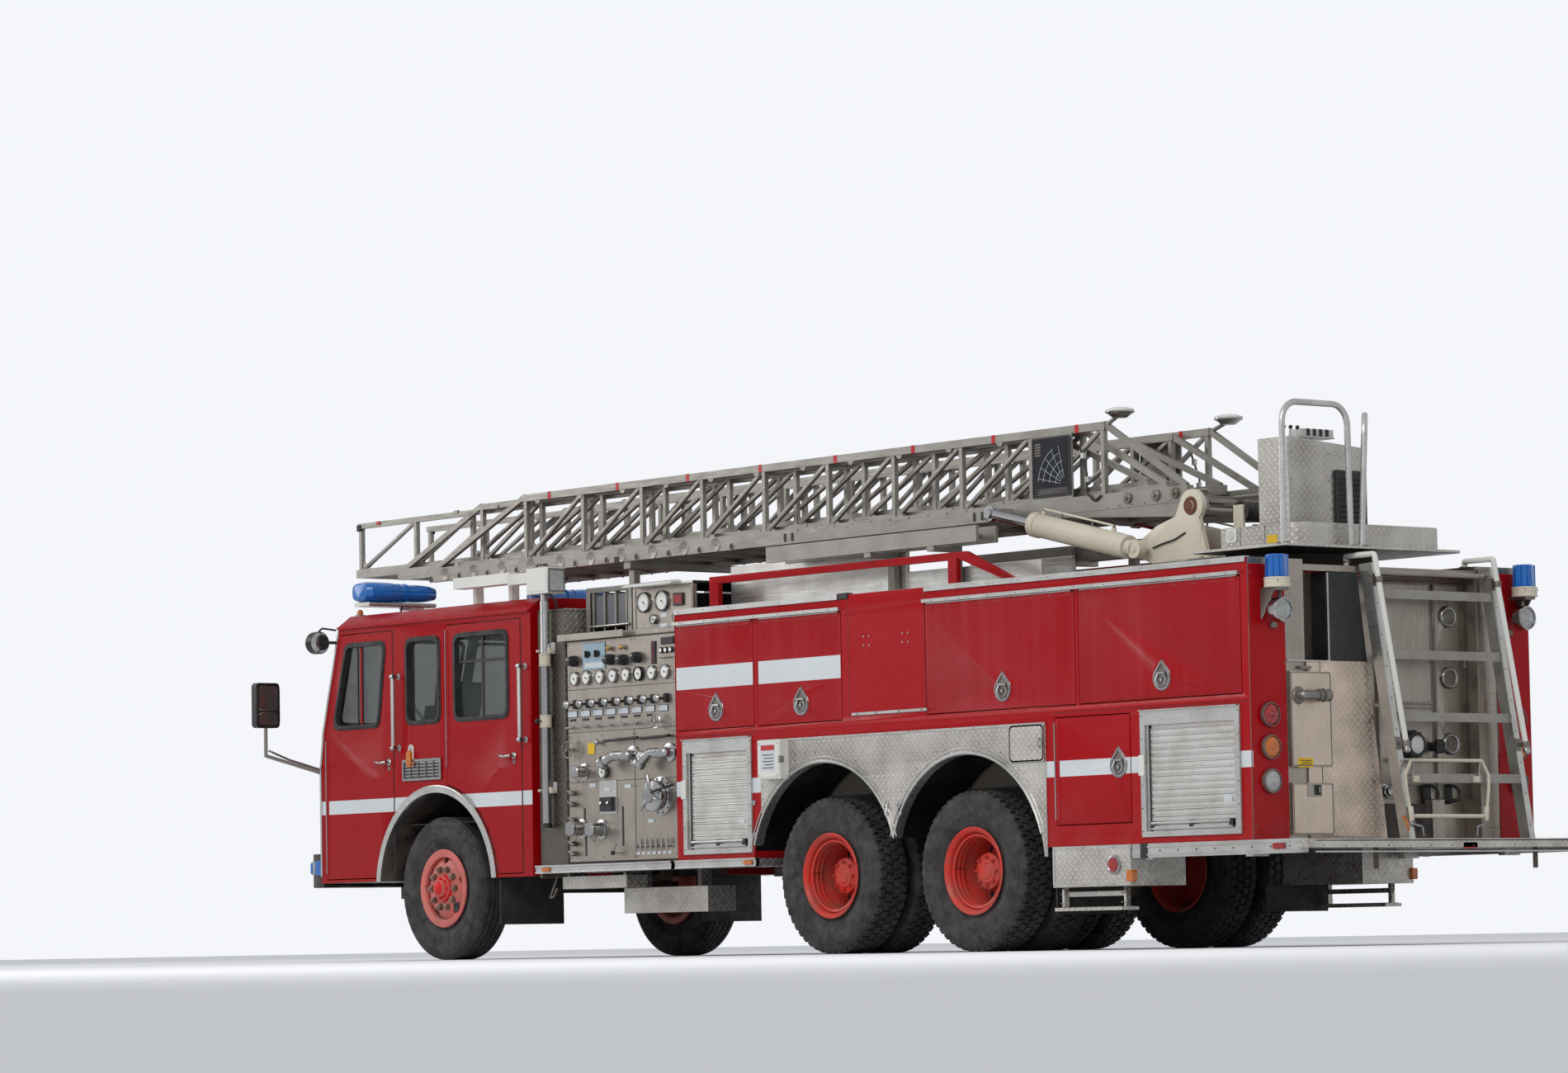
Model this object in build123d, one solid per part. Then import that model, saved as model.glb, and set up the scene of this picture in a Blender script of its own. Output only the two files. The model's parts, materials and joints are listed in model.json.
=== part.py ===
from build123d import *
import math
import os

# Fire engine with a rear-mounted aerial ladder: three axles, a four-door cab over the front
# axle, a pump house, side lockers and a turntable on the rear deck.
# Millimetres. +X is forward, +Y is the vehicle's left, +Z is up.
# Stations along X are measured from a point between the cab and the tandem axle. The last step
# moves the whole vehicle so that the middle of its length stands over the origin.

# Overall
HALF_WIDTH = 1250.0
SHEET = 40.0
HINGE_R = 4.7
DOOR_THICK = 40.0
DOOR_GAP = 7.0
FIT = 0.3
RUN_GAP = 6.0

# Wheels and axles
WHEEL_R = 525.0
TYRE_W = 282.0
RIM_R = 288.0
RIM_SEAT_R = 262.0
HUB_BORE_R = 60.0
FRONT_AXLE_X = 4340.0
REAR_AXLE_X = (-140.0, -1600.0)
FRONT_TYRE_OUT = HALF_WIDTH - 38.0
REAR_TYRE_OUT = HALF_WIDTH - 28.0
TWIN_GAP = 62.0
KINGPIN_Y = FRONT_TYRE_OUT - 362.0
KINGPIN_R = 24.0
ARCH_R = 705.0
ARCH_TRIM = 42.0
REAR_ARCH_R = 765.0

# Frame
RAIL_Y = HALF_WIDTH - 820.0
RAIL_W = 80.0
RAIL_Z0 = WHEEL_R + 125.0
RAIL_Z1 = RAIL_Z0 + 250.0
RAIL_FRONT_X = 5700.0
RAIL_REAR_X = -4220.0

# Cab
CAB_REAR_X = 3150.0
CAB_LOW_X = 5840.0
CAB_BELT_X = 5800.0
CAB_ROOF_X = 5580.0
CAB_Z0 = 590.0
CAB_BELT_Z = 1735.0
CAB_EAVE_Z = 2520.0
CAB_ROOF_Z = 2600.0
ROOF_INSET = 110.0
CAB_FLOOR_Z = 1000.0
CAB_WALL = 50.0
FRONT_DOOR_X = (4880.0, 5540.0)
REAR_DOOR_X = (3275.0, 4190.0)
CAB_DOOR_Z = (620.0, 2450.0)
WINDOW_Z = (1750.0, 2375.0)
MID_WINDOW_X = (4275.0, 4700.0)
GLASS = 8.0
BUMPER_X = 6090.0
BUMPER_Z = (560.0, 815.0)

# Pump house and pillar
PUMP_X = (1475.0, 2740.0)
PILLAR_X = (2790.0, 3110.0)
PUMP_Z0 = 660.0
PUMP_TOP_Z = 2300.0
HOSE_TRAY_Z = 2640.0
TRAY_Y = HALF_WIDTH - 200.0
TRAY_X = 2190.0
PILLAR_TOP_Z = 2500.0
PANEL_THICK = 12.0

# Body
BODY_X = (-4270.0, 1460.0)
BODY_Z = (660.0, 2400.0)
LOCKER_DEPTH = 480.0
UPPER_DOOR_Z = (1565.0, 2285.0)
UPPER_DOORS = (
    # name, rear station, front station
    ("a", 590.0, 1450.0),
    ("b", -350.0, 540.0),
    ("c", -2680.0, -1225.0),
    ("d", -4200.0, -2720.0),
)
LOWER_DOOR_X = (-3180.0, -2480.0)
LOWER_DOOR_Z = (800.0, 1480.0)
SHUTTERS = (
    # rear station, front station, sill height, head height
    (660.0, 1330.0, 735.0, 1400.0),
    (-4140.0, -3330.0, 735.0, 1400.0),
)
FENDER_X = (-2390.0, 520.0)
FENDER_TOP_Z = 1460.0
FENDER_THICK = 6.0
COLUMN_Y = 940.0
REAR_WALL_X = -4090.0
DECK_Z = 2330.0
DECK_FRONT_X = -2250.0
BED_FLOOR_Z = 1900.0
TANK_Z0 = 1080.0
TAILBOARD_X = -4750.0
TAILBOARD_Z = (600.0, 655.0)

# Turntable and ladder
TABLE_X = -3250.0
TABLE_R = 640.0
RING_R = 520.0
TABLE_Z = (2390.0, 2480.0)
HEEL_X = -3050.0
HEEL_Z = 2830.0
HEEL_PIN_R = 32.0
BASE_HALF = 500.0
BRACKET_Y = (BASE_HALF + 16.0, BASE_HALF + 56.0)
CYL_BASE_X = -2640.0
CYL_BASE_Z = 2575.0
CYL_EYE_X = -1230.0
CYL_EYE_Z = 2905.0
CYL_Y = BASE_HALF + 155.0
CYL_R = 78.0
CYL_COLLAR = 6.0
ROD_R = 34.0
ROD_EYE_R = 52.0
ROD_EYE_HALF = 26.0
CYL_PIN_R = 22.0
LADDER_BASE_X = (-2960.0, 5440.0)
LADDER_TIP_X = 6620.0
LADDER_Z = (2870.0, 3450.0)
CHORD_W = 60.0
BASE_CHORD_H = 105.0
NEST_GAP = 10.0
STEP_UP = 52.0
RUNG = 26.0
RUNG_PITCH = 355.0
MID_TIP_X = 5960.0
CRADLE_X = 2890.0
TRUSS_BAY = 720.0


def block(x0, x1, y0, y1, z0, z1):
    """A rectangular block between its lowest and highest corners."""
    size = Box(abs(x1 - x0), abs(y1 - y0), abs(z1 - z0))
    return Pos((x0 + x1) / 2, (y0 + y1) / 2, (z0 + z1) / 2) * size


def mirrored(shape):
    """The same shape on the vehicle's other side."""
    return shape.mirror(Plane.XZ)


def both(shapes):
    """The shapes and their mirror images."""
    return list(shapes) + [mirrored(s) for s in shapes]


def rod_y(x, z, radius, y0, y1):
    """A round bar across the vehicle."""
    return Pos(x, (y0 + y1) / 2, z) * Rot(90, 0, 0) * Cylinder(radius, abs(y1 - y0))


def rod_z(x, y, radius, z0, z1):
    """A round upright bar."""
    return Pos(x, y, (z0 + z1) / 2) * Cylinder(radius, z1 - z0)


def rod_x(y, z, radius, x0, x1):
    """A round bar along the vehicle."""
    return Pos((x0 + x1) / 2, y, z) * Rot(0, 90, 0) * Cylinder(radius, abs(x1 - x0))


def plate(points, y0, y1):
    """A flat plate whose outline lies in the side view, from y0 to y1."""
    outline = make_face(Polyline(*[(x, z) for x, z in points], close=True))
    return Pos(0, y1, 0) * (Plane.XZ * extrude(outline, y1 - y0))


def bar(p, q, wide, high):
    """A square bar from p to q, wide across the vehicle and high in the side view."""
    a, b = Vector(*p), Vector(*q)
    run = b - a
    across = Vector(0, 1, 0) if abs(run.normalized().Y) < 0.9 else Vector(0, 0, 1)
    place = Plane(origin=a, x_dir=across, z_dir=run.normalized())
    section = place * Rectangle(wide, high)
    return extrude(section, run.length, dir=tuple(run.normalized()))


def tube(p, q, radius):
    """A round bar from p to q."""
    a, b = Vector(*p), Vector(*q)
    run = b - a
    return Plane(origin=(a + b) / 2, z_dir=run.normalized()) * Cylinder(radius, run.length)


def bent_tube(points, radius, bend):
    """A round tube along straight runs joined by bends of one radius."""
    path = FilletPolyline(*points, radius=bend)
    start = Plane(origin=path @ 0, z_dir=path % 0)
    return sweep(start * Circle(radius), path=path)


def joined(shapes):
    """One body made of shapes that meet."""
    first, *rest = shapes
    return first.fuse(*rest) if rest else first


MIDDLE_X = (LADDER_TIP_X + TAILBOARD_X) / 2
NODES = {}


def add(name, shapes):
    """Keeps a named sub-part, moved so that the vehicle stands over the origin."""
    NODES[name] = Compound([s for shape in shapes for s in shape.solids()]).moved(Location((-MIDDLE_X, 0, 0)))


# Wheels: each is a tyre and the rim that it sits on, turned about its own axle.
def tyre(inner, outer):
    """A tyre between two faces across the vehicle, with rounded shoulders."""
    wide = outer - inner
    mid = (inner + outer) / 2
    half = wide / 2
    outline = Polyline(
        (RIM_SEAT_R + FIT, -half * 0.66), (RIM_R + 14, -half * 0.69), (WHEEL_R * 0.78, -half),
        (WHEEL_R - 38, -half * 0.96), (WHEEL_R, -half * 0.78), (WHEEL_R, half * 0.78),
        (WHEEL_R - 38, half * 0.96), (WHEEL_R * 0.78, half), (RIM_R + 14, half * 0.69),
        (RIM_SEAT_R + FIT, half * 0.66), close=True)
    section = make_face(Plane.XY * outline)
    turned = revolve(section, Axis.Y, 360)
    return Pos(0, mid, 0) * turned


def rim_ring(inner, outer):
    """The rolled rim under one tyre: a barrel with a flange at each edge."""
    wide = outer - inner
    mid = (inner + outer) / 2
    half = wide / 2
    outline = Polyline(
        (RIM_SEAT_R - 26, -half * 0.72), (RIM_SEAT_R, -half * 0.72), (RIM_SEAT_R, half * 0.72),
        (RIM_SEAT_R - 26, half * 0.72), (RIM_SEAT_R - 12, half * 0.3), (RIM_SEAT_R - 12, -half * 0.3),
        close=True)
    barrel = revolve(make_face(Plane.XY * outline), Axis.Y, 360)
    flanges = []
    for side in (-1, 1):
        edge = side * half * 0.86
        ring = Polyline((RIM_SEAT_R - 30, side * half * 0.70), (RIM_SEAT_R - 4, side * half * 0.70),
                        (RIM_R, edge), (RIM_R - 8, edge + side * 6), (RIM_SEAT_R - 30, edge - side * 4),
                        close=True)
        flanges.append(revolve(make_face(Plane.XY * ring), Axis.Y, 360))
    return Pos(0, mid, 0) * joined([barrel] + flanges)


def wheel_disc(face_y, dish):
    """The wheel's centre: a dished disc with hand holes, from the rim in to the hub."""
    profile = Polyline(
        (HUB_BORE_R, dish), (170, dish), (RIM_SEAT_R - 14, 0), (RIM_SEAT_R - 14, -16),
        (165, dish - 16), (HUB_BORE_R, dish - 16), close=True)
    disc = revolve(make_face(Plane.XY * profile), Axis.Y, 360)
    holes = [Pos(212 * math.cos(a), 0, 212 * math.sin(a)) * Rot(90, 0, 0) * Cylinder(30, 400)
             for a in (math.radians(18 + 36 * i) for i in range(0, 10, 2))]
    return Pos(0, face_y, 0) * (disc - holes)


def wheel(name, axle_x, left, twin):
    """One wheel set: tyres in one node, rims with hub in another."""
    out = REAR_TYRE_OUT if twin else FRONT_TYRE_OUT
    spans = [(out - TYRE_W, out)]
    if twin:
        spans.append((out - 2 * TYRE_W - TWIN_GAP, out - TYRE_W - TWIN_GAP))
    tyres = [tyre(a, b) for a, b in spans]
    rings = [rim_ring(a, b) for a, b in spans]
    if twin:
        disc_y = out - TYRE_W - TWIN_GAP / 2
        inner = spans[1][0]
        band = rod_y(0, 0, RIM_SEAT_R - 12, spans[1][1] - 60, spans[0][0] + 60)
        disc = band - rod_y(0, 0, RIM_SEAT_R - 26, inner, out)
        barrel = rod_y(0, 0, 118, disc_y - 60, out - 60)
        cap = rod_y(0, 0, 74, out - 60, out - 25)
        nut_y = disc_y + 6
        holes = [Pos(198 * math.cos(a), 0, 198 * math.sin(a)) * rod_y(0, 0, 27, inner, out)
                 for a in (math.radians(45 + 90 * i) for i in range(4))]
        web = [rod_y(0, 0, RIM_SEAT_R - 20, disc_y - 12, disc_y + 12) - holes,
               rod_y(0, 0, 100, inner + 30, disc_y)]
    else:
        disc_y = out - 60
        disc = wheel_disc(disc_y - 10, 42)
        barrel = rod_y(0, 0, 92, out - TYRE_W + 40, out + 2)
        cap = rod_y(0, 0, 62, out, out + 28)
        nut_y = disc_y + 20
        web = []
    nuts = [Pos(143 * math.cos(math.radians(36 * i)), 0, 143 * math.sin(math.radians(36 * i)))
            * rod_y(0, 0, 15, nut_y - 12, nut_y + 26) for i in range(10)]
    rim = joined(rings + [disc, barrel, cap] + web + nuts)
    for label, shapes in (("tyre", tyres), ("rim", [rim])):
        placed = [Pos(axle_x, 0, WHEEL_R) * s for s in shapes]
        add(f"{name}_{label}", placed if left else [mirrored(s) for s in placed])


wheel("front_wheel_left", FRONT_AXLE_X, True, False)
wheel("front_wheel_right", FRONT_AXLE_X, False, False)
for order, axle_x in enumerate(REAR_AXLE_X):
    for side in ("left", "right"):
        wheel(f"rear_wheel_{order + 1}_{side}", axle_x, side == "left", True)

# Steering knuckles: a fork round the kingpin, a spindle into the hub and a steering arm.
SPINDLE_R = 40.0
KNUCKLE_TOP = 95.0
FORK_BACK = 42.0
BEAM_H = 42.0
front_hub_in = FRONT_TYRE_OUT - TYRE_W + 40
knuckle = joined([
    block(FRONT_AXLE_X - 45, FRONT_AXLE_X + 45, KINGPIN_Y - 40, KINGPIN_Y + FORK_BACK + 14,
          WHEEL_R - KNUCKLE_TOP, WHEEL_R + KNUCKLE_TOP),
    rod_y(FRONT_AXLE_X, WHEEL_R, SPINDLE_R, KINGPIN_Y + FORK_BACK, front_hub_in - FIT),
    bar((FRONT_AXLE_X, KINGPIN_Y, WHEEL_R - 70), (FRONT_AXLE_X - 230, KINGPIN_Y - 60, WHEEL_R - 70), 30, 36),
])
knuckle -= rod_z(FRONT_AXLE_X, KINGPIN_Y, KINGPIN_R + FIT, WHEEL_R - 200, WHEEL_R + 200)
knuckle -= block(FRONT_AXLE_X - 60, FRONT_AXLE_X + 60, KINGPIN_Y - 60, KINGPIN_Y + FORK_BACK,
                 WHEEL_R - BEAM_H - RUN_GAP, WHEEL_R + BEAM_H + RUN_GAP)
add("knuckle_left", [knuckle])
add("knuckle_right", [mirrored(knuckle)])

# Axles: a dropped front beam with kingpins on leaf springs, and two driven rear axles.
SPRING_Y = RAIL_Y
axle_parts = []
beam = joined([
    block(FRONT_AXLE_X - 40, FRONT_AXLE_X + 40, -(KINGPIN_Y - 8), KINGPIN_Y - 8, WHEEL_R - BEAM_H,
          WHEEL_R + BEAM_H)]
    + [rod_z(FRONT_AXLE_X, s * KINGPIN_Y, FORK_BACK - RUN_GAP, WHEEL_R - BEAM_H,
             WHEEL_R + BEAM_H) for s in (-1, 1)]
    + [rod_z(FRONT_AXLE_X, s * KINGPIN_Y, KINGPIN_R, WHEEL_R - KNUCKLE_TOP,
             WHEEL_R + KNUCKLE_TOP) for s in (-1, 1)])
springs = [joined([block(FRONT_AXLE_X - 620, FRONT_AXLE_X + 620, s * SPRING_Y - 38, s * SPRING_Y + 38,
                         WHEEL_R + BEAM_H + FIT, WHEEL_R + 90)]
                  + [block(FRONT_AXLE_X + dx - 30, FRONT_AXLE_X + dx + 30, s * SPRING_Y - 38,
                           s * SPRING_Y + 38,
                           WHEEL_R + 90, RAIL_Z0) for dx in (-590, 590)]) for s in (-1, 1)]
axle_parts += [beam] + springs
hub_in_rear = REAR_TYRE_OUT - 2 * TYRE_W - TWIN_GAP + 30
for axle_x in REAR_AXLE_X:
    axle_parts.append(joined([rod_y(axle_x, WHEEL_R, 72, -(hub_in_rear - FIT), hub_in_rear - FIT),
                              rod_x(0, WHEEL_R, 205, axle_x - 125, axle_x + 125)]))
    axle_parts += [block(axle_x - 90, axle_x + 90, s * SPRING_Y - 45, s * SPRING_Y + 45, WHEEL_R + 72 + FIT,
                         RAIL_Z0)
                   for s in (-1, 1)]
add("axles", axle_parts)

# Frame: two channel rails with crossmembers, drive shafts and the front frame extension.
rails = []
for side in (-1, 1):
    web = block(RAIL_REAR_X, RAIL_FRONT_X, side * (RAIL_Y + RAIL_W / 2 - 12), side * (RAIL_Y + RAIL_W / 2),
                RAIL_Z0, RAIL_Z1)
    caps = [block(RAIL_REAR_X, RAIL_FRONT_X, side * (RAIL_Y - RAIL_W / 2), side * (RAIL_Y + RAIL_W / 2), z,
                  z + 14)
            for z in (RAIL_Z0, RAIL_Z1 - 14)]
    rails.append(joined([web] + caps))
CROSS_X = (-4180.0, -2500.0, -870.0, 900.0, 2400.0, 3600.0, 5620.0)
CROSS_Y = RAIL_Y + RAIL_W / 2 - 12 - FIT
members = [block(x - 35, x + 35, -CROSS_Y, CROSS_Y, RAIL_Z0 + 14 + FIT, RAIL_Z1 - 14 - FIT) for x in CROSS_X]
cab_mounts = [block(x - 40, x + 40, s * RAIL_Y - RAIL_W / 2, s * RAIL_Y + RAIL_W / 2, RAIL_Z1,
                    CAB_FLOOR_Z - 30)
              for s in (-1, 1) for x in (3300.0, 5500.0)]
add("chassis_frame", rails + members + cab_mounts)

# Engine: one plain block under the cab floor, between the rails.
ENGINE_X = (4050.0, 5250.0)
ENGINE_HALF = RAIL_Y - 60.0
ENGINE_Z0 = 600.0
engine_feet = [block(x - 60, x + 60, s * ENGINE_HALF, s * (RAIL_Y - RAIL_W / 2), RAIL_Z0, RAIL_Z0 + 14)
               for s in (-1, 1) for x in (ENGINE_X[0] + 150, ENGINE_X[1] - 150)]
engine = block(*ENGINE_X, -ENGINE_HALF, ENGINE_HALF, ENGINE_Z0, CAB_FLOOR_Z - 40)
add("engine_block", [joined([engine] + engine_feet)])


# Cab: one shell with its doors and windows cut, wheel arches open at the side.
def cab_outline(inset):
    """The cab's side view, drawn in by a wall's thickness."""
    return [
        (CAB_REAR_X + inset, CAB_Z0 + (0 if inset == 0 else CAB_FLOOR_Z - CAB_Z0)),
        (CAB_LOW_X - inset, CAB_Z0 + (0 if inset == 0 else CAB_FLOOR_Z - CAB_Z0)),
        (CAB_LOW_X - inset, 1450.0), (CAB_BELT_X - inset, CAB_BELT_Z),
        (CAB_ROOF_X - inset, CAB_EAVE_Z - inset * 0.4), (CAB_ROOF_X - inset, CAB_ROOF_Z - inset),
        (CAB_REAR_X + inset, CAB_ROOF_Z - inset),
    ]


LINER_Y = HALF_WIDTH - 690.0
HOUSING_THICK = 25.0
cab = plate(cab_outline(0), -HALF_WIDTH, HALF_WIDTH)
cab = chamfer(cab.edges().filter_by(Axis.X).group_by(Axis.Z)[-1], ROOF_INSET, CAB_ROOF_Z - CAB_EAVE_Z)
cavity = plate(cab_outline(CAB_WALL), -(HALF_WIDTH - CAB_WALL - 30), HALF_WIDTH - CAB_WALL - 30)
cavity -= [rod_y(FRONT_AXLE_X, WHEEL_R, ARCH_R + HOUSING_THICK, s * (LINER_Y - HOUSING_THICK), s * HALF_WIDTH)
           for s in (-1, 1)]
cab -= cavity
cab -= block(CAB_LOW_X - CAB_WALL - 10, CAB_LOW_X + 10, -RAIL_Y - 60, RAIL_Y + 60, CAB_Z0 - 10, BUMPER_Z[1])
cab -= block(CAB_REAR_X - 10, CAB_LOW_X - CAB_WALL, -LINER_Y + 30, LINER_Y - 30, CAB_Z0 - 10,
             CAB_FLOOR_Z - 30)
cab -= [rod_y(FRONT_AXLE_X, WHEEL_R, ARCH_R, s * LINER_Y, s * (HALF_WIDTH + 60)) for s in (-1, 1)]
cab -= [block(FRONT_AXLE_X - ARCH_R, FRONT_AXLE_X + ARCH_R, s * LINER_Y, s * (HALF_WIDTH + 60),
              CAB_Z0 - 60, WHEEL_R) for s in (-1, 1)]


def arch_points(radius, start, stop, steps):
    """Points on a circle about the front wheel, angles in degrees from straight ahead."""
    out = []
    for i in range(steps + 1):
        a = math.radians(start + (stop - start) * i / steps)
        out.append((FRONT_AXLE_X + radius * math.cos(a), WHEEL_R + radius * math.sin(a)))
    return out


DOOR_ARCH_R = ARCH_R + 70.0


def front_door_outline(grow):
    """The front door's outline: straight sides, and a hollow lower rear edge over the wheel."""
    x0, x1 = FRONT_DOOR_X
    z0, z1 = CAB_DOOR_Z
    r = DOOR_ARCH_R - grow
    low = math.degrees(math.asin((z0 - grow - WHEEL_R) / r))
    high = math.degrees(math.acos((x0 - grow - FRONT_AXLE_X) / r))
    return ([(x0 - grow, z1 + grow), (x1 + grow, z1 + grow), (CAB_BELT_X - 45 + grow, CAB_BELT_Z),
             (CAB_BELT_X - 45 + grow, z0 - grow)] + arch_points(r, low, high, 6))


def rear_door_outline(grow):
    """The rear door's outline, hollow at the lower front edge over the wheel."""
    x0, x1 = REAR_DOOR_X
    z0, z1 = CAB_DOOR_Z
    r = DOOR_ARCH_R - grow
    high = math.degrees(math.acos((x1 + grow - FRONT_AXLE_X) / r))
    low = 180 - math.degrees(math.asin((z0 - grow - WHEEL_R) / r))
    return ([(x0 - grow, z0 - grow), (x0 - grow, z1 + grow), (x1 + grow, z1 + grow)]
            + arch_points(r, high, low, 6))


def side_window(x0, x1, z0, z1, radius, y0, y1):
    """A rounded window cut in a side wall."""
    pane = fillet((Rectangle(x1 - x0, z1 - z0)).vertices(), radius)
    return Pos((x0 + x1) / 2, y1, (z0 + z1) / 2) * (Plane.XZ * extrude(pane, y1 - y0))


FRONT_WINDOW = [(5480.0, 2375.0), (4965.0, 2375.0), (5060.0, WINDOW_Z[0]), (5660.0, WINDOW_Z[0])]
REAR_WINDOW_X = (3425.0, 4090.0)
SIDE_OUT = HALF_WIDTH + 1
SIDE_IN = HALF_WIDTH - CAB_WALL - 35
for outline in (front_door_outline(DOOR_GAP), rear_door_outline(DOOR_GAP)):
    cutter = plate(outline, SIDE_IN, SIDE_OUT)
    cab -= [cutter, mirrored(cutter)]
mid_cut = side_window(*MID_WINDOW_X, *WINDOW_Z, 60, SIDE_IN, SIDE_OUT)
cab -= [mid_cut, mirrored(mid_cut)]
SCREEN_Y = HALF_WIDTH - 120.0
SCREEN_Z = (CAB_BELT_Z + 35, CAB_EAVE_Z - 70)


def screen_x(z):
    """The slanted front face's station at a height."""
    share = (z - CAB_BELT_Z) / (CAB_EAVE_Z - CAB_BELT_Z)
    return CAB_BELT_X + (CAB_ROOF_X - CAB_BELT_X) * share


def screen_slab(depth_in, depth_out, side_in, side_out):
    """A slab that follows the slanted front face, one side of the centre post."""
    z0, z1 = SCREEN_Z
    pts = [(screen_x(z0) - depth_in, z0), (screen_x(z0) + depth_out, z0),
           (screen_x(z1) + depth_out, z1), (screen_x(z1) - depth_in, z1)]
    return plate(pts, side_in, side_out)


cab -= [screen_slab(120, 60, 30, SCREEN_Y), screen_slab(120, 60, -SCREEN_Y, -30)]
add("cab_shell", [cab])

# Cab glass: windscreen halves and the fixed side windows.
screens = [screen_slab(30, -22, 30 + FIT, SCREEN_Y - FIT), screen_slab(30, -22, -SCREEN_Y + FIT, -30 - FIT)]
mid_pane = side_window(MID_WINDOW_X[0] + FIT, MID_WINDOW_X[1] - FIT, WINDOW_Z[0] + FIT, WINDOW_Z[1] - FIT,
                       60 - FIT, HALF_WIDTH - 30, HALF_WIDTH - 30 + GLASS)
add("cab_glass", screens + both([mid_pane]))

# Cab doors: each a whole panel as thick as the wall, with its window cut and its pane.
HINGE_Y = HALF_WIDTH + HINGE_R + FIT
FRONT_HINGE_X = CAB_BELT_X - 40.0
REAR_HINGE_X = REAR_DOOR_X[1] + 5.0
door_in = HALF_WIDTH - CAB_WALL
lever = joined([block(5010, 5180, HALF_WIDTH, HALF_WIDTH + 26, 1335, 1365)])
front_door = plate(front_door_outline(0), door_in, HALF_WIDTH)
front_door -= plate(FRONT_WINDOW, door_in - 1, SIDE_OUT)
front_pane = plate([(x + (2 if x < 5200 else -2), z + (FIT if z < 2000 else -FIT)) for x, z in FRONT_WINDOW],
                   HALF_WIDTH - 32, HALF_WIDTH - 32 + GLASS)
front_bar = block(5290, 5310, HALF_WIDTH - 31.7 + GLASS, HALF_WIDTH - 8, WINDOW_Z[0], 2375)
front_door = front_door.fuse(lever, front_bar)
rear_door = plate(rear_door_outline(0), door_in, HALF_WIDTH)
rear_door -= side_window(*REAR_WINDOW_X, *WINDOW_Z, 60, door_in - 1, SIDE_OUT)
rear_pane = side_window(REAR_WINDOW_X[0] + FIT, REAR_WINDOW_X[1] - FIT, WINDOW_Z[0] + FIT, WINDOW_Z[1] - FIT,
                        60 - FIT, HALF_WIDTH - 32, HALF_WIDTH - 32 + GLASS)
rear_lever = block(3400, 3570, HALF_WIDTH, HALF_WIDTH + 26, 1355, 1385)
rear_door = rear_door.fuse(rear_lever)


def upright_hinge(x, z0, z1):
    """A hinge along a door's front edge: its barrel and the leaf on the door."""
    return joined([rod_z(x, HINGE_Y, HINGE_R, z0, z1),
                   block(x - 40, x - 2, HALF_WIDTH, HALF_WIDTH + 3, z0, z1)])


front_door = front_door.fuse(upright_hinge(FRONT_HINGE_X, CAB_DOOR_Z[0] + 20, CAB_BELT_Z - 60))
rear_door = rear_door.fuse(upright_hinge(REAR_HINGE_X, 1400, CAB_DOOR_Z[1] - 20))
for label, door, pane in (("front", front_door, front_pane), ("rear", rear_door, rear_pane)):
    add(f"cab_door_{label}_left", [door, pane])
    add(f"cab_door_{label}_right", [mirrored(door), mirrored(pane)])

# Cab interior: floor tunnel over the engine, dashboard, wheel and seats.
SEAT_Y = HALF_WIDTH - 490.0
DASH_Y = HALF_WIDTH - 100.0
tunnel = block(3900, 5300, -400, 400, CAB_FLOOR_Z, CAB_FLOOR_Z + 300)
dash = plate([(5740, CAB_FLOOR_Z), (5740, 1690), (5560, 1700), (5380, 1560), (5420, 1340), (5600, 1300),
              (5600, CAB_FLOOR_Z)], -DASH_Y, DASH_Y)
column = tube((5480, SEAT_Y, 1530), (5384, SEAT_Y, 1702), 22)
steer_ring = Pos(5380, SEAT_Y, 1710) * Rot(0, -30, 0) * (Torus(215, 16) + Cylinder(40, 24)
                                                         + Box(420, 26, 14) + Box(26, 420, 14))
seats = []
for x, y in ((5000, SEAT_Y), (5000, -SEAT_Y), (3560, SEAT_Y - 60), (3560, 60 - SEAT_Y), (3560, 0)):
    seat = joined([block(x - 230, x + 250, y - 240, y + 240, 1330, 1450),
                   plate([(x - 240, 1330), (x - 150, 1330), (x - 250, 2080), (x - 325, 2080)], y - 230,
                         y + 230),
                   block(x - 80, x + 170, y - 170, y + 170, CAB_FLOOR_Z, 1330)])
    seats.append(seat)
add("cab_interior", [tunnel, joined([dash, column, steer_ring])] + seats)

# Front bumper with tow eyes; their bores are where a shackle goes.
TOW_EYE_Y = 420.0
TOW_EYE_R = 19.0
TOW_EYE_THICK = 30.0
TOW_EYE_Z = 520.0
BUMPER_Y = HALF_WIDTH - 35.0
bumper = block(CAB_LOW_X + 20, BUMPER_X, -BUMPER_Y, BUMPER_Y, *BUMPER_Z)
bumper = chamfer(bumper.edges().filter_by(Axis.Z).group_by(Axis.X)[-1], 90)
bumper -= block(CAB_LOW_X + 10, BUMPER_X - 20, 115 - BUMPER_Y, BUMPER_Y - 115, BUMPER_Z[0] + 20,
                BUMPER_Z[1] - 20)
horns = [block(RAIL_FRONT_X, BUMPER_X - 20, s * RAIL_Y - 40, s * RAIL_Y + 40, RAIL_Z0 + 20, RAIL_Z0 + 140)
         for s in (-1, 1)]
eyes = [block(5860, 5960, s * TOW_EYE_Y - TOW_EYE_THICK / 2, s * TOW_EYE_Y + TOW_EYE_THICK / 2,
              TOW_EYE_Z - 50, BUMPER_Z[0] + 15) for s in (-1, 1)]
bumper = bumper.fuse(*horns, *eyes)
bumper -= [rod_y(5910, TOW_EYE_Z, TOW_EYE_R, s * (TOW_EYE_Y - 40), s * (TOW_EYE_Y + 40)) for s in (-1, 1)]
add("front_bumper", [bumper])

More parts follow.
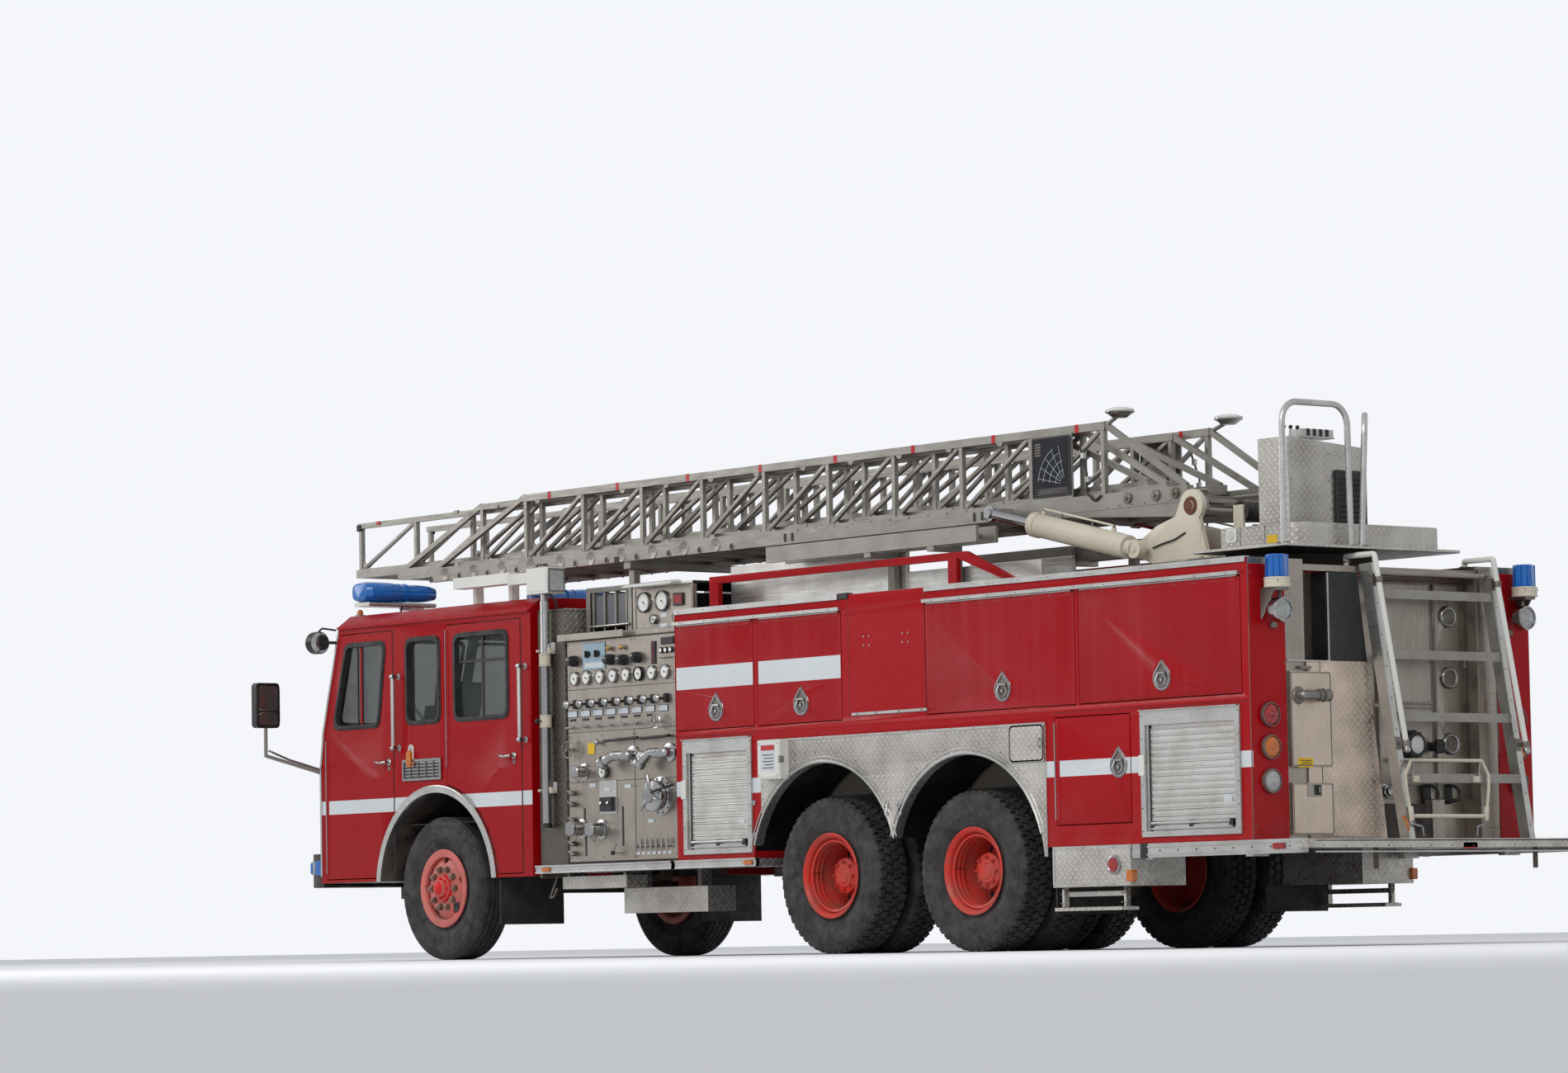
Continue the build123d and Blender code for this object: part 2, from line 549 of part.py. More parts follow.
# Light bar across the roof.
BAR_X = (5330.0, 5580.0)
BAR_Z = (2700.0, 2855.0)
bar_body = block(*BAR_X, 70 - HALF_WIDTH, HALF_WIDTH - 70, *BAR_Z)
bar_body = chamfer(bar_body.edges().filter_by(Axis.Y), 30)
bar_feet = [block(5420, 5490, s * 600 - 60, s * 600 + 60, CAB_ROOF_Z, BAR_Z[0]) for s in (-1, 1)]
light_bar = joined([bar_body] + bar_feet)

# Cab trim: mirrors, grab rails, wheel arch trims, grille and lamps on the front face.
trim = []
MIRROR_X, MIRROR_Y = 6000.0, HALF_WIDTH + 380.0
mirror_arm = joined([
    tube((5860, HALF_WIDTH - 50, 1420), (MIRROR_X + 10, MIRROR_Y, 1560), 14),
    tube((MIRROR_X + 10, MIRROR_Y, 1550), (MIRROR_X + 10, MIRROR_Y, 1800), 14),
    block(CAB_LOW_X, CAB_LOW_X + 12, HALF_WIDTH - 100, HALF_WIDTH - 10, 1370, 1470),
])
mirror_head = fillet(block(MIRROR_X - 25, MIRROR_X + 40, MIRROR_Y - 105, MIRROR_Y + 105, 1770, 2110)
                     .edges().filter_by(Axis.X), 30)
trim.append(joined([mirror_arm, mirror_head]))
for gx in (4800.0, 3215.0):
    trim.append(joined([tube((gx, HALF_WIDTH + 55, 1560), (gx, HALF_WIDTH + 55, 2120), 15),
                        tube((gx, HALF_WIDTH, 1575), (gx, HALF_WIDTH + 55, 1575), 13),
                        tube((gx, HALF_WIDTH, 2105), (gx, HALF_WIDTH + 55, 2105), 13)]))
arch_ring = (rod_y(FRONT_AXLE_X, WHEEL_R, ARCH_R + ARCH_TRIM, HALF_WIDTH, HALF_WIDTH + 18)
             - rod_y(FRONT_AXLE_X, WHEEL_R, ARCH_R, HALF_WIDTH - 1, HALF_WIDTH + 20)
             - block(FRONT_AXLE_X - 800, FRONT_AXLE_X + 800, HALF_WIDTH - 1, HALF_WIDTH + 20, -300, CAB_Z0))
trim.append(arch_ring)
drip = block(CAB_REAR_X, CAB_ROOF_X - 10, HALF_WIDTH, HALF_WIDTH + 22, CAB_EAVE_Z - 25, CAB_EAVE_Z - 5)
trim.append(drip)
louvre = joined([block(4262, 4745, HALF_WIDTH, HALF_WIDTH + 4, 1330, 1480)]
                + [block(4280, 4727, HALF_WIDTH + 4, HALF_WIDTH + 12, z, z + 10) for z in range(1345, 1470,
                                                                                                24)])
trim.append(louvre)
grille = joined([block(CAB_LOW_X, CAB_LOW_X + 10, -560, 560, 900, 1560)]
                + [block(CAB_LOW_X + 10, CAB_LOW_X + 22, -540, 540, z, z + 22) for z in range(920, 1545, 48)])
LAMP_Y = (HALF_WIDTH - 490.0, HALF_WIDTH - 260.0)
lamp_bezel = joined([block(CAB_LOW_X, CAB_LOW_X + 26, LAMP_Y[0] - 120, LAMP_Y[1] + 130, 960, 1230)]
                    + [rod_x(y, 1095, 88, CAB_LOW_X + 26, CAB_LOW_X + 42) for y in LAMP_Y])
spot = joined([rod_x(HALF_WIDTH + 40, 2410, 85, 5770, 5840), rod_x(HALF_WIDTH + 40, 2410, 60, 5740, 5770),
               tube((5604, HALF_WIDTH + 13, 2402), (5765, HALF_WIDTH + 34, 2410), 12)])
add("cab_trim", both(trim + [lamp_bezel, spot]) + [grille])

# Pump house: walls behind the cab, the hose trays and the upper gauge box over them, and the
# pillar by the cab.
px0, px1 = PUMP_X
pump_out = HALF_WIDTH - PANEL_THICK - 20
rail_room = block(BODY_X[0] - 30, PILLAR_X[1] + 10, -RAIL_Y - 90, RAIL_Y + 90, PUMP_Z0 - 20, RAIL_Z1 + FIT)


def four_walls(x0, x1, half, thick, z0, z1):
    """Two end walls and two side walls round a hollow, each a body of its own."""
    ends = [block(x, x + thick, -half, half, z0, z1) - rail_room for x in (x0, x1 - thick)]
    sides = [block(x0 + thick + FIT, x1 - thick - FIT, half - thick, half, z0, z1)]
    return ends + both(sides)


pump_walls = four_walls(px0, px1, pump_out, SHEET, PUMP_Z0, PUMP_TOP_Z - SHEET - FIT)
pump_roof = block(px0, px1, -pump_out, pump_out, PUMP_TOP_Z - SHEET, PUMP_TOP_Z)
DIVIDER_X = (2262.0, 2390.0, 2520.0, 2650.0)
dividers = [block(x, x + 14, -TRAY_Y, TRAY_Y, PUMP_TOP_Z + FIT, HOSE_TRAY_Z - 40) for x in DIVIDER_X]
POST = 46.0
tray_frame = [joined([block(x, x + POST, TRAY_Y - POST, TRAY_Y, PUMP_TOP_Z + FIT, HOSE_TRAY_Z)
                      for x in (TRAY_X + 14, px1 - POST)]
                     + [block(TRAY_X + 14, px1, TRAY_Y - POST, TRAY_Y, HOSE_TRAY_Z - 36, HOSE_TRAY_Z)])]
GAUGE_BOX_Z = 2625.0
gauge_box = [block(px0 + 25, TRAY_X, TRAY_Y - SHEET, TRAY_Y, PUMP_TOP_Z + FIT, GAUGE_BOX_Z - 20 - FIT)]
gauge_roof = joined([block(px0 + 25, TRAY_X, -TRAY_Y, TRAY_Y, GAUGE_BOX_Z - 20, GAUGE_BOX_Z)]
                    + both([block(px0 + 150, TRAY_X, TRAY_Y, TRAY_Y + 75, GAUGE_BOX_Z - 8, GAUGE_BOX_Z + 8)]))
pillar_walls = four_walls(*PILLAR_X, HALF_WIDTH - 40, 20.0, PUMP_Z0, PILLAR_TOP_Z - 20 - FIT)
pillar_cap = block(*PILLAR_X, 40 - HALF_WIDTH, HALF_WIDTH - 40, PILLAR_TOP_Z - 20, PILLAR_TOP_Z)
filler = block(px1 + FIT, PILLAR_X[0] - FIT, 120 - HALF_WIDTH, HALF_WIDTH - 120, 930 + RAIL_Z1 - 900, 2260)
add("pump_house", pump_walls + [pump_roof] + dividers + both(tray_frame + gauge_box)
    + [gauge_roof, filler] + pillar_walls + [pillar_cap])

# Pump panels: the control faces on both sides.
panel = block(px0 + 8, px1 - 8, HALF_WIDTH - PANEL_THICK - 20, HALF_WIDTH - 20, PUMP_Z0 + 20, 2250)
shelf = joined([block(2020, PILLAR_X[0] - FIT, pump_out, HALF_WIDTH + 26, 2255, 2275),
                block(2020, PILLAR_X[0] - FIT, HALF_WIDTH + 18, HALF_WIDTH + 26, 2275, 2304)])
add("pump_panels", both([panel]) + both([shelf]))
SUCTION_X, SUCTION_Z = 1640.0, 1130.0
SUCTION_R = 88.0
fittings = []
for i in range(8):
    gx = 2640.0 - i * 148.0
    fittings.append(rod_y(gx, 1960, 56, HALF_WIDTH - 20, HALF_WIDTH + 10))
    fittings.append(rod_y(gx, 1780, 20, HALF_WIDTH - 20, HALF_WIDTH + 52))
fittings.append(joined([rod_y(SUCTION_X, SUCTION_Z, SUCTION_R, HALF_WIDTH - 20, HALF_WIDTH + 60),
                        rod_y(SUCTION_X, SUCTION_Z, 104, HALF_WIDTH + 20, HALF_WIDTH + 75)]
                       + [Pos(SUCTION_X, 0, SUCTION_Z) * Rot(0, a, 0) * Pos(96, 0, 0)
                          * rod_y(0, 0, 20, HALF_WIDTH + 40, HALF_WIDTH + 85) for a in (30, 150, 270)]))
for gx, gz in ((1980.0, 1330.0), (1620.0, 1370.0), (2410.0, 1290.0), (2480.0, 870.0), (2280.0, 870.0)):
    fittings.append(joined([rod_y(gx, gz, 48, HALF_WIDTH - 20, HALF_WIDTH + 45),
                            rod_y(gx, gz, 60, HALF_WIDTH + 45, HALF_WIDTH + 95)]))
add("pump_fittings", both(fittings))

# Light towers: a telescoping pole with a floodlight at its head, by the rear corner of the cab.
POLE_X = 2960.0
pole = joined([rod_z(POLE_X, HALF_WIDTH + 8, 32, 960, 2560), rod_z(POLE_X, HALF_WIDTH + 8, 26, 2560, 2612)]
              + [block(POLE_X - 60, POLE_X + 60, HALF_WIDTH - 40, HALF_WIDTH - 15, z, z + 60) for z in (1200,
                                                                                                        2200)]
              + [rod_z(POLE_X, HALF_WIDTH + 8, 42, z, z + 70) for z in (1660, 2100)])
lamp_head = joined([block(2880, 3130, HALF_WIDTH - 120, HALF_WIDTH + 40, 2612 + FIT, 2800),
                    block(3130, 3425, HALF_WIDTH - 100, HALF_WIDTH - 5, 2700, 2780)])
HOUSING_Z = (2715.0, 2795.0)
housing_feet = [block(x, x + 40, HALF_WIDTH - 185, HALF_WIDTH - 115, CAB_ROOF_Z + FIT, 2745) for x in (3520,
                                                                                                       3960)]
housing = joined([block(3425 + FIT, 4120, HALF_WIDTH - 130, HALF_WIDTH - 20, *HOUSING_Z)] + housing_feet)
add("floodlights", both([pole, lamp_head, housing]))

# Body: two banks of side lockers joined by a floor and a rear wall.
bx0, bx1 = BODY_X
bz0, bz1 = BODY_Z
bank_in = HALF_WIDTH - LOCKER_DEPTH
bank = block(bx0, bx1, bank_in, HALF_WIDTH, bz0, bz1)
for axle_x in REAR_AXLE_X:
    bank -= rod_y(axle_x, WHEEL_R, REAR_ARCH_R, bank_in - 10, SIDE_OUT)
bank -= block(REAR_AXLE_X[1], REAR_AXLE_X[0], bank_in - 10, SIDE_OUT, bz0 - 10, bz0 + 100)
for label, x0, x1 in UPPER_DOORS:
    bank -= block(x0 - DOOR_GAP, x1 + DOOR_GAP, HALF_WIDTH - DOOR_THICK - DOOR_GAP, SIDE_OUT,
                  UPPER_DOOR_Z[0] - DOOR_GAP, UPPER_DOOR_Z[1] + DOOR_GAP)
    bank -= block(x0 + 25, x1 - 25, bank_in + SHEET, SIDE_OUT, UPPER_DOOR_Z[0] + 25, UPPER_DOOR_Z[1] - 25)
bank -= block(LOWER_DOOR_X[0] - DOOR_GAP, LOWER_DOOR_X[1] + DOOR_GAP, HALF_WIDTH - DOOR_THICK - DOOR_GAP,
              SIDE_OUT, LOWER_DOOR_Z[0] - DOOR_GAP, LOWER_DOOR_Z[1] + DOOR_GAP)
bank -= block(LOWER_DOOR_X[0] + 25, LOWER_DOOR_X[1] - 25, bank_in + SHEET, SIDE_OUT,
              LOWER_DOOR_Z[0] + 25, LOWER_DOOR_Z[1] - 25)
for x0, x1, z0, z1 in SHUTTERS:
    bank -= block(x0, x1, bank_in + SHEET, SIDE_OUT, z0, z1)
column_skin = block(bx0 - 6, bx0 - FIT, COLUMN_Y, HALF_WIDTH - 10, bz0, bz1 - 40)
table_ring = rod_z(TABLE_X, 0, RING_R, DECK_Z + SHEET + FIT, TABLE_Z[0] - FIT)
drip_rails = [block(x0 - 8, x1 + 8, HALF_WIDTH + FIT, HALF_WIDTH + 28, UPPER_DOOR_Z[1] + 10,
                    UPPER_DOOR_Z[1] + 34)
              for x0, x1 in ((-350.0, 1450.0), (-4200.0, -1225.0))]

# Each bank is welded up from its inner wall, the rails over and under each row of lockers, the
# uprights between the lockers and short fillers, with seams over the wheel arches too.
BANK_SEAM_Z = 1520.0
wall_seam = bank_in + SHEET
arch_seams = [x + dx for x in REAR_AXLE_X for dx in (-600, 0, 600)] + [sum(REAR_AXLE_X) / 2]
upper_bays = [(x0 + 25, x1 - 25, UPPER_DOOR_Z[0] + 25, UPPER_DOOR_Z[1] - 25) for _, x0, x1 in UPPER_DOORS]
lower_bays = [*SHUTTERS, (LOWER_DOOR_X[0] + 25, LOWER_DOOR_X[1] - 25, LOWER_DOOR_Z[0] + 25,
                          LOWER_DOOR_Z[1] - 25)]


def parted(region, stations):
    """A region's parts between the stations that cross it."""
    x0, x1, *rest = region
    edges = [x0] + sorted(x for x in stations if x0 < x < x1) + [x1]
    return [(a + FIT, b, *rest) for a, b in zip(edges, edges[1:])]


def bank_row(foot, top, bays, seams):
    """The bodies that a row of lockers is welded up from."""
    low = min(sill for _, _, sill, _ in bays)
    high = max(head for _, _, _, head in bays)
    outer = (wall_seam, HALF_WIDTH)
    walls = parted((bx0 - FIT, bx1, bank_in, wall_seam - FIT, foot, top), seams)
    rails = [(bx0, bx1, *outer, high + FIT, top), (bx0, bx1, *outer, foot, low - FIT)]
    stops = [bx0 - FIT] + sorted(x1 for _, x1, _, _ in bays)
    starts = sorted(x0 for x0, _, _, _ in bays) + [bx1]
    uprights = []
    for x0, x1 in zip(stops, starts):
        uprights += parted((x0, x1, *outer, low, high), seams)
    fillers = [(x0 + FIT, x1 - FIT, *outer, z0, z1) for x0, x1, sill, head in bays
               for z0, z1 in ((low, sill), (head, high)) if z1 > z0]
    found = []
    for region in walls + rails + uprights + fillers:
        found += (bank & block(*region)).solids()
    return found


bank_parts = bank_row(BANK_SEAM_Z + FIT, bz1, upper_bays, [])
bank_parts += bank_row(bz0, BANK_SEAM_Z, lower_bays, arch_seams)
floor_y = bank_in - FIT
floor = block(REAR_WALL_X, bx1 - SHEET - FIT, -floor_y, floor_y, BED_FLOOR_Z, BED_FLOOR_Z + SHEET)
deck = block(bx0, DECK_FRONT_X, -floor_y, floor_y, DECK_Z, DECK_Z + SHEET)
head = block(bx1 - SHEET, bx1, -floor_y, floor_y, bz0 + 250, bz1)
add("body_shell", both(bank_parts + drip_rails + [column_skin]) + [floor, deck, head, table_ring])

# Water tank: the plain closed mass under the hose bed.
add("water_tank", [block(-1900, 1300, -bank_in + 40, bank_in - 40, TANK_Z0, BED_FLOOR_Z)])

# Top-hinged locker doors with drop handles.
UPPER_HINGE_Z = UPPER_DOOR_Z[1] + DOOR_GAP - 2.0


def drop_handle(x, z):
    """A drop handle on its round base plate."""
    return joined([rod_y(x, z, 58, HALF_WIDTH, HALF_WIDTH + 8),
                   block(x - 34, x + 34, HALF_WIDTH + 8, HALF_WIDTH + 26, z - 62, z - 40)])


for label, x0, x1 in UPPER_DOORS:
    leaf = block(x0, x1, HALF_WIDTH - DOOR_THICK, HALF_WIDTH, *UPPER_DOOR_Z)
    top_hinge = joined([rod_x(HINGE_Y, UPPER_HINGE_Z, HINGE_R, x0 + 20, x1 - 20),
                        block(x0 + 20, x1 - 20, HALF_WIDTH, HALF_WIDTH + 3, UPPER_HINGE_Z - 36,
                              UPPER_HINGE_Z - 2)])
    leaf = leaf.fuse(top_hinge, drop_handle((x0 + x1) / 2, UPPER_DOOR_Z[0] + 160))
    add(f"upper_door_{label}_left", [leaf])
    add(f"upper_door_{label}_right", [mirrored(leaf)])

low_leaf = block(*LOWER_DOOR_X, HALF_WIDTH - DOOR_THICK, HALF_WIDTH, *LOWER_DOOR_Z)
LOWER_HINGE_X = LOWER_DOOR_X[1] + DOOR_GAP - 2.0
low_leaf = low_leaf.fuse(drop_handle(LOWER_DOOR_X[0] + 120, 1130),
                         upright_hinge(LOWER_HINGE_X, LOWER_DOOR_Z[0] + 20, LOWER_DOOR_Z[1] - 20))
add("lower_door_left", [low_leaf])
add("lower_door_right", [mirrored(low_leaf)])

# Roll-up shutters: slatted curtains in their frames, shown closed.
shutters = []
for x0, x1, z0, z1 in SHUTTERS:
    curtain = block(x0 + FIT, x1 - FIT, HALF_WIDTH - 34, HALF_WIDTH - 16, z0 + FIT, z1 - FIT)
    slats = [block(x0 + 6, x1 - 6, HALF_WIDTH - 16, HALF_WIDTH - 11, z, z + 26)
             for z in range(int(z0) + 20, int(z1) - 30, 42)]
    lift_bar = block(x0 + 40, x1 - 40, HALF_WIDTH - 16, HALF_WIDTH + 12, z0 + 10, z0 + 34)
    rim = block(x0 - 45, x1 + 45, HALF_WIDTH, HALF_WIDTH + 10, z0 - 35, z1 + 95) - block(
        x0, x1, HALF_WIDTH - 5, HALF_WIDTH + 20, z0, z1)
    shutters += [joined([curtain, lift_bar] + slats), rim]
add("roller_shutters", both(shutters))

# Wheel-arch panels in tread plate, with the lower boxes, running boards and tailboard.
fender = block(*FENDER_X, HALF_WIDTH, HALF_WIDTH + FENDER_THICK, 600, FENDER_TOP_Z)
for axle_x in REAR_AXLE_X:
    fender -= rod_y(axle_x, WHEEL_R, REAR_ARCH_R, HALF_WIDTH - 10, HALF_WIDTH + 40)
fender = [s for s in fender.solids()]
low_box = block(-3175, -2440, bank_in + 20, HALF_WIDTH + 10, 400, BODY_Z[0])
BOARD_Z = (605.0, BODY_Z[0])
boards = [block(1500, 3080, HALF_WIDTH - 330, HALF_WIDTH + 30, *BOARD_Z),
          block(560, 1455, HALF_WIDTH - 330, HALF_WIDTH + 30, *BOARD_Z)]
fuel_cover = block(-2385, -2052, HALF_WIDTH + FENDER_THICK + FIT, HALF_WIDTH + FENDER_THICK + 14, 1212, 1452)
step_tread = joined([block(2180, 2930, HALF_WIDTH - 290, HALF_WIDTH - 100, 492, 580)]
                    + [block(x, x + 30, HALF_WIDTH - 270, HALF_WIDTH - 120, 580,
                             BOARD_Z[0] - FIT) for x in (2210, 2870)])
fold_step = joined([block(-3070, -2440, HALF_WIDTH - 150, HALF_WIDTH, 250, 272)]
                   + [block(x, x + 22, HALF_WIDTH - 90, HALF_WIDTH - 50, 272, 400 - FIT) for x in (-3060,
                                                                                                   -2480)]
                   + [block(-3060, -2458, HALF_WIDTH - 90, HALF_WIDTH - 70, 340, 372)])
RAIL_OUT = HALF_WIDTH + 12.0
side_rail = block(TAILBOARD_X + 60, -3190, HALF_WIDTH - 60, RAIL_OUT, 572, BODY_Z[0] - FIT)
rail_hangers = [block(x, x + 60, HALF_WIDTH - 200, HALF_WIDTH - 60 - FIT, 560,
                      BODY_Z[0] - FIT) for x in (-4200, -3300)]
tail = block(TAILBOARD_X, -4270 - FIT, 60 + FIT - HALF_WIDTH, HALF_WIDTH - 60 - FIT, *TAILBOARD_Z)
tail_edge = block(TAILBOARD_X, TAILBOARD_X + 60 - FIT, HALF_WIDTH - 60, RAIL_OUT, *TAILBOARD_Z)
# A filler box over the fender and one under the pump board hang on the outside too.
white_box = block(215, 460, HALF_WIDTH + FENDER_THICK + FIT, HALF_WIDTH + 80, 1190, 1456)
under_box = joined([block(1510, 2470, HALF_WIDTH - 550, HALF_WIDTH - 300, 310, 490)]
                   + [block(x, x + 40, HALF_WIDTH - 420, HALF_WIDTH - 301, 490, BOARD_Z[1]) - block(
                       x - 10, x + 50, HALF_WIDTH - 330 - FIT, HALF_WIDTH - 290, 491, BOARD_Z[1] + 10)
                      for x in (1620, 2300)])
add("tread_plates", both(fender + [white_box, under_box, low_box, fuel_cover, step_tread, fold_step,
                                   side_rail, tail_edge]
                         + boards + rail_hangers) + [tail])

# Rear face: column skins, recessed wall with its doors, access ladder and grab tubes.
wall = block(REAR_WALL_X - SHEET, REAR_WALL_X, -bank_in + FIT, bank_in - FIT, bz0, DECK_Z)
wall_doors = [block(REAR_WALL_X - SHEET - 18, REAR_WALL_X - SHEET, y0, y1, z0, z1)
              for y0, y1, z0, z1 in ((-480.0, 20.0, 1000.0, 1500.0), (-480.0, 20.0, 1520.0, 2290.0),
                                     (-740.0, -500.0, 920.0, 2290.0))]
PORTS = (
    # across the vehicle, height, radius
    (-625.0, 2080.0, 62.0),
    (-625.0, 1690.0, 62.0),
    (-625.0, 1270.0, 62.0),
)
ports = [rod_x(y, z, r, REAR_WALL_X - SHEET - 32, REAR_WALL_X - SHEET - 18) for y, z, r in PORTS]
ports = [p - rod_x(y, z, r - 14, REAR_WALL_X - SHEET - 60, REAR_WALL_X - SHEET - 22)
         for p, (y, z, r) in zip(ports, PORTS)]
# The corner left of the access ladder stands flush with the columns, with a slanted edge
# beside the ladder, a door under an open recess and return plates in to the wall.
SLANT_FOOT_Y, SLANT_HEAD_Y, SLANT_HEAD_Z = 95.0, 310.0, DECK_Z - 5.0
RECESS_Y, RECESS_Z = 565.0, 1765.0
DOOR_Y = (575.0, 925.0)
face_x = bx0 - 14 - FIT


def rear_plate(points, x0, x1):
    """A flat plate whose outline lies in the rear view, from x0 to x1."""
    outline = make_face(Plane.YZ * Polyline(*points, close=True))
    return Pos(x0, 0, 0) * extrude(outline, x1 - x0, dir=(1, 0, 0))


flush = rear_plate([(bank_in - FIT, bz0 + 8), (SLANT_FOOT_Y, bz0 + 8), (SLANT_HEAD_Y, SLANT_HEAD_Z),
                    (RECESS_Y, SLANT_HEAD_Z),
                    (RECESS_Y, RECESS_Z), (bank_in - FIT, RECESS_Z)], face_x, face_x + 24)
RETURN_Z = RAIL_Z1 + 20.0
slant_y = SLANT_FOOT_Y + (SLANT_HEAD_Y - SLANT_FOOT_Y) * (RETURN_Z - bz0 - 8) / (SLANT_HEAD_Z - bz0 - 8)
returns = [rear_plate([(slant_y, RETURN_Z), (slant_y + 14, RETURN_Z), (SLANT_HEAD_Y + 14, SLANT_HEAD_Z),
                       (SLANT_HEAD_Y, SLANT_HEAD_Z)], face_x + 24 + FIT, REAR_WALL_X - SHEET - 18),
           block(face_x + 24 + FIT, REAR_WALL_X - SHEET - FIT, RECESS_Y - 14, RECESS_Y, RECESS_Z,
                 SLANT_HEAD_Z),
           block(face_x + 24 + FIT, REAR_WALL_X - SHEET - FIT, RECESS_Y, bank_in - FIT, RECESS_Z - 14,
                 RECESS_Z - FIT)]
corner_doors = [block(face_x - 12, face_x, *DOOR_Y, z0, z1) for z0, z1 in ((1110.0, 1700.0), (690.0, 1010.0))]
corner_doors += [block(face_x, face_x + 14, bank_in - 5, DOOR_Y[1], z0, z1) for z0,
                 z1 in ((1110.0, 1700.0), (690.0, 1010.0))]
add("rear_wall", [joined([wall] + wall_doors + ports) - rail_room, joined([flush] + corner_doors)] + returns)

STILE_FOOT_X = -4440.0
STILE_HEAD_X = -4330.0
STILES = (
    # y at the head, y at the foot
    (270.0, 75.0),
    (-800.0, -1010.0),
)
STILE_HEAD_Z = 2385.0
RUNG_HEIGHTS = (1040.0, 1425.0, 1815.0, 2195.0)


def stile_y(pair, z):
    """Where a stile of the access ladder stands across the vehicle at a height."""
    head, foot = pair
    return foot + (head - foot) * (z - TAILBOARD_Z[1]) / (STILE_HEAD_Z - TAILBOARD_Z[1])


def stile_x(z):
    """How far back the access ladder leans at a height."""
    return STILE_FOOT_X + (STILE_HEAD_X - STILE_FOOT_X) * (z - TAILBOARD_Z[1]) / (STILE_HEAD_Z - TAILBOARD_Z[1])


foot_cut = block(TAILBOARD_X, bx0 - 1, -HALF_WIDTH, HALF_WIDTH, TAILBOARD_Z[0], TAILBOARD_Z[1] + FIT)
STILE_W, STILE_D = 50.0, 84.0
stiles = [joined([bar((STILE_FOOT_X, foot, TAILBOARD_Z[1]), (STILE_HEAD_X, head, STILE_HEAD_Z), STILE_W,
                      STILE_D),
                  block(STILE_HEAD_X - 30, bx0 - 40, head - 22, head + 22, STILE_HEAD_Z - 50,
                        STILE_HEAD_Z - 8)])
          - foot_cut for head, foot in STILES]
STEP_IN = STILE_W / 2 + 2
steps = [block(stile_x(z) - 45, stile_x(z) + 45, stile_y(STILES[1], z) + STEP_IN,
               stile_y(STILES[0], z) - STEP_IN,
               z - 24, z + 24) for z in RUNG_HEIGHTS]
GRAB_R = 17.0
GRAB_TOP_Z = 2440.0
GRAB_LOW_Z = 1215.0
GRAB_BEND = 30.0
grabs = []
for head, foot in STILES:
    top = (STILE_HEAD_X - 70, head, GRAB_TOP_Z)
    inner = (bx0 + 120, head, GRAB_TOP_Z)
    seat_z = DECK_Z + SHEET if abs(head) < HALF_WIDTH - LOCKER_DEPTH else BODY_Z[1]
    low_y = stile_y((head, foot), GRAB_LOW_Z)
    low = (stile_x(GRAB_LOW_Z) - 110, low_y, GRAB_LOW_Z)
    grip = bent_tube([low, top, inner, (inner[0], head, seat_z + FIT)], GRAB_R, GRAB_BEND)
    tie = tube((low[0], low_y, GRAB_LOW_Z + 40), (stile_x(GRAB_LOW_Z) - STILE_D / 2 - 1, low_y,
                                                  GRAB_LOW_Z + 40), 13)
    grabs.append(joined([grip, tie]))
add("access_ladder", stiles + steps + grabs)
LAMP_Z = (1430.0, 1230.0, 1020.0)
tail_lamps = [rod_x(HALF_WIDTH - 150, z, 70, bx0 - 30, bx0 - 6) for z in LAMP_Z]
BEACON_X, BEACON_Y = bx0 - 112.0, HALF_WIDTH - 148.0
BEACON_Z = (2206.0, 2270.0, 2412.0)
bracket = joined([block(BEACON_X - 50, bx0 - 6 - FIT, BEACON_Y - 45, BEACON_Y + 45, BEACON_Z[0] - 18,
                        BEACON_Z[0]),
                  plate([(bx0 - 6 - FIT, BEACON_Z[0]), (bx0 - 6 - FIT, BEACON_Z[0] - 190),
                         (BEACON_X - 20, BEACON_Z[0] - 18)],
                        BEACON_Y + 37, BEACON_Y + 45),
                  rod_z(BEACON_X, BEACON_Y, 82, *BEACON_Z[:2])])
spot_rear = joined([rod_x(BEACON_Y - 18, 2070, 78, BEACON_X - 30, BEACON_X + 26),
                    rod_x(BEACON_Y - 18, 2070, 52, BEACON_X + 26, BEACON_X + 50),
                    rod_z(BEACON_X, BEACON_Y - 18, 13, 2140, BEACON_Z[0] - 18 - FIT)])
add("tail_lamps", both(tail_lamps + [bracket, spot_rear]))
octagon = make_face(Polyline(*[(74 * math.cos(math.radians(22.5 + 45 * i)),
                                74 * math.sin(math.radians(22.5 + 45 * i)))
                               for i in range(8)], close=True))
beacons = Pos(BEACON_X, BEACON_Y, BEACON_Z[1] + FIT) * extrude(octagon, BEACON_Z[2] - BEACON_Z[1], taper=3)
add("blue_lights", both([beacons]) + [light_bar])

# Hose bed: side walls set in from the body's edge, low where the turntable's parts pass.
BED_X = (-2080.0, -1840.0, -480.0)
bed_sides = [block(x0, x1, bank_in - 34, bank_in - FIT, BED_FLOOR_Z + SHEET + FIT, top)
             for x0, x1, top in ((BED_X[0], BED_X[1] - FIT, 2450.0), (BED_X[1], BED_X[2] - FIT, 2560.0),
                                 (BED_X[2], bx1 - SHEET, 2720.0))]
RACK_OUT = bank_in + 240.0
RED_BAR = 42.0
RED_Y = bank_in + 170.0
red_frame = joined([block(-1240, -1150, RED_Y, RED_Y + RED_BAR, bz1 + FIT, 2640),
                    plate([(-1240, 2640), (-1330, 2640), (-1880, bz1 + FIT), (-1790, bz1 + FIT),
                           (-1240, 2600)],
                          RED_Y, RED_Y + RED_BAR),
                    block(-1240, 1400, RED_Y, RED_Y + RED_BAR, 2590, 2640),
                    block(1300, 1400, RED_Y, RED_Y + RED_BAR, bz1 + FIT, 2600)])
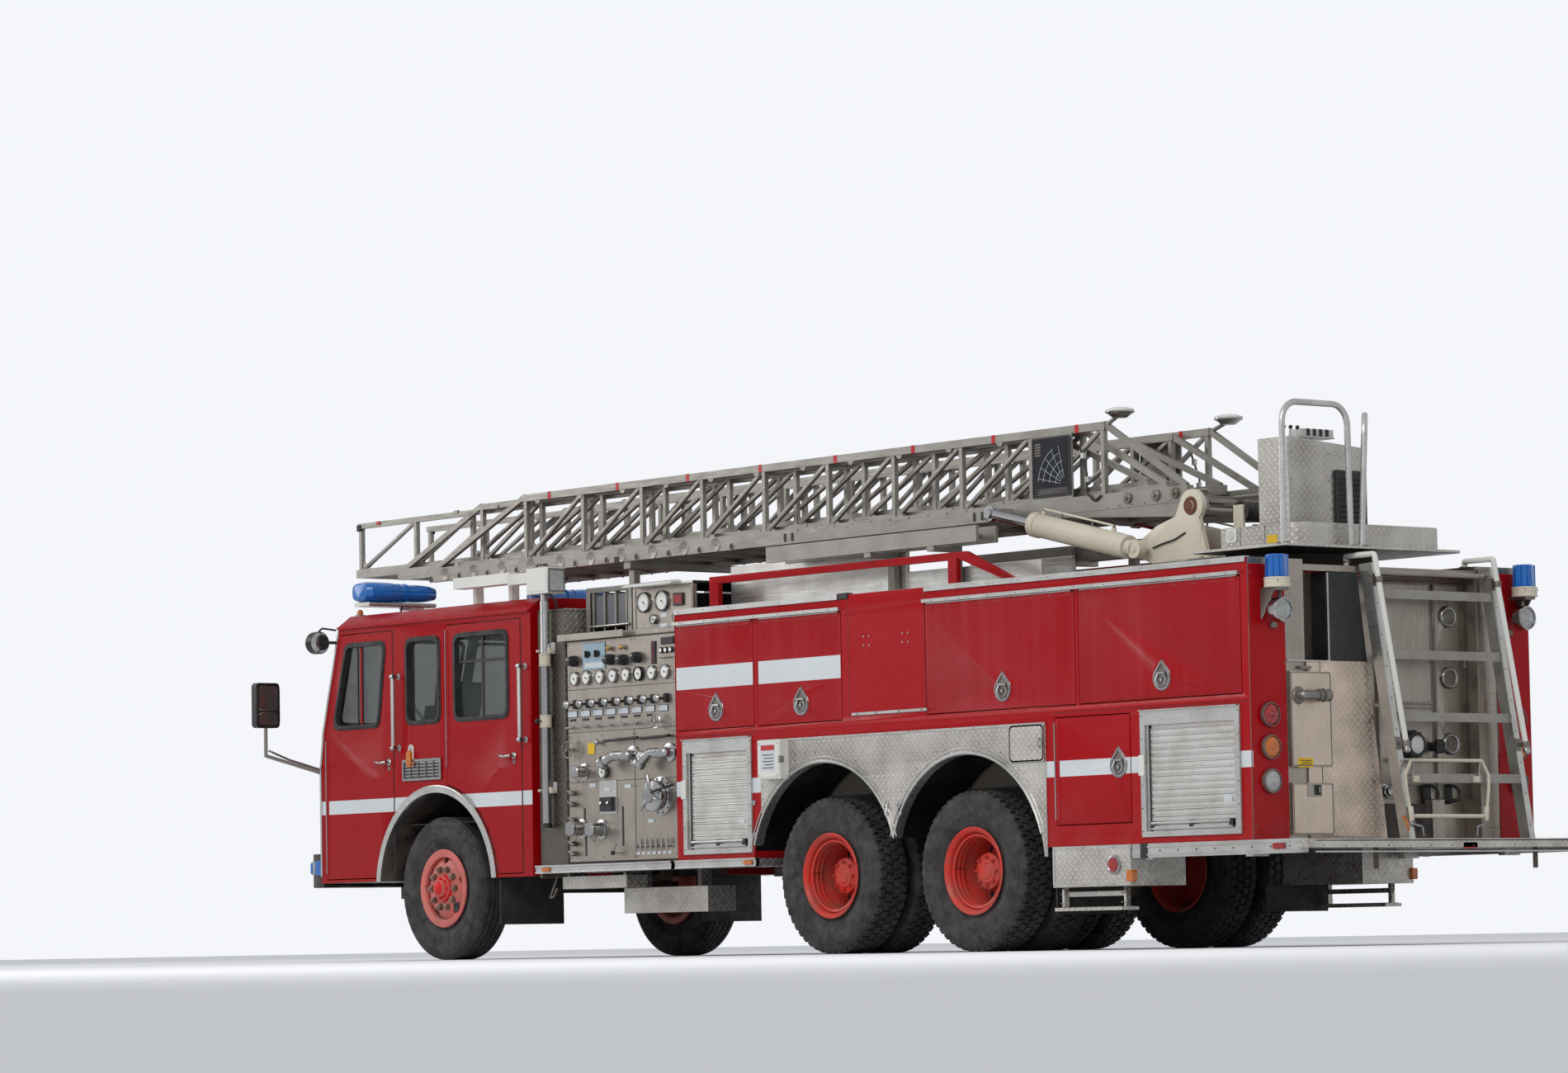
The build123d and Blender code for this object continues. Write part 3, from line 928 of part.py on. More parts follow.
add("hose_bed_walls", both(bed_sides + [red_frame]))
POST_X = (-390.0, -1040.0)
LADDER_SHELF_Z = 2690.0
posts = [joined([block(x - 34, x + 34, bank_in + 10, bank_in + 60, bz1 + FIT, 2790),
                 block(x - 34, x + 34, bank_in + 60, RACK_OUT + 30, LADDER_SHELF_Z - 34,
                       LADDER_SHELF_Z - FIT)])
         for x in POST_X]
# The cradle stands behind the cab roof, under the bedded ladder.
CRADLE_TOP_Z = LADDER_Z[0] - 14.0
cradle = [block(CRADLE_X - 40, CRADLE_X + 40, -560, 560, CRADLE_TOP_Z - 50, CRADLE_TOP_Z)]
cradle += both([block(CRADLE_X - 30, CRADLE_X + 30, 460, 520, PILLAR_TOP_Z + FIT, CRADLE_TOP_Z - 50 - FIT)])
add("ladder_posts", both(posts) + cradle)


def ground_ladder(x0, x1, y0, y1, z0, z1):
    """A ground ladder stowed flat: two rails and its rungs, each a body of its own."""
    rails = [block(x0, x1, y, y + 28, z0, z1) for y in (y0, y1 - 28)]
    count = int((x1 - x0 - 200) / RUNG_PITCH)
    rungs = [rod_y(x0 + 150 + i * RUNG_PITCH, (z0 + z1) / 2, 15, y0 + 28 + FIT,
                   y1 - 28 - FIT) for i in range(count + 1)]
    return rails + rungs


RACK_TOP_Z = 2800.0
add("ground_ladders", both(ground_ladder(-1500, 700, bank_in + 66, RACK_OUT + 24, LADDER_SHELF_Z,
                                         RACK_TOP_Z)))

# Mud flaps behind the front and the rear wheels.
FLAP_Y = (HALF_WIDTH - 610.0, HALF_WIDTH - 35.0)
flaps = [block(3600, 3612, *FLAP_Y, 250, CAB_Z0 - FIT), block(-2425, -2413, *FLAP_Y, 230, 400)]
flaps.append(block(-2440 + FIT, -2413, *FLAP_Y, 400, 420))
add("mud_flaps", both([flaps[0], joined(flaps[1:])]))

# Turntable: round platform, and the bracket plates that carry the heel pin.
table = rod_z(TABLE_X, 0, TABLE_R, *TABLE_Z)
LOBE_R = 108.0
lobe = [(HEEL_X + LOBE_R * math.cos(math.radians(a)),
         HEEL_Z + LOBE_R * math.sin(math.radians(a))) for a in range(40, 231, 19)]
BRACKET = [(HEEL_X - 150, TABLE_Z[1] + FIT), *reversed(lobe), (HEEL_X + 150, HEEL_Z - 60),
           (HEEL_X + 330, HEEL_Z - 110),
           (CYL_BASE_X + 70, 2640), (CYL_BASE_X + 70, 2520), (CYL_BASE_X - 40, TABLE_Z[1] + FIT)]
cheek = joined([plate(BRACKET, *BRACKET_Y), rod_y(HEEL_X, HEEL_Z, HEEL_PIN_R, BASE_HALF - 60,
                                                  BRACKET_Y[1] + 14),
                rod_y(CYL_BASE_X, CYL_BASE_Z, CYL_PIN_R, BRACKET_Y[0], CYL_Y + 40),
                block(HEEL_X - 150, CYL_BASE_X - 100, BRACKET_Y[0] - 60, BRACKET_Y[1], TABLE_Z[1] + FIT,
                      TABLE_Z[1] + 24)])
DRUM_X, DRUM_Z, DRUM_R = HEEL_X - 190.0, 2790.0, 58.0
drum = joined([rod_y(DRUM_X, DRUM_Z, DRUM_R, -300, 300), rod_y(DRUM_X, DRUM_Z, DRUM_R + 14, -90, 90)])
drum_stands = both([block(DRUM_X - 45, DRUM_X + 45, 300 + FIT, 322, TABLE_Z[1] + FIT, DRUM_Z + 40)])
add("turntable", [table, drum] + both([cheek]) + drum_stands)

# Turntable station: platform with its skirt, the control console and the rails round it.
PLATFORM_X = (-4260.0, -3420.0)
PLATFORM_Y = (-650.0, 900.0)
FLOOR_Z = TABLE_Z[1] + 20.0
SKIRT_TOP_Z = 2650.0
SKIRT_R = 120.0
SKIRT_X = (-4130.0, PLATFORM_X[1])
platform = block(*PLATFORM_X, *PLATFORM_Y, TABLE_Z[1] + FIT, FLOOR_Z)


def rounded_back(inset):
    """The skirt's outline from above: straight in front, rounded at both rear corners."""
    x0, x1 = SKIRT_X[0] + inset, SKIRT_X[1]
    half = -PLATFORM_Y[0] - inset
    face = make_face(Polyline((x1, -half), (x1, half), (x0, half), (x0, -half), close=True))
    return fillet(face.vertices().group_by(Axis.X)[0], SKIRT_R - inset)


skirt = extrude(rounded_back(0), SKIRT_TOP_Z - FLOOR_Z) - extrude(rounded_back(14), SKIRT_TOP_Z)
skirt = Pos(0, 0, FLOOR_Z + FIT) * skirt
CONSOLE_X = (-3990.0, -3720.0)
CONSOLE_Y = (-90.0, 600.0)
CONSOLE_TOP = (3150.0, 3200.0)
console = rear_plate([(CONSOLE_Y[0], FLOOR_Z + FIT), (CONSOLE_Y[1], FLOOR_Z + FIT),
                      (CONSOLE_Y[1], CONSOLE_TOP[1]),
                      (CONSOLE_Y[0], CONSOLE_TOP[0])], *CONSOLE_X)
louvre_box = block(CONSOLE_X[0] - 16, CONSOLE_X[0], -60, 190, 2570, 2990)
louvre_slats = [block(CONSOLE_X[0] - 26, CONSOLE_X[0] - 16, -40, 170, z, z + 14) for z in range(2600, 2970,
                                                                                                34)]
lamp_strip = block(-3920, -3800, 120, 400, 3215, 3262)
lamp_post = block(-3870, -3850, 250, 270, 3160, 3216)
HOOP_R = 20.0
HOOP_BEND = 130.0
HOOPS = (
    # outer foot, outer top, inner top, inner foot
    ((-4200, 860, FLOOR_Z), (-4200, 850, 3390), (-4200, 280, 3390), (-4200, 270, FLOOR_Z)),
    ((-4215, 190, FLOOR_Z), (-4240, 160, 3340), (-3800, -280, 3340), (-3770, -250, FLOOR_Z)),
)
hoops = [bent_tube(points, HOOP_R, HOOP_BEND) for points in HOOPS]
add("turntable_station", [platform, skirt, joined([console, louvre_box, lamp_strip,
                                                   lamp_post] + louvre_slats)] + hoops)


# Aerial ladder: three nested truss sections.
def truss(x_low, x_top, half, z_low, z_top, chord_h, top_h, rung_z, pads=()):
    """One ladder section: on each side chords, posts, diagonals and pads, and rungs between them."""
    x0, x1 = x_low
    t0, t1 = x_top
    mid_y = half - CHORD_W / 2
    z0, z1 = z_low + chord_h - 4, z_top - top_h + 4
    parts = [block(x0, x1, half - CHORD_W, half, z_low, z_low + chord_h),
             block(t0, t1, half - CHORD_W + 8, half - 8, z_top - top_h, z_top)]
    count = max(1, round((t1 - t0) / TRUSS_BAY))
    pitch = (t1 - t0 - 60) / count
    for i in range(count + 1):
        px = t0 + 30 + i * pitch
        parts.append(bar((px, mid_y, z0), (px, mid_y, z1), 34, 34))
        if i < count:
            parts.append(bar((px + 20, mid_y, z1), (px + pitch - 20, mid_y, z0), 26, 26))
            parts.append(plate([(px + pitch - 120, z0), (px + pitch, z0), (px + pitch, z0 + 80)], mid_y - 6,
                               mid_y + 6))
    parts.append(bar((x0 + 30, mid_y, z0), (t0 + 20, mid_y, z_top - 12), 34, 38))
    if x1 - t1 > 200:
        parts.append(bar((x1 - 60, mid_y, z0), (t1 - 20, mid_y, z_top - 12), 34, 38))
    for x, low, high in pads:
        parts.append(block(x, x + 90, half - CHORD_W - NEST_GAP + FIT, half - CHORD_W, low, high))
    count = int((x1 - x0 - 200) / RUNG_PITCH)
    rungs = [block(x, x + RUNG, -(half - CHORD_W - FIT), half - CHORD_W - FIT, rung_z, rung_z + RUNG)
             for x in (x0 + 120 + i * RUNG_PITCH for i in range(count + 1))]
    return parts, rungs


def add_section(name, parts, rungs):
    """A ladder section as two joined sides and the rungs between them."""
    add(name, both([joined(parts)]) + rungs)


lx0, lx1 = LADDER_BASE_X
lz0, lz1 = LADDER_Z
base_pads = [(x, lz0 + 64, lz0 + 96) for x in (lx1 - 200, lx1 - 1500, lx0 + 700)]
base_parts, base_rungs = truss((lx0, lx1), (-2180.0, 4250.0), BASE_HALF, lz0, lz1, BASE_CHORD_H, 52,
                               lz0 + 12, base_pads)
base_parts.append(block(-1865, -1465, BASE_HALF - 14, BASE_HALF - 2, lz0 + BASE_CHORD_H - 4, lz1 - 48))
BOWL_X, BOWL_Z, BOWL_R = -2330.0, 3478.0, 95.0
base_parts.append(tube((-2170, BASE_HALF - 30, lz1 - 26), (BOWL_X, BASE_HALF - 10, BOWL_Z + 6), 14))
bowl_outline = Polyline((0, -20), (BOWL_R * 0.5, -16), (BOWL_R, 22), (BOWL_R, 36), (BOWL_R * 0.6, 50),
                        (0, 56), close=True)
bowl = Pos(BOWL_X, BASE_HALF - 10, BOWL_Z) * revolve(make_face(Plane.XZ * bowl_outline), Axis.Z, 360)
base_parts.append(bowl)
add_section("ladder_base", base_parts, base_rungs)

# The ladder's heel: tapered side plates with bosses, the pin's lugs and the cross tubes.
HEEL_IN = BASE_HALF - 46.0
HEEL_PLATE = [(HEEL_X - 75, HEEL_Z - 30), (HEEL_X - 62, HEEL_Z + 40), (HEEL_X, HEEL_Z + 76),
              (lx0 - FIT, HEEL_Z + 60),
              (lx0 - FIT, lz0 - FIT), (lx0 + 1450, lz0 - FIT), (lx0 + 1400, lz0 - 14),
              (lx0 + 20, HEEL_Z - 62),
              (HEEL_X - 10, HEEL_Z - 76)]
heel_side = plate(HEEL_PLATE, HEEL_IN, BASE_HALF)
heel_side -= rod_y(HEEL_X, HEEL_Z, HEEL_PIN_R + FIT, HEEL_IN - 10, BASE_HALF + 10)
HEEL_TUBES = (
    # station, height, radius
    (lx0 + 24, HEEL_Z - 16, 22.0),
    (lx0 + 90, HEEL_Z - 10, 22.0),
)
heel_tubes = [rod_y(x, z, r, -HEEL_IN + FIT, HEEL_IN - FIT) for x, z, r in HEEL_TUBES]
eye_boss = rod_y(CYL_EYE_X, CYL_EYE_Z, CYL_PIN_R + 18, BASE_HALF + FIT, CYL_Y - ROD_R - RUN_GAP)
BOSSES = (lx0 + 110.0, lx0 + 290.0, lx0 + 560.0)
bosses = [rod_y(x, lz0 + 58, 30, BASE_HALF + FIT, BASE_HALF + 11) for x in BOSSES]
add("ladder_heel", both([heel_side, eye_boss] + bosses) + heel_tubes)

mid_half = BASE_HALF - CHORD_W - NEST_GAP
mz0 = lz0 + STEP_UP
mid_pads = [(x, mz0 + 58, mz0 + 82) for x in (MID_TIP_X - 200, MID_TIP_X - 1500, lx0 + 900)]
add_section("ladder_mid", *truss((lx0 + 260, MID_TIP_X), (-1900.0, 4900.0), mid_half, mz0, lz1 - 20, 84, 44,
                                 mz0 + 8,
                                 mid_pads))

fly_half = mid_half - CHORD_W - NEST_GAP
fz0 = lz0 + 2 * STEP_UP + 6
fly_parts, fly_rungs = truss((lx0 + 520, LADDER_TIP_X - 20), (-1600.0, LADDER_TIP_X - 10), fly_half, fz0,
                             lz1 - 45,
                             66, 40, fz0 + 4)
fly_parts.append(block(LADDER_TIP_X - 60, LADDER_TIP_X, fly_half - CHORD_W, fly_half, fz0, fz0 + 60))
fly_tip = block(LADDER_TIP_X - 60, LADDER_TIP_X, -(fly_half - CHORD_W - FIT), fly_half - CHORD_W - FIT, fz0,
                fz0 + 60)
add_section("ladder_fly", fly_parts, fly_rungs + [fly_tip])

# Lift cylinders: barrels on the turntable's pins and rods that end at the ladder's pins.
eye_run = Vector(CYL_EYE_X - CYL_BASE_X, 0, CYL_EYE_Z - CYL_BASE_Z)
along = eye_run.normalized()


def on_cylinder(distance, y):
    """A point on a cylinder's centre line, measured from its base pin."""
    return (CYL_BASE_X + along.X * distance, y, CYL_BASE_Z + along.Z * distance)


BARREL_LEN = 1010.0
barrels, rods = [], []
for s in (-1, 1):
    y = s * CYL_Y
    shell = joined([tube(on_cylinder(75, y), on_cylinder(BARREL_LEN, y), CYL_R),
                    tube(on_cylinder(BARREL_LEN - 60, y), on_cylinder(BARREL_LEN, y), CYL_R + CYL_COLLAR),
                    rod_y(CYL_BASE_X, CYL_BASE_Z, 60, y - 30, y + 30),
                    tube(on_cylinder(30, y), on_cylinder(90, y), 50)])
    shell -= rod_y(CYL_BASE_X, CYL_BASE_Z, CYL_PIN_R + FIT, y - 60, y + 60)
    shell -= tube(on_cylinder(140, y), on_cylinder(BARREL_LEN + 10, y), ROD_R + FIT)
    barrels.append(shell)
    rod = joined([tube(on_cylinder(150, y), on_cylinder(eye_run.length - ROD_EYE_R + 14, y), ROD_R),
                  rod_y(CYL_EYE_X, CYL_EYE_Z, ROD_EYE_R, y - ROD_EYE_HALF, y + ROD_EYE_HALF),
                  rod_y(CYL_EYE_X, CYL_EYE_Z, CYL_PIN_R + 10, y - s * 10, y + s * (ROD_EYE_HALF + 16))])
    rods.append(rod)
add("lift_cylinder_barrels", barrels)
add("lift_cylinder_rods", rods)

os.makedirs("parts", exist_ok=True)
for name, shape in NODES.items():
    export_step(shape, f"parts/{name}.step")
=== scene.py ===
# The looks of a three-axle fire engine with a rear-mounted aerial ladder, built round its packed
# CAD frame. Metres. +X is forward, +Y is the vehicle's left, +Z is up.

import json
import logging
import math
from collections.abc import Callable, Iterable, Sequence
from dataclasses import dataclass, field
from enum import Enum

import bmesh
import bpy
from mathutils import Matrix, Vector

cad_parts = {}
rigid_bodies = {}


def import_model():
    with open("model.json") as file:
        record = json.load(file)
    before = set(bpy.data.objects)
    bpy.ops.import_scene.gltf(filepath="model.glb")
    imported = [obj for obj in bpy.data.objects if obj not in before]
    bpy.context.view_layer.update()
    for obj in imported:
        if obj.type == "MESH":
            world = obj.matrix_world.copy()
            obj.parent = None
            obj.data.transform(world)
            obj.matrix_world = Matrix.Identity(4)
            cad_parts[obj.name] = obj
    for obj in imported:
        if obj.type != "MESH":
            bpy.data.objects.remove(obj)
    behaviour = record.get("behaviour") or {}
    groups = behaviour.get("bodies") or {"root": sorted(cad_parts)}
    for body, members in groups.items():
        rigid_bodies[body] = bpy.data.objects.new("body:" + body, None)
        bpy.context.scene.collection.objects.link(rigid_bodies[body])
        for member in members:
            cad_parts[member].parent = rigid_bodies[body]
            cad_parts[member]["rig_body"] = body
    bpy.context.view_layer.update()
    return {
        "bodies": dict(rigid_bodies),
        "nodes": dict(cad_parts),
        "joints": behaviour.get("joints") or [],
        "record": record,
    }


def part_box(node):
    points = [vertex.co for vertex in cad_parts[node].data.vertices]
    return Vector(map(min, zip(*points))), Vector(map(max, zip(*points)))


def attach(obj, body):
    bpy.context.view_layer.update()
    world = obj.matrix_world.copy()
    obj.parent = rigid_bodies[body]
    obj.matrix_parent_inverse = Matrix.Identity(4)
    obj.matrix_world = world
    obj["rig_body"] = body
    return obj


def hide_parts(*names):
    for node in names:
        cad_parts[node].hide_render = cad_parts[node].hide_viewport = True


Point = tuple[float, float, float]
Colour = tuple[float, float, float]

LOG = logging.getLogger("fire_engine")
STATION_SHIFT = -0.935
TYRE_RADIUS = 0.525
WINDOW_FOOT, WINDOW_HEAD = 1.752, 2.372
FAR = 9.0
X, Y, Z = range(3)
OUT, AFT, UP = (0, 1, 0), (-1, 0, 0), (0, 0, 1)
SHARP_ANGLE = math.radians(30)


def stn(x: float) -> float:
    """The frame's x for a station along the vehicle, both in metres."""
    return x + STATION_SHIFT


def srgb(red: int, green: int, blue: int) -> Colour:
    """A colour written as it looks on a screen, made linear.

    Args:
        red: 0 to 255.
        green: 0 to 255.
        blue: 0 to 255.

    Returns:
        The same colour in linear light.
    """
    def linear(value: int) -> float:
        """One channel in linear light."""
        share = value / 255
        return share / 12.92 if share <= 0.04045 else ((share + 0.055) / 1.055) ** 2.4
    return (linear(red), linear(green), linear(blue))


class Side(Enum):
    """Which side of the vehicle a piece is on; the value is the sign of y."""

    LEFT = 1
    RIGHT = -1

    @property
    def word(self) -> str:
        """The side's name as the CAD nodes and bodies write it."""
        return self.name.lower()


class View(Enum):
    """The plane that an outline is drawn in."""

    SIDE = "xz"
    REAR = "yz"
    TOP = "xy"

    def at(self, a: float, b: float, depth: float) -> Vector:
        """The point at (a, b) of the plane, depth along its normal."""
        if self is View.SIDE:
            return Vector((a, depth, b))
        if self is View.REAR:
            return Vector((depth, a, b))
        return Vector((a, b, depth))


class Graph:
    """A material's node tree with short calls for the patterns that the finishes share."""

    def __init__(self, name: str) -> None:
        """Starts a material with an empty Principled shader."""
        self.material = bpy.data.materials.new(name)
        self.material.use_nodes = True
        self.tree = self.material.node_tree
        self.shader = self.tree.nodes["Principled BSDF"]
        self.coordinates = self.tree.nodes.new("ShaderNodeTexCoord").outputs["Object"]

    def set(self, **values: float | Colour) -> None:
        """Sets constants on the shader's own sockets; a name's underscores stand for spaces."""
        for name, value in values.items():
            socket = self.shader.inputs[name.replace("_", " ")]
            socket.default_value = (*value, 1.0) if isinstance(value, tuple) else value

    def link(self, source: bpy.types.NodeSocket, name: str) -> None:
        """Feeds one of the shader's sockets."""
        self.tree.links.new(source, self.shader.inputs[name])

    def place(self, stretch: Point, shift: Point = (0.0, 0.0, 0.0)) -> bpy.types.NodeSocket:
        """Object coordinates, stretched and moved."""
        node = self.tree.nodes.new("ShaderNodeMapping")
        node.inputs["Scale"].default_value = stretch
        node.inputs["Location"].default_value = shift
        self.tree.links.new(self.coordinates, node.inputs["Vector"])
        return node.outputs["Vector"]

    def noise(self, scale: float, detail: float = 4.0,
              stretch: Point = (1.0, 1.0, 1.0)) -> bpy.types.NodeSocket:
        """Cloudy noise, scale in features per metre."""
        node = self.tree.nodes.new("ShaderNodeTexNoise")
        node.inputs["Scale"].default_value = scale
        node.inputs["Detail"].default_value = detail
        self.tree.links.new(self.place(stretch), node.inputs["Vector"])
        return node.outputs["Fac"]

    def math(self, kind: str, a: bpy.types.NodeSocket | float, b: bpy.types.NodeSocket | float = 0.0,
             clamp: bool = False) -> bpy.types.NodeSocket:
        """One Math node."""
        node = self.tree.nodes.new("ShaderNodeMath")
        node.operation = kind
        node.use_clamp = clamp
        for socket, value in zip(node.inputs, (a, b)):
            if isinstance(value, (int, float)):
                socket.default_value = value
            else:
                self.tree.links.new(value, socket)
        return node.outputs[0]

    def ramp(self, source: bpy.types.NodeSocket, low: float, high: float, start: float = 0.0,
             stop: float = 1.0) -> bpy.types.NodeSocket:
        """Maps a value from low..high to start..stop, clamped."""
        node = self.tree.nodes.new("ShaderNodeMapRange")
        for name, value in (("From Min", low), ("From Max", high), ("To Min", start), ("To Max", stop)):
            node.inputs[name].default_value = value
        self.tree.links.new(source, node.inputs["Value"])
        return node.outputs["Result"]

    def mix(self, share: bpy.types.NodeSocket | float, a: bpy.types.NodeSocket | Colour,
            b: bpy.types.NodeSocket | Colour) -> bpy.types.NodeSocket:
        """Mixes two colours."""
        node = self.tree.nodes.new("ShaderNodeMix")
        node.data_type = "RGBA"
        for index, value in ((0, share), (6, a), (7, b)):
            socket = node.inputs[index]
            if isinstance(value, bpy.types.NodeSocket):
                self.tree.links.new(value, socket)
            elif isinstance(value, tuple):
                socket.default_value = (*value, 1.0)
            else:
                socket.default_value = value
        return node.outputs[2]

    def axis(self, name: str) -> bpy.types.NodeSocket:
        """One of the three Object coordinates."""
        node = self.tree.nodes.new("ShaderNodeSeparateXYZ")
        self.tree.links.new(self.coordinates, node.inputs[0])
        return node.outputs[name.upper()]

    def bump(self, height: bpy.types.NodeSocket, strength: float, distance: float) -> None:
        """Raises the surface by a pattern, distance in metres; bumps add up."""
        node = self.tree.nodes.new("ShaderNodeBump")
        node.inputs["Strength"].default_value = strength
        node.inputs["Distance"].default_value = distance
        self.tree.links.new(height, node.inputs["Height"])
        old = self.shader.inputs["Normal"].links
        if old:
            self.tree.links.new(old[0].from_socket, node.inputs["Normal"])
        self.link(node.outputs["Normal"], "Normal")

    def lozenges(self, axes: str, pitch: float) -> bpy.types.NodeSocket:
        """Tread plate's raised lozenges, crossing at right angles, pitch in metres."""
        a, b = (self.axis(name) for name in axes)
        scale = 1 / pitch
        u = self.math("MULTIPLY", self.math("ADD", a, b), scale * 0.7071)
        v = self.math("MULTIPLY", self.math("SUBTRACT", a, b), scale * 0.7071)
        cell = self.math("ADD", self.math("FLOOR", u), self.math("FLOOR", v))
        odd = self.math("GREATER_THAN", self.math("FLOORED_MODULO", cell, 2.0), 0.5)
        du = self.math("SUBTRACT", self.math("FRACT", u), 0.5)
        dv = self.math("SUBTRACT", self.math("FRACT", v), 0.5)
        bars = []
        for first, second in ((du, dv), (dv, du)):
            long = self.math("POWER", self.math("MULTIPLY", first, 2.05), 2.0)
            wide = self.math("POWER", self.math("MULTIPLY", second, 6.5), 2.0)
            bars.append(self.math("SUBTRACT", 1.0, self.math("ADD", long, wide), clamp=True))
        even = self.math("SUBTRACT", 1.0, odd)
        both = self.math("ADD", self.math("MULTIPLY", bars[0], odd), self.math("MULTIPLY", bars[1], even))
        return self.math("POWER", both, 0.5)


class Finish:
    """A surface's look; its material is made once, when a piece first asks for it."""

    made: dict[str, bpy.types.Material] = {}

    def material(self) -> bpy.types.Material:
        """This finish's material."""
        name = self.name
        if name not in Finish.made:
            graph = Graph(name)
            self.draw(graph)
            Finish.made[name] = graph.material
        return Finish.made[name]

    def draw(self, graph: Graph) -> None:
        """Draws the finish on a material's node tree."""
        raise NotImplementedError


@dataclass(frozen=True)
class Paint(Finish):
    """Gloss paint on sheet metal, with clouding, road film near the sill and run marks."""

    name: str
    slot: str
    colour: Colour
    worn: Colour
    roughness: float = 0.3
    coat: float = 0.08
    clouds: float = 0.35
    runs: float = 0.0
    film: float = 0.35
    film_top: float = 1.3
    dents: float = 0.0006

    def draw(self, graph: Graph) -> None:
        """Clouds, vertical run marks, a film that thickens downwards, and shallow dents."""
        graph.set(Coat_Weight=self.coat, Coat_Roughness=0.12, Specular_IOR_Level=0.12)
        cloud = graph.ramp(graph.noise(1.6, 5.0), 0.38, 0.68, 0.0, self.clouds)
        tone = graph.mix(cloud, self.colour, self.worn)
        speck = graph.ramp(graph.noise(60.0, 3.0), 0.62, 0.72, 0.0, 0.25)
        tone = graph.mix(speck, tone, self.worn)
        if self.runs:
            streak = graph.noise(9.0, 5.0, (1.0, 1.0, 0.035))
            fine = graph.noise(34.0, 4.0, (1.0, 1.0, 0.05))
            marks = graph.math("ADD", graph.ramp(streak, 0.47, 0.66), graph.ramp(fine, 0.52, 0.7, 0.0, 0.5))
            tone = graph.mix(graph.math("MULTIPLY", marks, self.runs, clamp=True), tone, self.worn)
        low = graph.ramp(graph.axis("z"), self.film_top, 0.45)
        dust = graph.math("MULTIPLY", low, graph.ramp(graph.noise(7.0, 6.0), 0.32, 0.7))
        tone = graph.mix(graph.math("MULTIPLY", dust, self.film), tone, srgb(112, 98, 86))
        graph.link(tone, "Base Color")
        graph.link(graph.ramp(graph.noise(11.0, 5.0), 0.3, 0.7, self.roughness * 0.75, self.roughness * 1.5),
                   "Roughness")
        graph.bump(graph.noise(3.2, 2.0), 0.6, self.dents)
        graph.bump(graph.noise(240.0, 2.0), 0.15, 0.0002)


@dataclass(frozen=True)
class Metal(Finish):
    """Bare or plated metal, brushed along one axis, with stains."""

    name: str
    slot: str
    colour: Colour
    stain: Colour
    roughness: float = 0.3
    metallic: float = 1.0
    brushed: Point = (1.0, 1.0, 1.0)
    stains: float = 0.4
    grain: float = 0.00015

    def draw(self, graph: Graph) -> None:
        """Brush marks in the roughness, stains in the colour."""
        graph.set(Metallic=self.metallic)
        brush = graph.noise(90.0, 4.0, self.brushed)
        patch = graph.ramp(graph.noise(5.0, 6.0), 0.42, 0.72, 0.0, self.stains)
        spots = graph.ramp(graph.noise(38.0, 4.0), 0.6, 0.72, 0.0, self.stains)
        tone = graph.mix(patch, self.colour, self.stain)
        tone = graph.mix(spots, tone, self.stain)
        graph.link(tone, "Base Color")
        graph.link(graph.ramp(brush, 0.3, 0.7, self.roughness * 0.7, self.roughness * 1.35), "Roughness")
        graph.bump(brush, 0.3, self.grain)


@dataclass(frozen=True)
class TreadPlate(Finish):
    """Aluminium tread plate with raised lozenges, read in the plane that it lies in."""

    name: str
    slot: str
    axes: str
    pitch: float = 0.036
    colour: Colour = srgb(204, 200, 193)

    def draw(self, graph: Graph) -> None:
        """Lozenges as bump; dirt lies between them."""
        graph.set(Metallic=0.85)
        bars = graph.lozenges(self.axes, self.pitch)
        grime = graph.math("MULTIPLY", graph.math("SUBTRACT", 1.0, bars),
                           graph.ramp(graph.noise(4.0, 6.0), 0.3, 0.75))
        tone = graph.mix(graph.math("MULTIPLY", grime, 0.6), self.colour, srgb(110, 102, 92))
        graph.link(tone, "Base Color")
        graph.link(graph.ramp(graph.noise(30.0, 4.0), 0.3, 0.7, 0.24, 0.5), "Roughness")
        graph.bump(bars, 0.9, 0.003)


@dataclass(frozen=True)
class Rubber(Finish):
    """Rubber, black plastic or vinyl: dark, faintly dusty, lightly grained."""

    name: str
    slot: str
    colour: Colour = srgb(28, 28, 29)
    dust: Colour = srgb(92, 86, 80)
    dusty: float = 0.3
    roughness: float = 0.65
    grain_scale: float = 300.0
    grain: float = 0.0003

    def draw(self, graph: Graph) -> None:
        """Dust in clouds over a fine grain."""
        cloud = graph.ramp(graph.noise(9.0, 6.0), 0.36, 0.75, 0.0, self.dusty)
        graph.link(graph.mix(cloud, self.colour, self.dust), "Base Color")
        graph.link(graph.ramp(graph.noise(22.0, 3.0), 0.3, 0.7, self.roughness * 0.8,
                              min(1.0, self.roughness * 1.25)), "Roughness")
        graph.bump(graph.noise(self.grain_scale, 3.0), 0.4, self.grain)


@dataclass(frozen=True)
class Glass(Finish):
    """Window glass: smooth, tinted and see-through, with a dusty film."""

    name: str
    slot: str
    tint: Colour = srgb(24, 33, 32)
    roughness: float = 0.05
    cover: float = 0.45

    def draw(self, graph: Graph) -> None:
        """A pane that covers part of what lies behind it, with a faint film."""
        graph.set(Alpha=self.cover, IOR=1.45)
        graph.link(graph.ramp(graph.noise(6.0, 5.0), 0.4, 0.7, self.roughness, self.roughness + 0.05),
                   "Roughness")
        graph.link(graph.mix(graph.ramp(graph.noise(3.0, 4.0), 0.35, 0.7, 0.0, 0.35), self.tint,
                             srgb(96, 104, 102)), "Base Color")


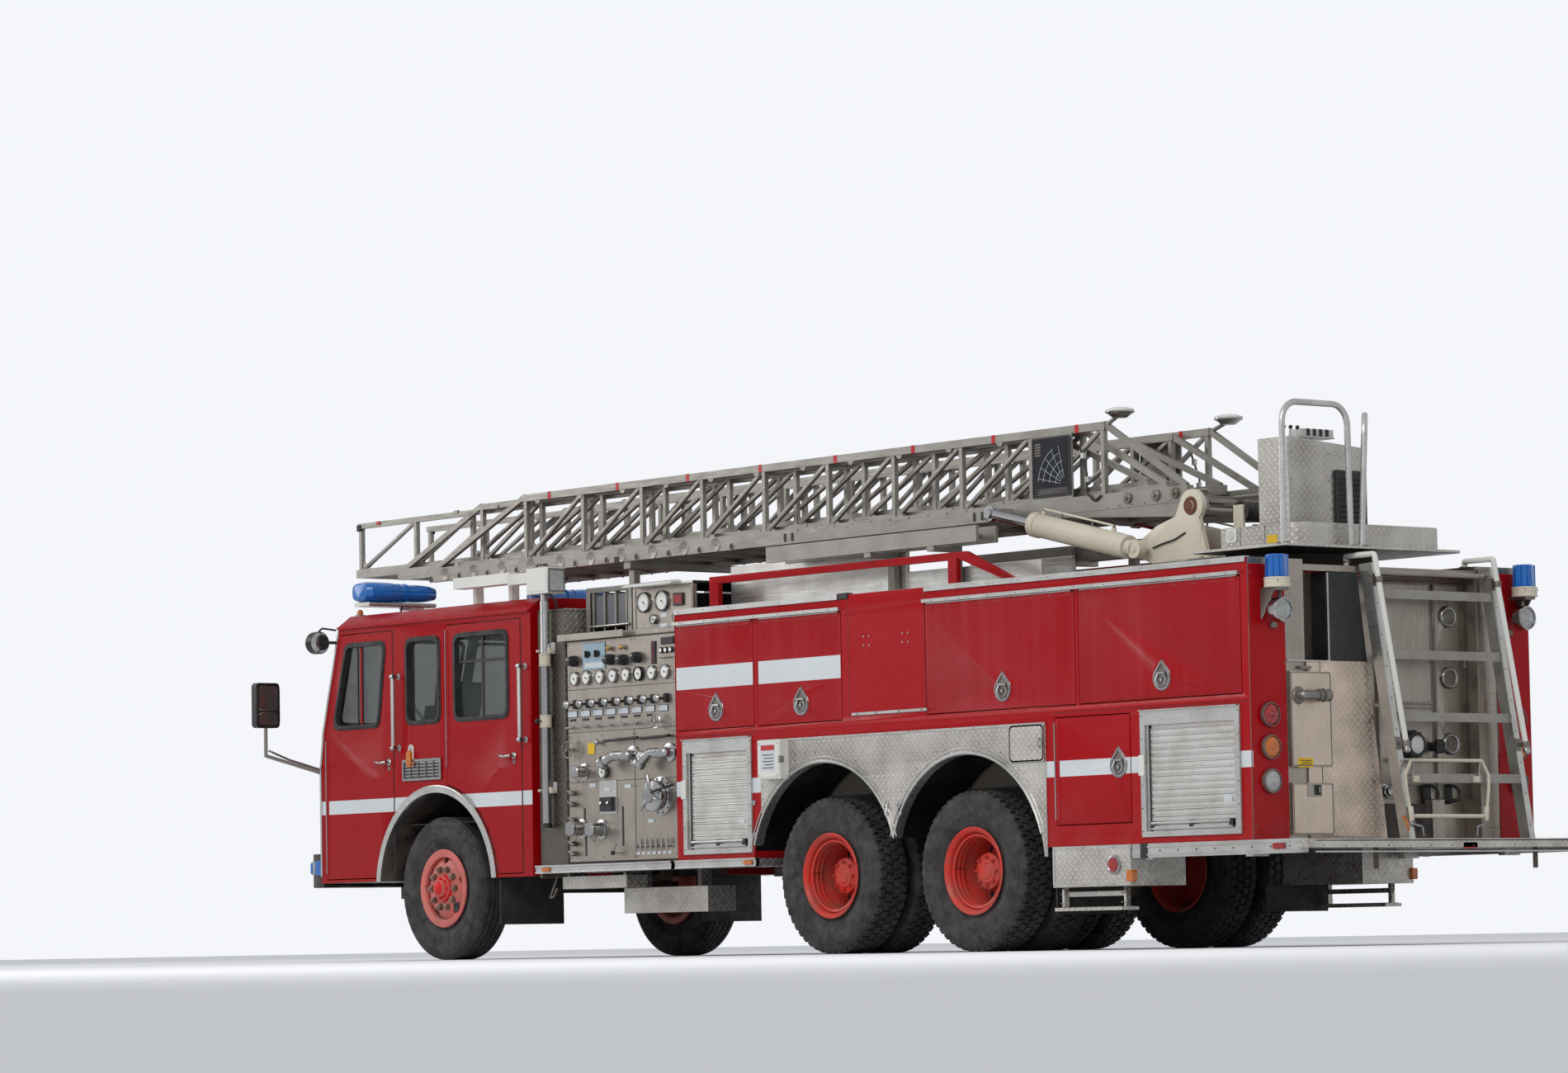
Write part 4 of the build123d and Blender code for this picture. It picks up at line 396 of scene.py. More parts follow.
@dataclass(frozen=True)
class Lens(Finish):
    """A coloured lamp lens with moulded ribs."""

    name: str
    slot: str
    colour: Colour
    ribs: Point = (1.0, 60.0, 1.0)
    clear: float = 0.35

    def draw(self, graph: Graph) -> None:
        """Ribs as bump in a glossy tinted plastic."""
        graph.set(Roughness=0.12, Transmission_Weight=self.clear, IOR=1.45, Coat_Weight=0.6)
        shade = graph.ramp(graph.noise(25.0, 3.0), 0.35, 0.7, 0.0, 0.35)
        graph.link(graph.mix(shade, self.colour, tuple(c * 0.45 for c in self.colour)), "Base Color")
        node = graph.tree.nodes.new("ShaderNodeTexWave")
        node.inputs["Scale"].default_value = 1.0
        graph.tree.links.new(graph.place(self.ribs), node.inputs["Vector"])
        graph.bump(node.outputs["Fac"], 0.3, 0.0008)


@dataclass(frozen=True)
class Weave(Finish):
    """Woven fabric of a hose jacket or a seat."""

    name: str
    slot: str
    colour: Colour
    dark: Colour
    threads: float = 420.0

    def draw(self, graph: Graph) -> None:
        """Crossed threads as bump and shade."""
        over = graph.math("SINE", graph.math("MULTIPLY", graph.axis("x"), self.threads))
        under = graph.math("SINE", graph.math("MULTIPLY", graph.axis("z"), self.threads))
        thread = graph.math("MULTIPLY", over, under)
        shade = graph.ramp(graph.noise(12.0, 5.0), 0.3, 0.75)
        graph.link(graph.mix(shade, self.colour, self.dark), "Base Color")
        graph.set(Roughness=0.85)
        graph.bump(thread, 0.5, 0.0006)


BODY_RED = Paint("body_red", "red_paint", srgb(156, 5, 15), srgb(158, 26, 32), clouds=0.25, film=0.15)
DOOR_RED = Paint("faded_door_red", "red_paint", srgb(150, 4, 14), srgb(158, 40, 46), runs=0.45, clouds=0.3,
                 film=0.15)
CAB_RED = Paint("cab_red", "red_paint", srgb(150, 1, 11), srgb(152, 14, 22), clouds=0.15, film=0.04)
WHEEL_RED = Paint("wheel_red", "rim", srgb(206, 46, 38), srgb(212, 92, 82), film=0.6, film_top=1.2)
FADED_RED = Paint("faded_wheel_red", "rim", srgb(204, 96, 90), srgb(216, 150, 140), film=0.5, film_top=1.2)
HUB_RED = Paint("hub_red", "rim", srgb(206, 24, 30), srgb(206, 60, 58), film=0.2, film_top=1.2)
BAND_RED = Paint("band_red", "red_paint", srgb(176, 34, 40), srgb(190, 84, 80), clouds=0.5)
CREAM = Paint("cream_paint", "cream_paint", srgb(206, 199, 183), srgb(170, 156, 134), film=0.0, clouds=0.5)
WHITE = Paint("white_paint", "white_paint", srgb(214, 214, 208), srgb(186, 182, 172), film=0.2)
STRIPE = Paint("reflective_stripe", "white_paint", srgb(202, 208, 210), srgb(176, 182, 184), coat=0.2,
               roughness=0.42, film=0.25, dents=0.0003)
BLACK = Paint("black_paint", "black_steel", srgb(24, 24, 25), srgb(52, 49, 46), film=0.7, film_top=1.4,
              coat=0.25)
IRON = Paint("engine_iron", "iron", srgb(70, 66, 62), srgb(96, 82, 68), film=0.7, coat=0.0, roughness=0.6)
TANK = Paint("tank_grey", "tank", srgb(118, 112, 104), srgb(90, 84, 78), coat=0.0, roughness=0.55)
LADDER_METAL = Metal("ladder_aluminium", "aluminium", srgb(150, 146, 139), srgb(112, 103, 93), 0.42, 0.7,
                     (0.06, 1.0, 1.0))
ALUMINIUM = Metal("trim_aluminium", "aluminium", srgb(196, 196, 192), srgb(140, 134, 126), 0.3, 0.9,
                  (0.1, 1.0, 1.0))
SLAT_METAL = Metal("shutter_aluminium", "aluminium", srgb(210, 208, 203), srgb(150, 143, 134), 0.36, 0.85,
                   (0.05, 1.0, 1.0))
STAINLESS = Metal("stainless_sheet", "stainless", srgb(164, 156, 146), srgb(134, 124, 112), 0.34, 0.9,
                  (1.0, 1.0, 0.06), stains=0.4, grain=0.00003)
PALE_STAINLESS = Metal("pale_stainless", "stainless", srgb(206, 190, 174), srgb(160, 148, 134), 0.34, 0.9,
                       (1.0, 1.0, 0.06), stains=0.3, grain=0.00003)
CHROME = Metal("bright_chrome", "chrome", srgb(172, 172, 172), srgb(112, 106, 100), 0.2, 1.0, stains=0.35,
               grain=0.00004)
BRASS = Metal("dull_brass", "chrome", srgb(176, 140, 78), srgb(110, 82, 46), 0.3, 1.0)
RUST = Metal("rusty_steel", "iron", srgb(112, 66, 44), srgb(66, 42, 32), 0.75, 0.3, stains=0.8, grain=0.0006)
STEEL = Metal("worn_steel", "iron", srgb(132, 128, 122), srgb(96, 70, 54), 0.45, 0.85, stains=0.6)
NUT_STEEL = Metal("wheel_nut_steel", "rim", srgb(150, 132, 120), srgb(92, 50, 38), 0.4, 0.8, stains=0.5)
TREAD_SIDE = TreadPlate("tread_plate_side", "tread_plate", "xz")
TREAD_TOP = TreadPlate("tread_plate_top", "tread_plate", "xy")
TREAD_REAR = TreadPlate("tread_plate_rear", "tread_plate", "yz")
TREAD_WARM = TreadPlate("tread_plate_warm", "tread_plate", "yz", colour=srgb(222, 204, 188))
# Tread plate darkened to stand in for the shade on the pillar between cab and pump: painted shade.
TREAD_SHADED = TreadPlate("tread_plate_dark", "tread_plate", "xz", colour=srgb(98, 94, 88))
TYRE = Rubber("tyre_rubber", "tyre", srgb(37, 36, 37), srgb(98, 93, 90), 0.4, 0.8, 160.0)
RUBBER = Rubber("black_rubber", "black_rubber")
PLASTIC = Rubber("black_plastic", "black_rubber", srgb(20, 20, 22), srgb(66, 63, 60), 0.2, 0.45, 500.0,
                 0.00015)
VINYL = Rubber("seat_vinyl", "seat", srgb(44, 46, 52), srgb(96, 94, 92), 0.2, 0.55, 700.0)
GLASS = Glass("window_glass", "glass")
LAMP_GLASS = Glass("lamp_glass", "glass", srgb(206, 210, 210), 0.08, 0.3)
BLUE_LENS = Lens("blue_lens", "blue_lens", srgb(0, 112, 202), (40.0, 40.0, 1.0), 0.25)
RED_LENS = Lens("red_lens", "red_lens", srgb(182, 22, 24))
AMBER_LENS = Lens("amber_lens", "red_lens", srgb(226, 122, 26))
CLEAR_LENS = Lens("clear_lens", "glass", srgb(222, 224, 222), clear=0.6)
REFLECTOR = Metal("lamp_reflector", "chrome", srgb(226, 226, 224), srgb(190, 188, 184), 0.18, 1.0, stains=0.2)
DIAL = Rubber("dial_face", "white_paint", srgb(226, 226, 220), srgb(196, 192, 182), 0.2, 0.5, 40.0, 0.0)
LABEL = Paint("blank_label", "white_paint", srgb(196, 202, 206), srgb(170, 174, 176), film=0.1)
# A black arch liner, made darker than black paint to stand in for the shade inside the wheel arches: partly
# real black, partly painted shade.
ARCH_SHADE_BLACK = Paint("arch_black_painted_shade", "black_steel", srgb(9, 9, 10), srgb(26, 24, 22), film=0.15, coat=0.0)
TRAY_GREY = Paint("tray_grey", "aluminium", srgb(104, 106, 110), srgb(132, 132, 132), roughness=0.45,
                  film=0.1)
PANEL_DARK = Paint("chart_black", "black_plastic", srgb(22, 24, 28), srgb(60, 62, 66), roughness=0.4,
                   film=0.1)
PANEL_BLUE = Paint("panel_light_blue", "white_paint", srgb(150, 172, 184), srgb(126, 146, 156), film=0.1)
YELLOW = Paint("warning_yellow", "white_paint", srgb(214, 176, 44), srgb(176, 142, 44), film=0.2)
JACKET = Weave("hose_jacket", "black_rubber", srgb(190, 176, 146), srgb(120, 106, 84))
JACKET_RED = Weave("red_hose_jacket", "black_rubber", srgb(150, 46, 40), srgb(84, 30, 28))


def rect(x0: float, x1: float, z0: float, z1: float) -> list[tuple[float, float]]:
    """A rectangle's corners."""
    return [(x1, z1), (x0, z1), (x0, z0), (x1, z0)]


def grown(corners: Sequence[tuple[float, float]], by: float) -> list[tuple[float, float]]:
    """A convex outline with each side moved out by a width, or in where it is negative."""
    points = [Vector(c) for c in corners]
    middle = sum(points, Vector((0.0, 0.0))) / len(points)
    found = []
    for before, here, after in zip(points[-1:] + points[:-1], points, points[1:] + points[:1]):
        outs = []
        for one, two in ((before, here), (here, after)):
            run = (two - one).normalized()
            out = Vector((run.y, -run.x))
            outs.append(out if out.dot(one - middle) > 0 else -out)
        found.append(tuple(here + (outs[0] + outs[1]) * by / (1 + outs[0].dot(outs[1]))))
    return found


def rounded(corners: Sequence[tuple[float, float]], radius: float,
            steps: int = 6) -> list[tuple[float, float]]:
    """An outline with rounded corners, steps + 1 points to each."""
    points = [Vector(c) for c in corners]
    found = []
    for before, here, after in zip(points[-1:] + points[:-1], points, points[1:] + points[:1]):
        back, on = (before - here).normalized(), (after - here).normalized()
        half = back.angle(on) / 2
        centre = here + (back + on).normalized() * radius / math.sin(half)
        start, stop = (here + way * radius / math.tan(half) - centre for way in (back, on))
        found += [tuple(centre + start.slerp(stop, k / steps).normalized() * radius)
                  for k in range(steps + 1)]
    return found


def spread(low: float, high: float, pitch: float) -> list[float]:
    """Evenly spaced places from low to high, about a pitch apart."""
    count = max(1, round((high - low) / pitch))
    return [low + (high - low) * i / count for i in range(count + 1)]


def polar(x: float, z: float, radius: float, degrees: float) -> tuple[float, float]:
    """The point at an angle round a centre."""
    return (x + radius * math.cos(math.radians(degrees)), z + radius * math.sin(math.radians(degrees)))


class Shape:
    """A mesh built from bmesh operators, one part at a time.

    Each part is made in a bmesh of its own, is given its finish and outward faces, and then joins
    the rest. `piece` makes the whole an object that rides on a CAD body.
    """

    def __init__(self, name: str) -> None:
        """Starts an empty shape."""
        self.name = name
        self.bm = bmesh.new()
        self.finishes: list[Finish] = []

    def index(self, finish: Finish) -> int:
        """The material index that a finish has on this shape."""
        if finish not in self.finishes:
            self.finishes.append(finish)
        return self.finishes.index(finish)

    def join(self, part: bmesh.types.BMesh, finish: Finish | None, outward: bool = True) -> None:
        """Adds a part and frees it.

        Args:
            part: The part, whose faces keep their indices where finish is None.
            finish: The finish of all its faces.
            outward: Whether its normals are worked out again.
        """
        if outward:
            bmesh.ops.recalc_face_normals(part, faces=part.faces[:])
        if finish is not None:
            index = self.index(finish)
            for face in part.faces:
                face.material_index = index
        mesh = bpy.data.meshes.new("part")
        part.to_mesh(mesh)
        part.free()
        self.bm.from_mesh(mesh)
        bpy.data.meshes.remove(mesh)

    @staticmethod
    def soften(part: bmesh.types.BMesh, edges: Sequence[bmesh.types.BMEdge], width: float,
               steps: int = 2) -> None:
        """Rounds edges."""
        bmesh.ops.bevel(part, geom=list(edges), offset=width, offset_type="OFFSET", segments=steps,
                        profile=0.5, affect="EDGES", clamp_overlap=True, material=-1)

    def box(self, low: Sequence[float], high: Sequence[float], finish: Finish, edge: float = 0.002,
            steps: int = 1) -> None:
        """A block with rounded edges between two corners."""
        part = bmesh.new()
        a, b = Vector(low), Vector(high)
        size = Vector([max(abs(c), 1e-5) for c in b - a])
        place = Matrix.Translation((a + b) / 2) @ Matrix.Diagonal((*size, 1.0))
        bmesh.ops.create_cube(part, size=1.0, matrix=place)
        if edge:
            self.soften(part, part.edges, min(edge, min(size) * 0.45), steps)
        self.join(part, finish)

    def rod(self, start: Sequence[float], stop: Sequence[float], radius: float, finish: Finish,
            end: float | None = None, sides: int = 24, edge: float = 0.0) -> None:
        """A round bar or cone from start to stop.

        Args:
            start: The centre of its first end.
            stop: The centre of its other end.
            radius: Its radius at the start.
            finish: Its finish.
            end: Its radius at the stop, where that differs.
            sides: Its number of flats.
            edge: How far its end edges are rounded.
        """
        part = bmesh.new()
        a, b = Vector(start), Vector(stop)
        run = b - a
        place = Matrix.Translation((a + b) / 2) @ run.to_track_quat("Z", "Y").to_matrix().to_4x4()
        bmesh.ops.create_cone(part, cap_ends=True, cap_tris=False, segments=sides, radius1=radius,
                              radius2=radius if end is None else end, depth=run.length, matrix=place)
        if edge:
            rims = [e for e in part.edges if any(len(f.verts) > 4 for f in e.link_faces)]
            self.soften(part, rims, edge)
        self.join(part, finish)

    def bar(self, axis: int, start: float, stop: float, others: Sequence[float], radius: float,
            finish: Finish, end: float | None = None, sides: int = 24, edge: float = 0.0) -> None:
        """A rod along one axis; others are its two coordinates that stay."""
        one, two = (list(others[:axis]) + [place] + list(others[axis:]) for place in (start, stop))
        self.rod(one, two, radius, finish, end, sides, edge)

    def ball(self, centre: Sequence[float], radii: Sequence[float], finish: Finish, sides: int = 20) -> None:
        """An ellipsoid."""
        part = bmesh.new()
        place = Matrix.Translation(centre) @ Matrix.Diagonal((*radii, 1.0))
        bmesh.ops.create_uvsphere(part, u_segments=sides, v_segments=sides // 2, radius=1.0, matrix=place)
        self.join(part, finish)

    def turned(self, profile: Sequence[tuple[float, float]], centre: Sequence[float], axis: Sequence[float],
               finish: Finish, sides: int = 40, ring: bool = False) -> None:
        """A turned part.

        Args:
            profile: Its outline as (radius, height) pairs, from the axis round to the axis, or a
                closed loop where ring is set.
            centre: Where height is nought.
            axis: The way that height runs.
            finish: Its finish.
            sides: Its number of flats.
            ring: Whether the profile closes on itself.
        """
        part = bmesh.new()
        verts = [part.verts.new((max(r, 0.0), 0.0, h)) for r, h in profile]
        ends = verts[1:] + ([verts[0]] if ring else [])
        edges = [part.edges.new(pair) for pair in zip(verts, ends)]
        bmesh.ops.spin(part, geom=verts + edges, cent=(0, 0, 0), axis=UP, dvec=(0, 0, 0), angle=math.tau,
                       steps=sides, use_merge=True, use_duplicate=False)
        bmesh.ops.remove_doubles(part, verts=part.verts[:], dist=1e-6)
        place = Matrix.Translation(centre) @ Vector(axis).to_track_quat("Z", "Y").to_matrix().to_4x4()
        bmesh.ops.transform(part, matrix=place, verts=part.verts[:])
        self.join(part, finish)

    def slab(self, outline: Sequence[tuple[float, float]], view: View, near: float, far: float,
             finish: Finish, edge: float = 0.0) -> None:
        """A flat outline given a thickness from near to far."""
        part = bmesh.new()
        face = part.faces.new([part.verts.new(view.at(a, b, near)) for a, b in outline])
        made = bmesh.ops.extrude_face_region(part, geom=[face])["geom"]
        bmesh.ops.translate(part, vec=view.at(0, 0, far - near),
                            verts=[v for v in made if isinstance(v, bmesh.types.BMVert)])
        if edge:
            self.soften(part, part.edges, edge, 1)
        self.join(part, finish)

    def tile(self, sides: Sequence[float], radius: float, view: View, near: float, far: float, finish: Finish,
             edge: float = 0.0) -> None:
        """A slab of a rectangle with rounded corners."""
        self.slab(rounded(rect(*sides), radius), view, near, far, finish, edge)

    def band(self, outer: Sequence[tuple[float, float]], inner: Sequence[tuple[float, float]], view: View,
             near: float, far: float, finish: Finish, lean: Callable[[float], float] | None = None) -> None:
        """A flat ring between two outlines that have as many points, given a thickness.

        Args:
            outer: Its outer outline.
            inner: Its inner outline.
            view: The plane of both.
            near: Where it starts along the plane's normal.
            far: Where it ends.
            finish: Its finish.
            lean: How far forward each height is moved, on a leaning face.
        """
        part = bmesh.new()
        loops = [[part.verts.new(view.at(a, b, depth)) for a, b in line] for depth in (near, far)
                 for line in (outer, inner)]
        for i in range(len(outer)):
            j = (i + 1) % len(outer)
            for one, two in ((0, 1), (1, 3), (3, 2), (2, 0)):
                part.faces.new((loops[one][i], loops[one][j], loops[two][j], loops[two][i]))
        for vert in part.verts:
            vert.co.x += lean(vert.co.z) if lean else 0.0
        self.join(part, finish)

    def ring(self, outer: Sequence[float], outer_radius: float, inner: Sequence[float], inner_radius: float,
             view: View, near: float, far: float, finish: Finish,
             lean: Callable[[float], float] | None = None) -> None:
        """A band between two rectangles with rounded corners."""
        self.band(rounded(rect(*outer), outer_radius), rounded(rect(*inner), inner_radius), view, near, far,
                  finish, lean)

    def bolts(self, places: Iterable[Sequence[float]], out: Sequence[float], radius: float, finish: Finish,
              height: float = 0.006, sides: int = 6) -> None:
        """Bolt or rivet heads that stand out along one way."""
        for place in places:
            self.rod(place, Vector(place) + Vector(out) * height, radius, finish, end=radius * 0.85,
                     sides=sides)

    def row(self, low: float, high: float, pitch: float, y: float, z: float, radius: float, finish: Finish,
            height: float = 0.006, sides: int = 6) -> None:
        """Bolt heads on a side face in a level row, about a pitch apart."""
        self.bolts([(x, y, z) for x in spread(low, high, pitch)], OUT, radius, finish, height, sides)

    def pipe(self, points: Sequence[Sequence[float]], radius: float, finish: Finish, sides: int = 10,
             bend: float = 0.05) -> None:
        """A round pipe through points, rounded at each by about a bend's length."""
        path = [Vector(p) for p in points]
        route = [path[0]]
        for before, corner, after in zip(path, path[1:], path[2:]):
            for toward in (before, None, after):
                if toward is None:
                    route.append(corner)
                    continue
                run = toward - corner
                route.append(corner + run.normalized() * min(bend, run.length * 0.45))
        route.append(path[-1])
        curve = bpy.data.curves.new("route", "CURVE")
        curve.dimensions = "3D"
        curve.bevel_depth = radius
        curve.bevel_resolution = max(0, sides // 4 - 1)
        curve.use_fill_caps = True
        curve.resolution_u = 4
        spline = curve.splines.new("NURBS")
        spline.points.add(len(route) - 1)
        for knot, place in zip(spline.points, route):
            knot.co = (*place, 1.0)
        spline.order_u = 3
        spline.use_endpoint_u = True
        carrier = bpy.data.objects.new("route", curve)
        mesh = bpy.data.meshes.new_from_object(carrier)
        part = bmesh.new()
        part.from_mesh(mesh)
        bmesh.ops.remove_doubles(part, verts=part.verts[:], dist=1e-6)
        bpy.data.objects.remove(carrier)
        bpy.data.curves.remove(curve)
        bpy.data.meshes.remove(mesh)
        self.join(part, finish)

    def both_sides(self) -> None:
        """Adds the mirror image of all that the shape holds."""
        made = bmesh.ops.duplicate(self.bm, geom=self.bm.verts[:] + self.bm.edges[:]
                                   + self.bm.faces[:])["geom"]
        bmesh.ops.scale(self.bm, vec=(1, -1, 1), verts=[v for v in made if isinstance(v, bmesh.types.BMVert)])
        bmesh.ops.reverse_faces(self.bm, faces=[f for f in made if isinstance(f, bmesh.types.BMFace)])

    def to_side(self, side: Side) -> None:
        """Turns a shape drawn on the left into the right one."""
        if side is Side.RIGHT:
            bmesh.ops.scale(self.bm, vec=(1, -1, 1), verts=self.bm.verts[:])
            bmesh.ops.reverse_faces(self.bm, faces=self.bm.faces[:])

    def piece(self, body: str, slot: str | None = None, replaced: Iterable[str] = ()) -> bpy.types.Object:
        """Makes the object.

        Args:
            body: The CAD body that it rides on.
            slot: Not used.
            replaced: The CAD nodes that it stands for.

        Returns:
            The object, at the origin, with its place in its mesh.
        """
        mesh = bpy.data.meshes.new(self.name)
        self.bm.to_mesh(mesh)
        self.bm.free()
        for finish in self.finishes:
            mesh.materials.append(finish.material())
        mesh.shade_smooth()
        mesh.set_sharp_from_angle(angle=SHARP_ANGLE)
        thing = bpy.data.objects.new(self.name, mesh)
        bpy.context.scene.collection.objects.link(thing)
        slot or self.finishes[0].slot
        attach(thing, body)
        if replaced:
            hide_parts(*replaced)
        mesh.calc_loop_triangles()
        LOG.info("%s: %d triangles on %s", self.name, len(mesh.loop_triangles), body)
        return thing


@dataclass(frozen=True)
class Area:
    """A region of a node with a finish of its own."""

    finish: Finish
    low: Point = (-99.0, -99.0, -99.0)
    high: Point = (99.0, 99.0, 99.0)
    facing: Point | None = None

    def holds(self, centre: Vector, normal: Vector) -> bool:
        """Whether a face with that centre and normal belongs to it."""
        inside = all(a <= c <= b for a, c, b in zip(self.low, centre, self.high))
        return inside and (self.facing is None or normal.dot(Vector(self.facing).normalized()) > 0.7)


def paired(finish: Finish, low: Point, high: Point, facing: Point | None = None) -> tuple[Area, ...]:
    """A region on the vehicle's left and its mirror image on the right."""
    across = None if facing is None else (facing[0], -facing[1], facing[2])
    return (Area(finish, low, high, facing), Area(finish, (low[0], -high[1], low[2]),
        (high[0], -low[1], high[2]), across))


# The record's material slots of nodes whose casting has another one's finish for the most part.
NODE_SLOTS = {"cab_trim": "chrome", "tread_plates": "tread_plate", "pump_house": "red_paint",
              "tail_lamps": "red_lens", "turntable_station": "tread_plate",
              "lift_cylinder_rods": "cream_paint"}


@dataclass(frozen=True)
class Casting:
    """A dressed copy of a CAD node: merged, with rounded edges, cut lines and finishes by region.

    Attributes:
        node: The CAD node.
        finish: The finish of all that no area holds.
        areas: The regions with other finishes, the first that holds a face winning.
        edge: How far its sharp edges are rounded, in metres.
        cuts: Planes that part its faces, as (point, normal) pairs.
        trims: Planes past which plain CAD fittings are taken off, to be modelled in full.
    """

    node: str
    finish: Finish
    areas: tuple[Area, ...] = ()
    edge: float = 0.003
    cuts: tuple[tuple[Point, Point], ...] = ()
    trims: tuple[tuple[Point, Point], ...] = ()

    def add_to(self, shape: Shape, frame: dict) -> None:
        """Adds the dressed copy to a shape."""
        part = bmesh.new()
        part.from_mesh(frame["nodes"][self.node].data)
        bmesh.ops.remove_doubles(part, verts=part.verts[:], dist=2e-5)
        bmesh.ops.dissolve_limit(part, angle_limit=math.radians(1.0), use_dissolve_boundaries=False,
                                 verts=part.verts[:], edges=part.edges[:])
        for point, normal in self.trims:
            bmesh.ops.bisect_plane(part, geom=part.verts[:] + part.edges[:] + part.faces[:], dist=1e-6,
                                   plane_co=point, plane_no=normal, clear_outer=True)
            bmesh.ops.holes_fill(part, edges=[e for e in part.edges if e.is_boundary], sides=0)
        if self.edge:
            sharp = [e for e in part.edges if len(e.link_faces) == 2 and e.calc_face_angle(0.0) > SHARP_ANGLE]
            shape.soften(part, sharp, self.edge, 1)
        for point, normal in self.cuts:
            bmesh.ops.bisect_plane(part, geom=part.verts[:] + part.edges[:] + part.faces[:], dist=1e-6,
                                   plane_co=point, plane_no=normal)
        part.normal_update()
        for face in part.faces:
            centre = face.calc_center_median()
            chosen = next((a.finish for a in self.areas if a.holds(centre, face.normal)), self.finish)
            face.material_index = shape.index(chosen)
        shape.join(part, None, outward=False)

    def piece(self, frame: dict, body: str | None = None) -> bpy.types.Object:
        """Makes the copy a piece of its own, in place of its node."""
        shape = Shape(f"{self.node}_dressed")
        self.add_to(shape, frame)
        slot = NODE_SLOTS.get(self.node, self.finish.slot)
        return shape.piece(body or frame["nodes"][self.node]["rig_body"], slot, [self.node])


def dress(frame: dict, node: str, finish: Finish) -> None:
    """Gives a CAD node that stays as it is one finish."""
    mesh = frame["nodes"][node].data
    mesh.materials.clear()
    mesh.materials.append(finish.material())


STRIPE_Z = (1.106, 1.208)
STRIPE_CUTS = tuple(((0.0, 0.0, z), (0.0, 0.0, 1.0)) for z in STRIPE_Z)


def stripe_areas(x0: float = -99.0, x1: float = 99.0) -> tuple[Area, ...]:
    """The side stripe's regions on both sides, between two places along the vehicle."""
    return tuple(Area(STRIPE, (x0, -2.0 if s < 0 else 1.19, STRIPE_Z[0]),
                      (x1, -1.19 if s < 0 else 2.0, STRIPE_Z[1]), (0.0, float(s), 0.0)) for s in (-1, 1))


@dataclass
class TyreMaker:
    """One tyre with a turned carcass and separate tread blocks, its axle along Y at the origin."""

    radius: float = TYRE_RADIUS
    width: float = 0.282
    floor_depth: float = 0.013
    pitches: int = 52
    lugs: bool = True

    def outline(self) -> list[tuple[float, float]]:
        """The carcass as (radius, place across): bead, ribbed sidewall, shoulder and tread floor."""
        half = self.width / 2
        floor = self.radius - self.floor_depth
        one = [(0.263, half * 0.42), (0.263, half * 0.63), (0.271, half * 0.685), (0.29, half * 0.7),
               (0.303, half * 0.715), (0.307, half * 0.75), (0.311, half * 0.75), (0.315, half * 0.745),
               (0.335, half * 0.845), (0.365, half * 0.945), (0.372, half * 0.975), (0.378, half * 0.965),
               (0.405, half * 0.995), (0.432, half * 1.0), (0.452, half * 0.985), (0.455, half * 1.0),
               (0.462, half * 0.998), (0.465, half * 0.97), (0.484, half * 0.95), (0.5, half * 0.905),
               (floor, half * 0.8)]
        if self.lugs:
            grooves = []
        else:
            grooves = [(self.radius - 0.002, half * 0.78), (self.radius, half * 0.72)]
            for middle in (0.5, 0.17):
                grooves += [(self.radius, half * (middle + 0.045)), (floor, half * (middle + 0.03)),
                            (floor, half * (middle - 0.03)), (self.radius, half * (middle - 0.045))]
        one += grooves
        return one + [(r, -h) for r, h in reversed(one)]

    def blocks(self) -> bmesh.types.BMesh:
        """Tread blocks: a heavy row on each shoulder and two staggered rows between."""
        part = bmesh.new()
        half = self.width / 2
        step = math.tau / self.pitches
        length = self.radius * step
        rows = [(0.8, 0.46, 0.0, 0.68, 9.0), (0.4, 0.04, 0.5, 0.74, -16.0), (-0.04, -0.4, 0.0, 0.74, 16.0),
                (-0.46, -0.8, 0.5, 0.68, -9.0)]
        if not self.lugs:
            rows = [(0.86, 0.76, 0.0, 0.55, 0.0), (-0.76, -0.86, 0.5, 0.55, 0.0)]
        for outer, inner, phase, share, skew in rows:
            block = bmesh.new()
            size = (length * share, half * abs(outer - inner), self.floor_depth + 0.003)
            lift = self.radius - size[2] / 2 if self.lugs else self.radius - 0.012 - size[2] / 2
            bmesh.ops.create_cube(block, size=1.0, matrix=Matrix.Diagonal((*size, 1.0)))
            crown = [e for e in block.edges if all(v.co.z > 0 for v in e.verts)]
            Shape.soften(block, crown, 0.0022, 1)
            place = (Matrix.Rotation(phase * step, 4, "Y")
                     @ Matrix.Translation((0, half * (outer + inner) / 2, lift))
                     @ Matrix.Rotation(math.radians(skew), 4, "Z"))
            bmesh.ops.transform(block, matrix=place, verts=block.verts[:])
            bmesh.ops.spin(block, geom=block.faces[:], cent=(0, 0, 0), axis=OUT, dvec=(0, 0, 0),
                angle=math.tau * (1 - 1 / self.pitches), steps=self.pitches - 1, use_duplicate=True)
            mesh = bpy.data.meshes.new("row")
            block.to_mesh(mesh)
            block.free()
            part.from_mesh(mesh)
            bpy.data.meshes.remove(mesh)
        return part

    def add_to(self, shape: Shape, centre: Point) -> None:
        """Adds the tyre at a wheel's centre."""
        shape.turned(self.outline(), centre, OUT, TYRE, 72, ring=True)
        tread = self.blocks()
        bmesh.ops.translate(tread, vec=centre, verts=tread.verts[:])
        shape.join(tread, TYRE)


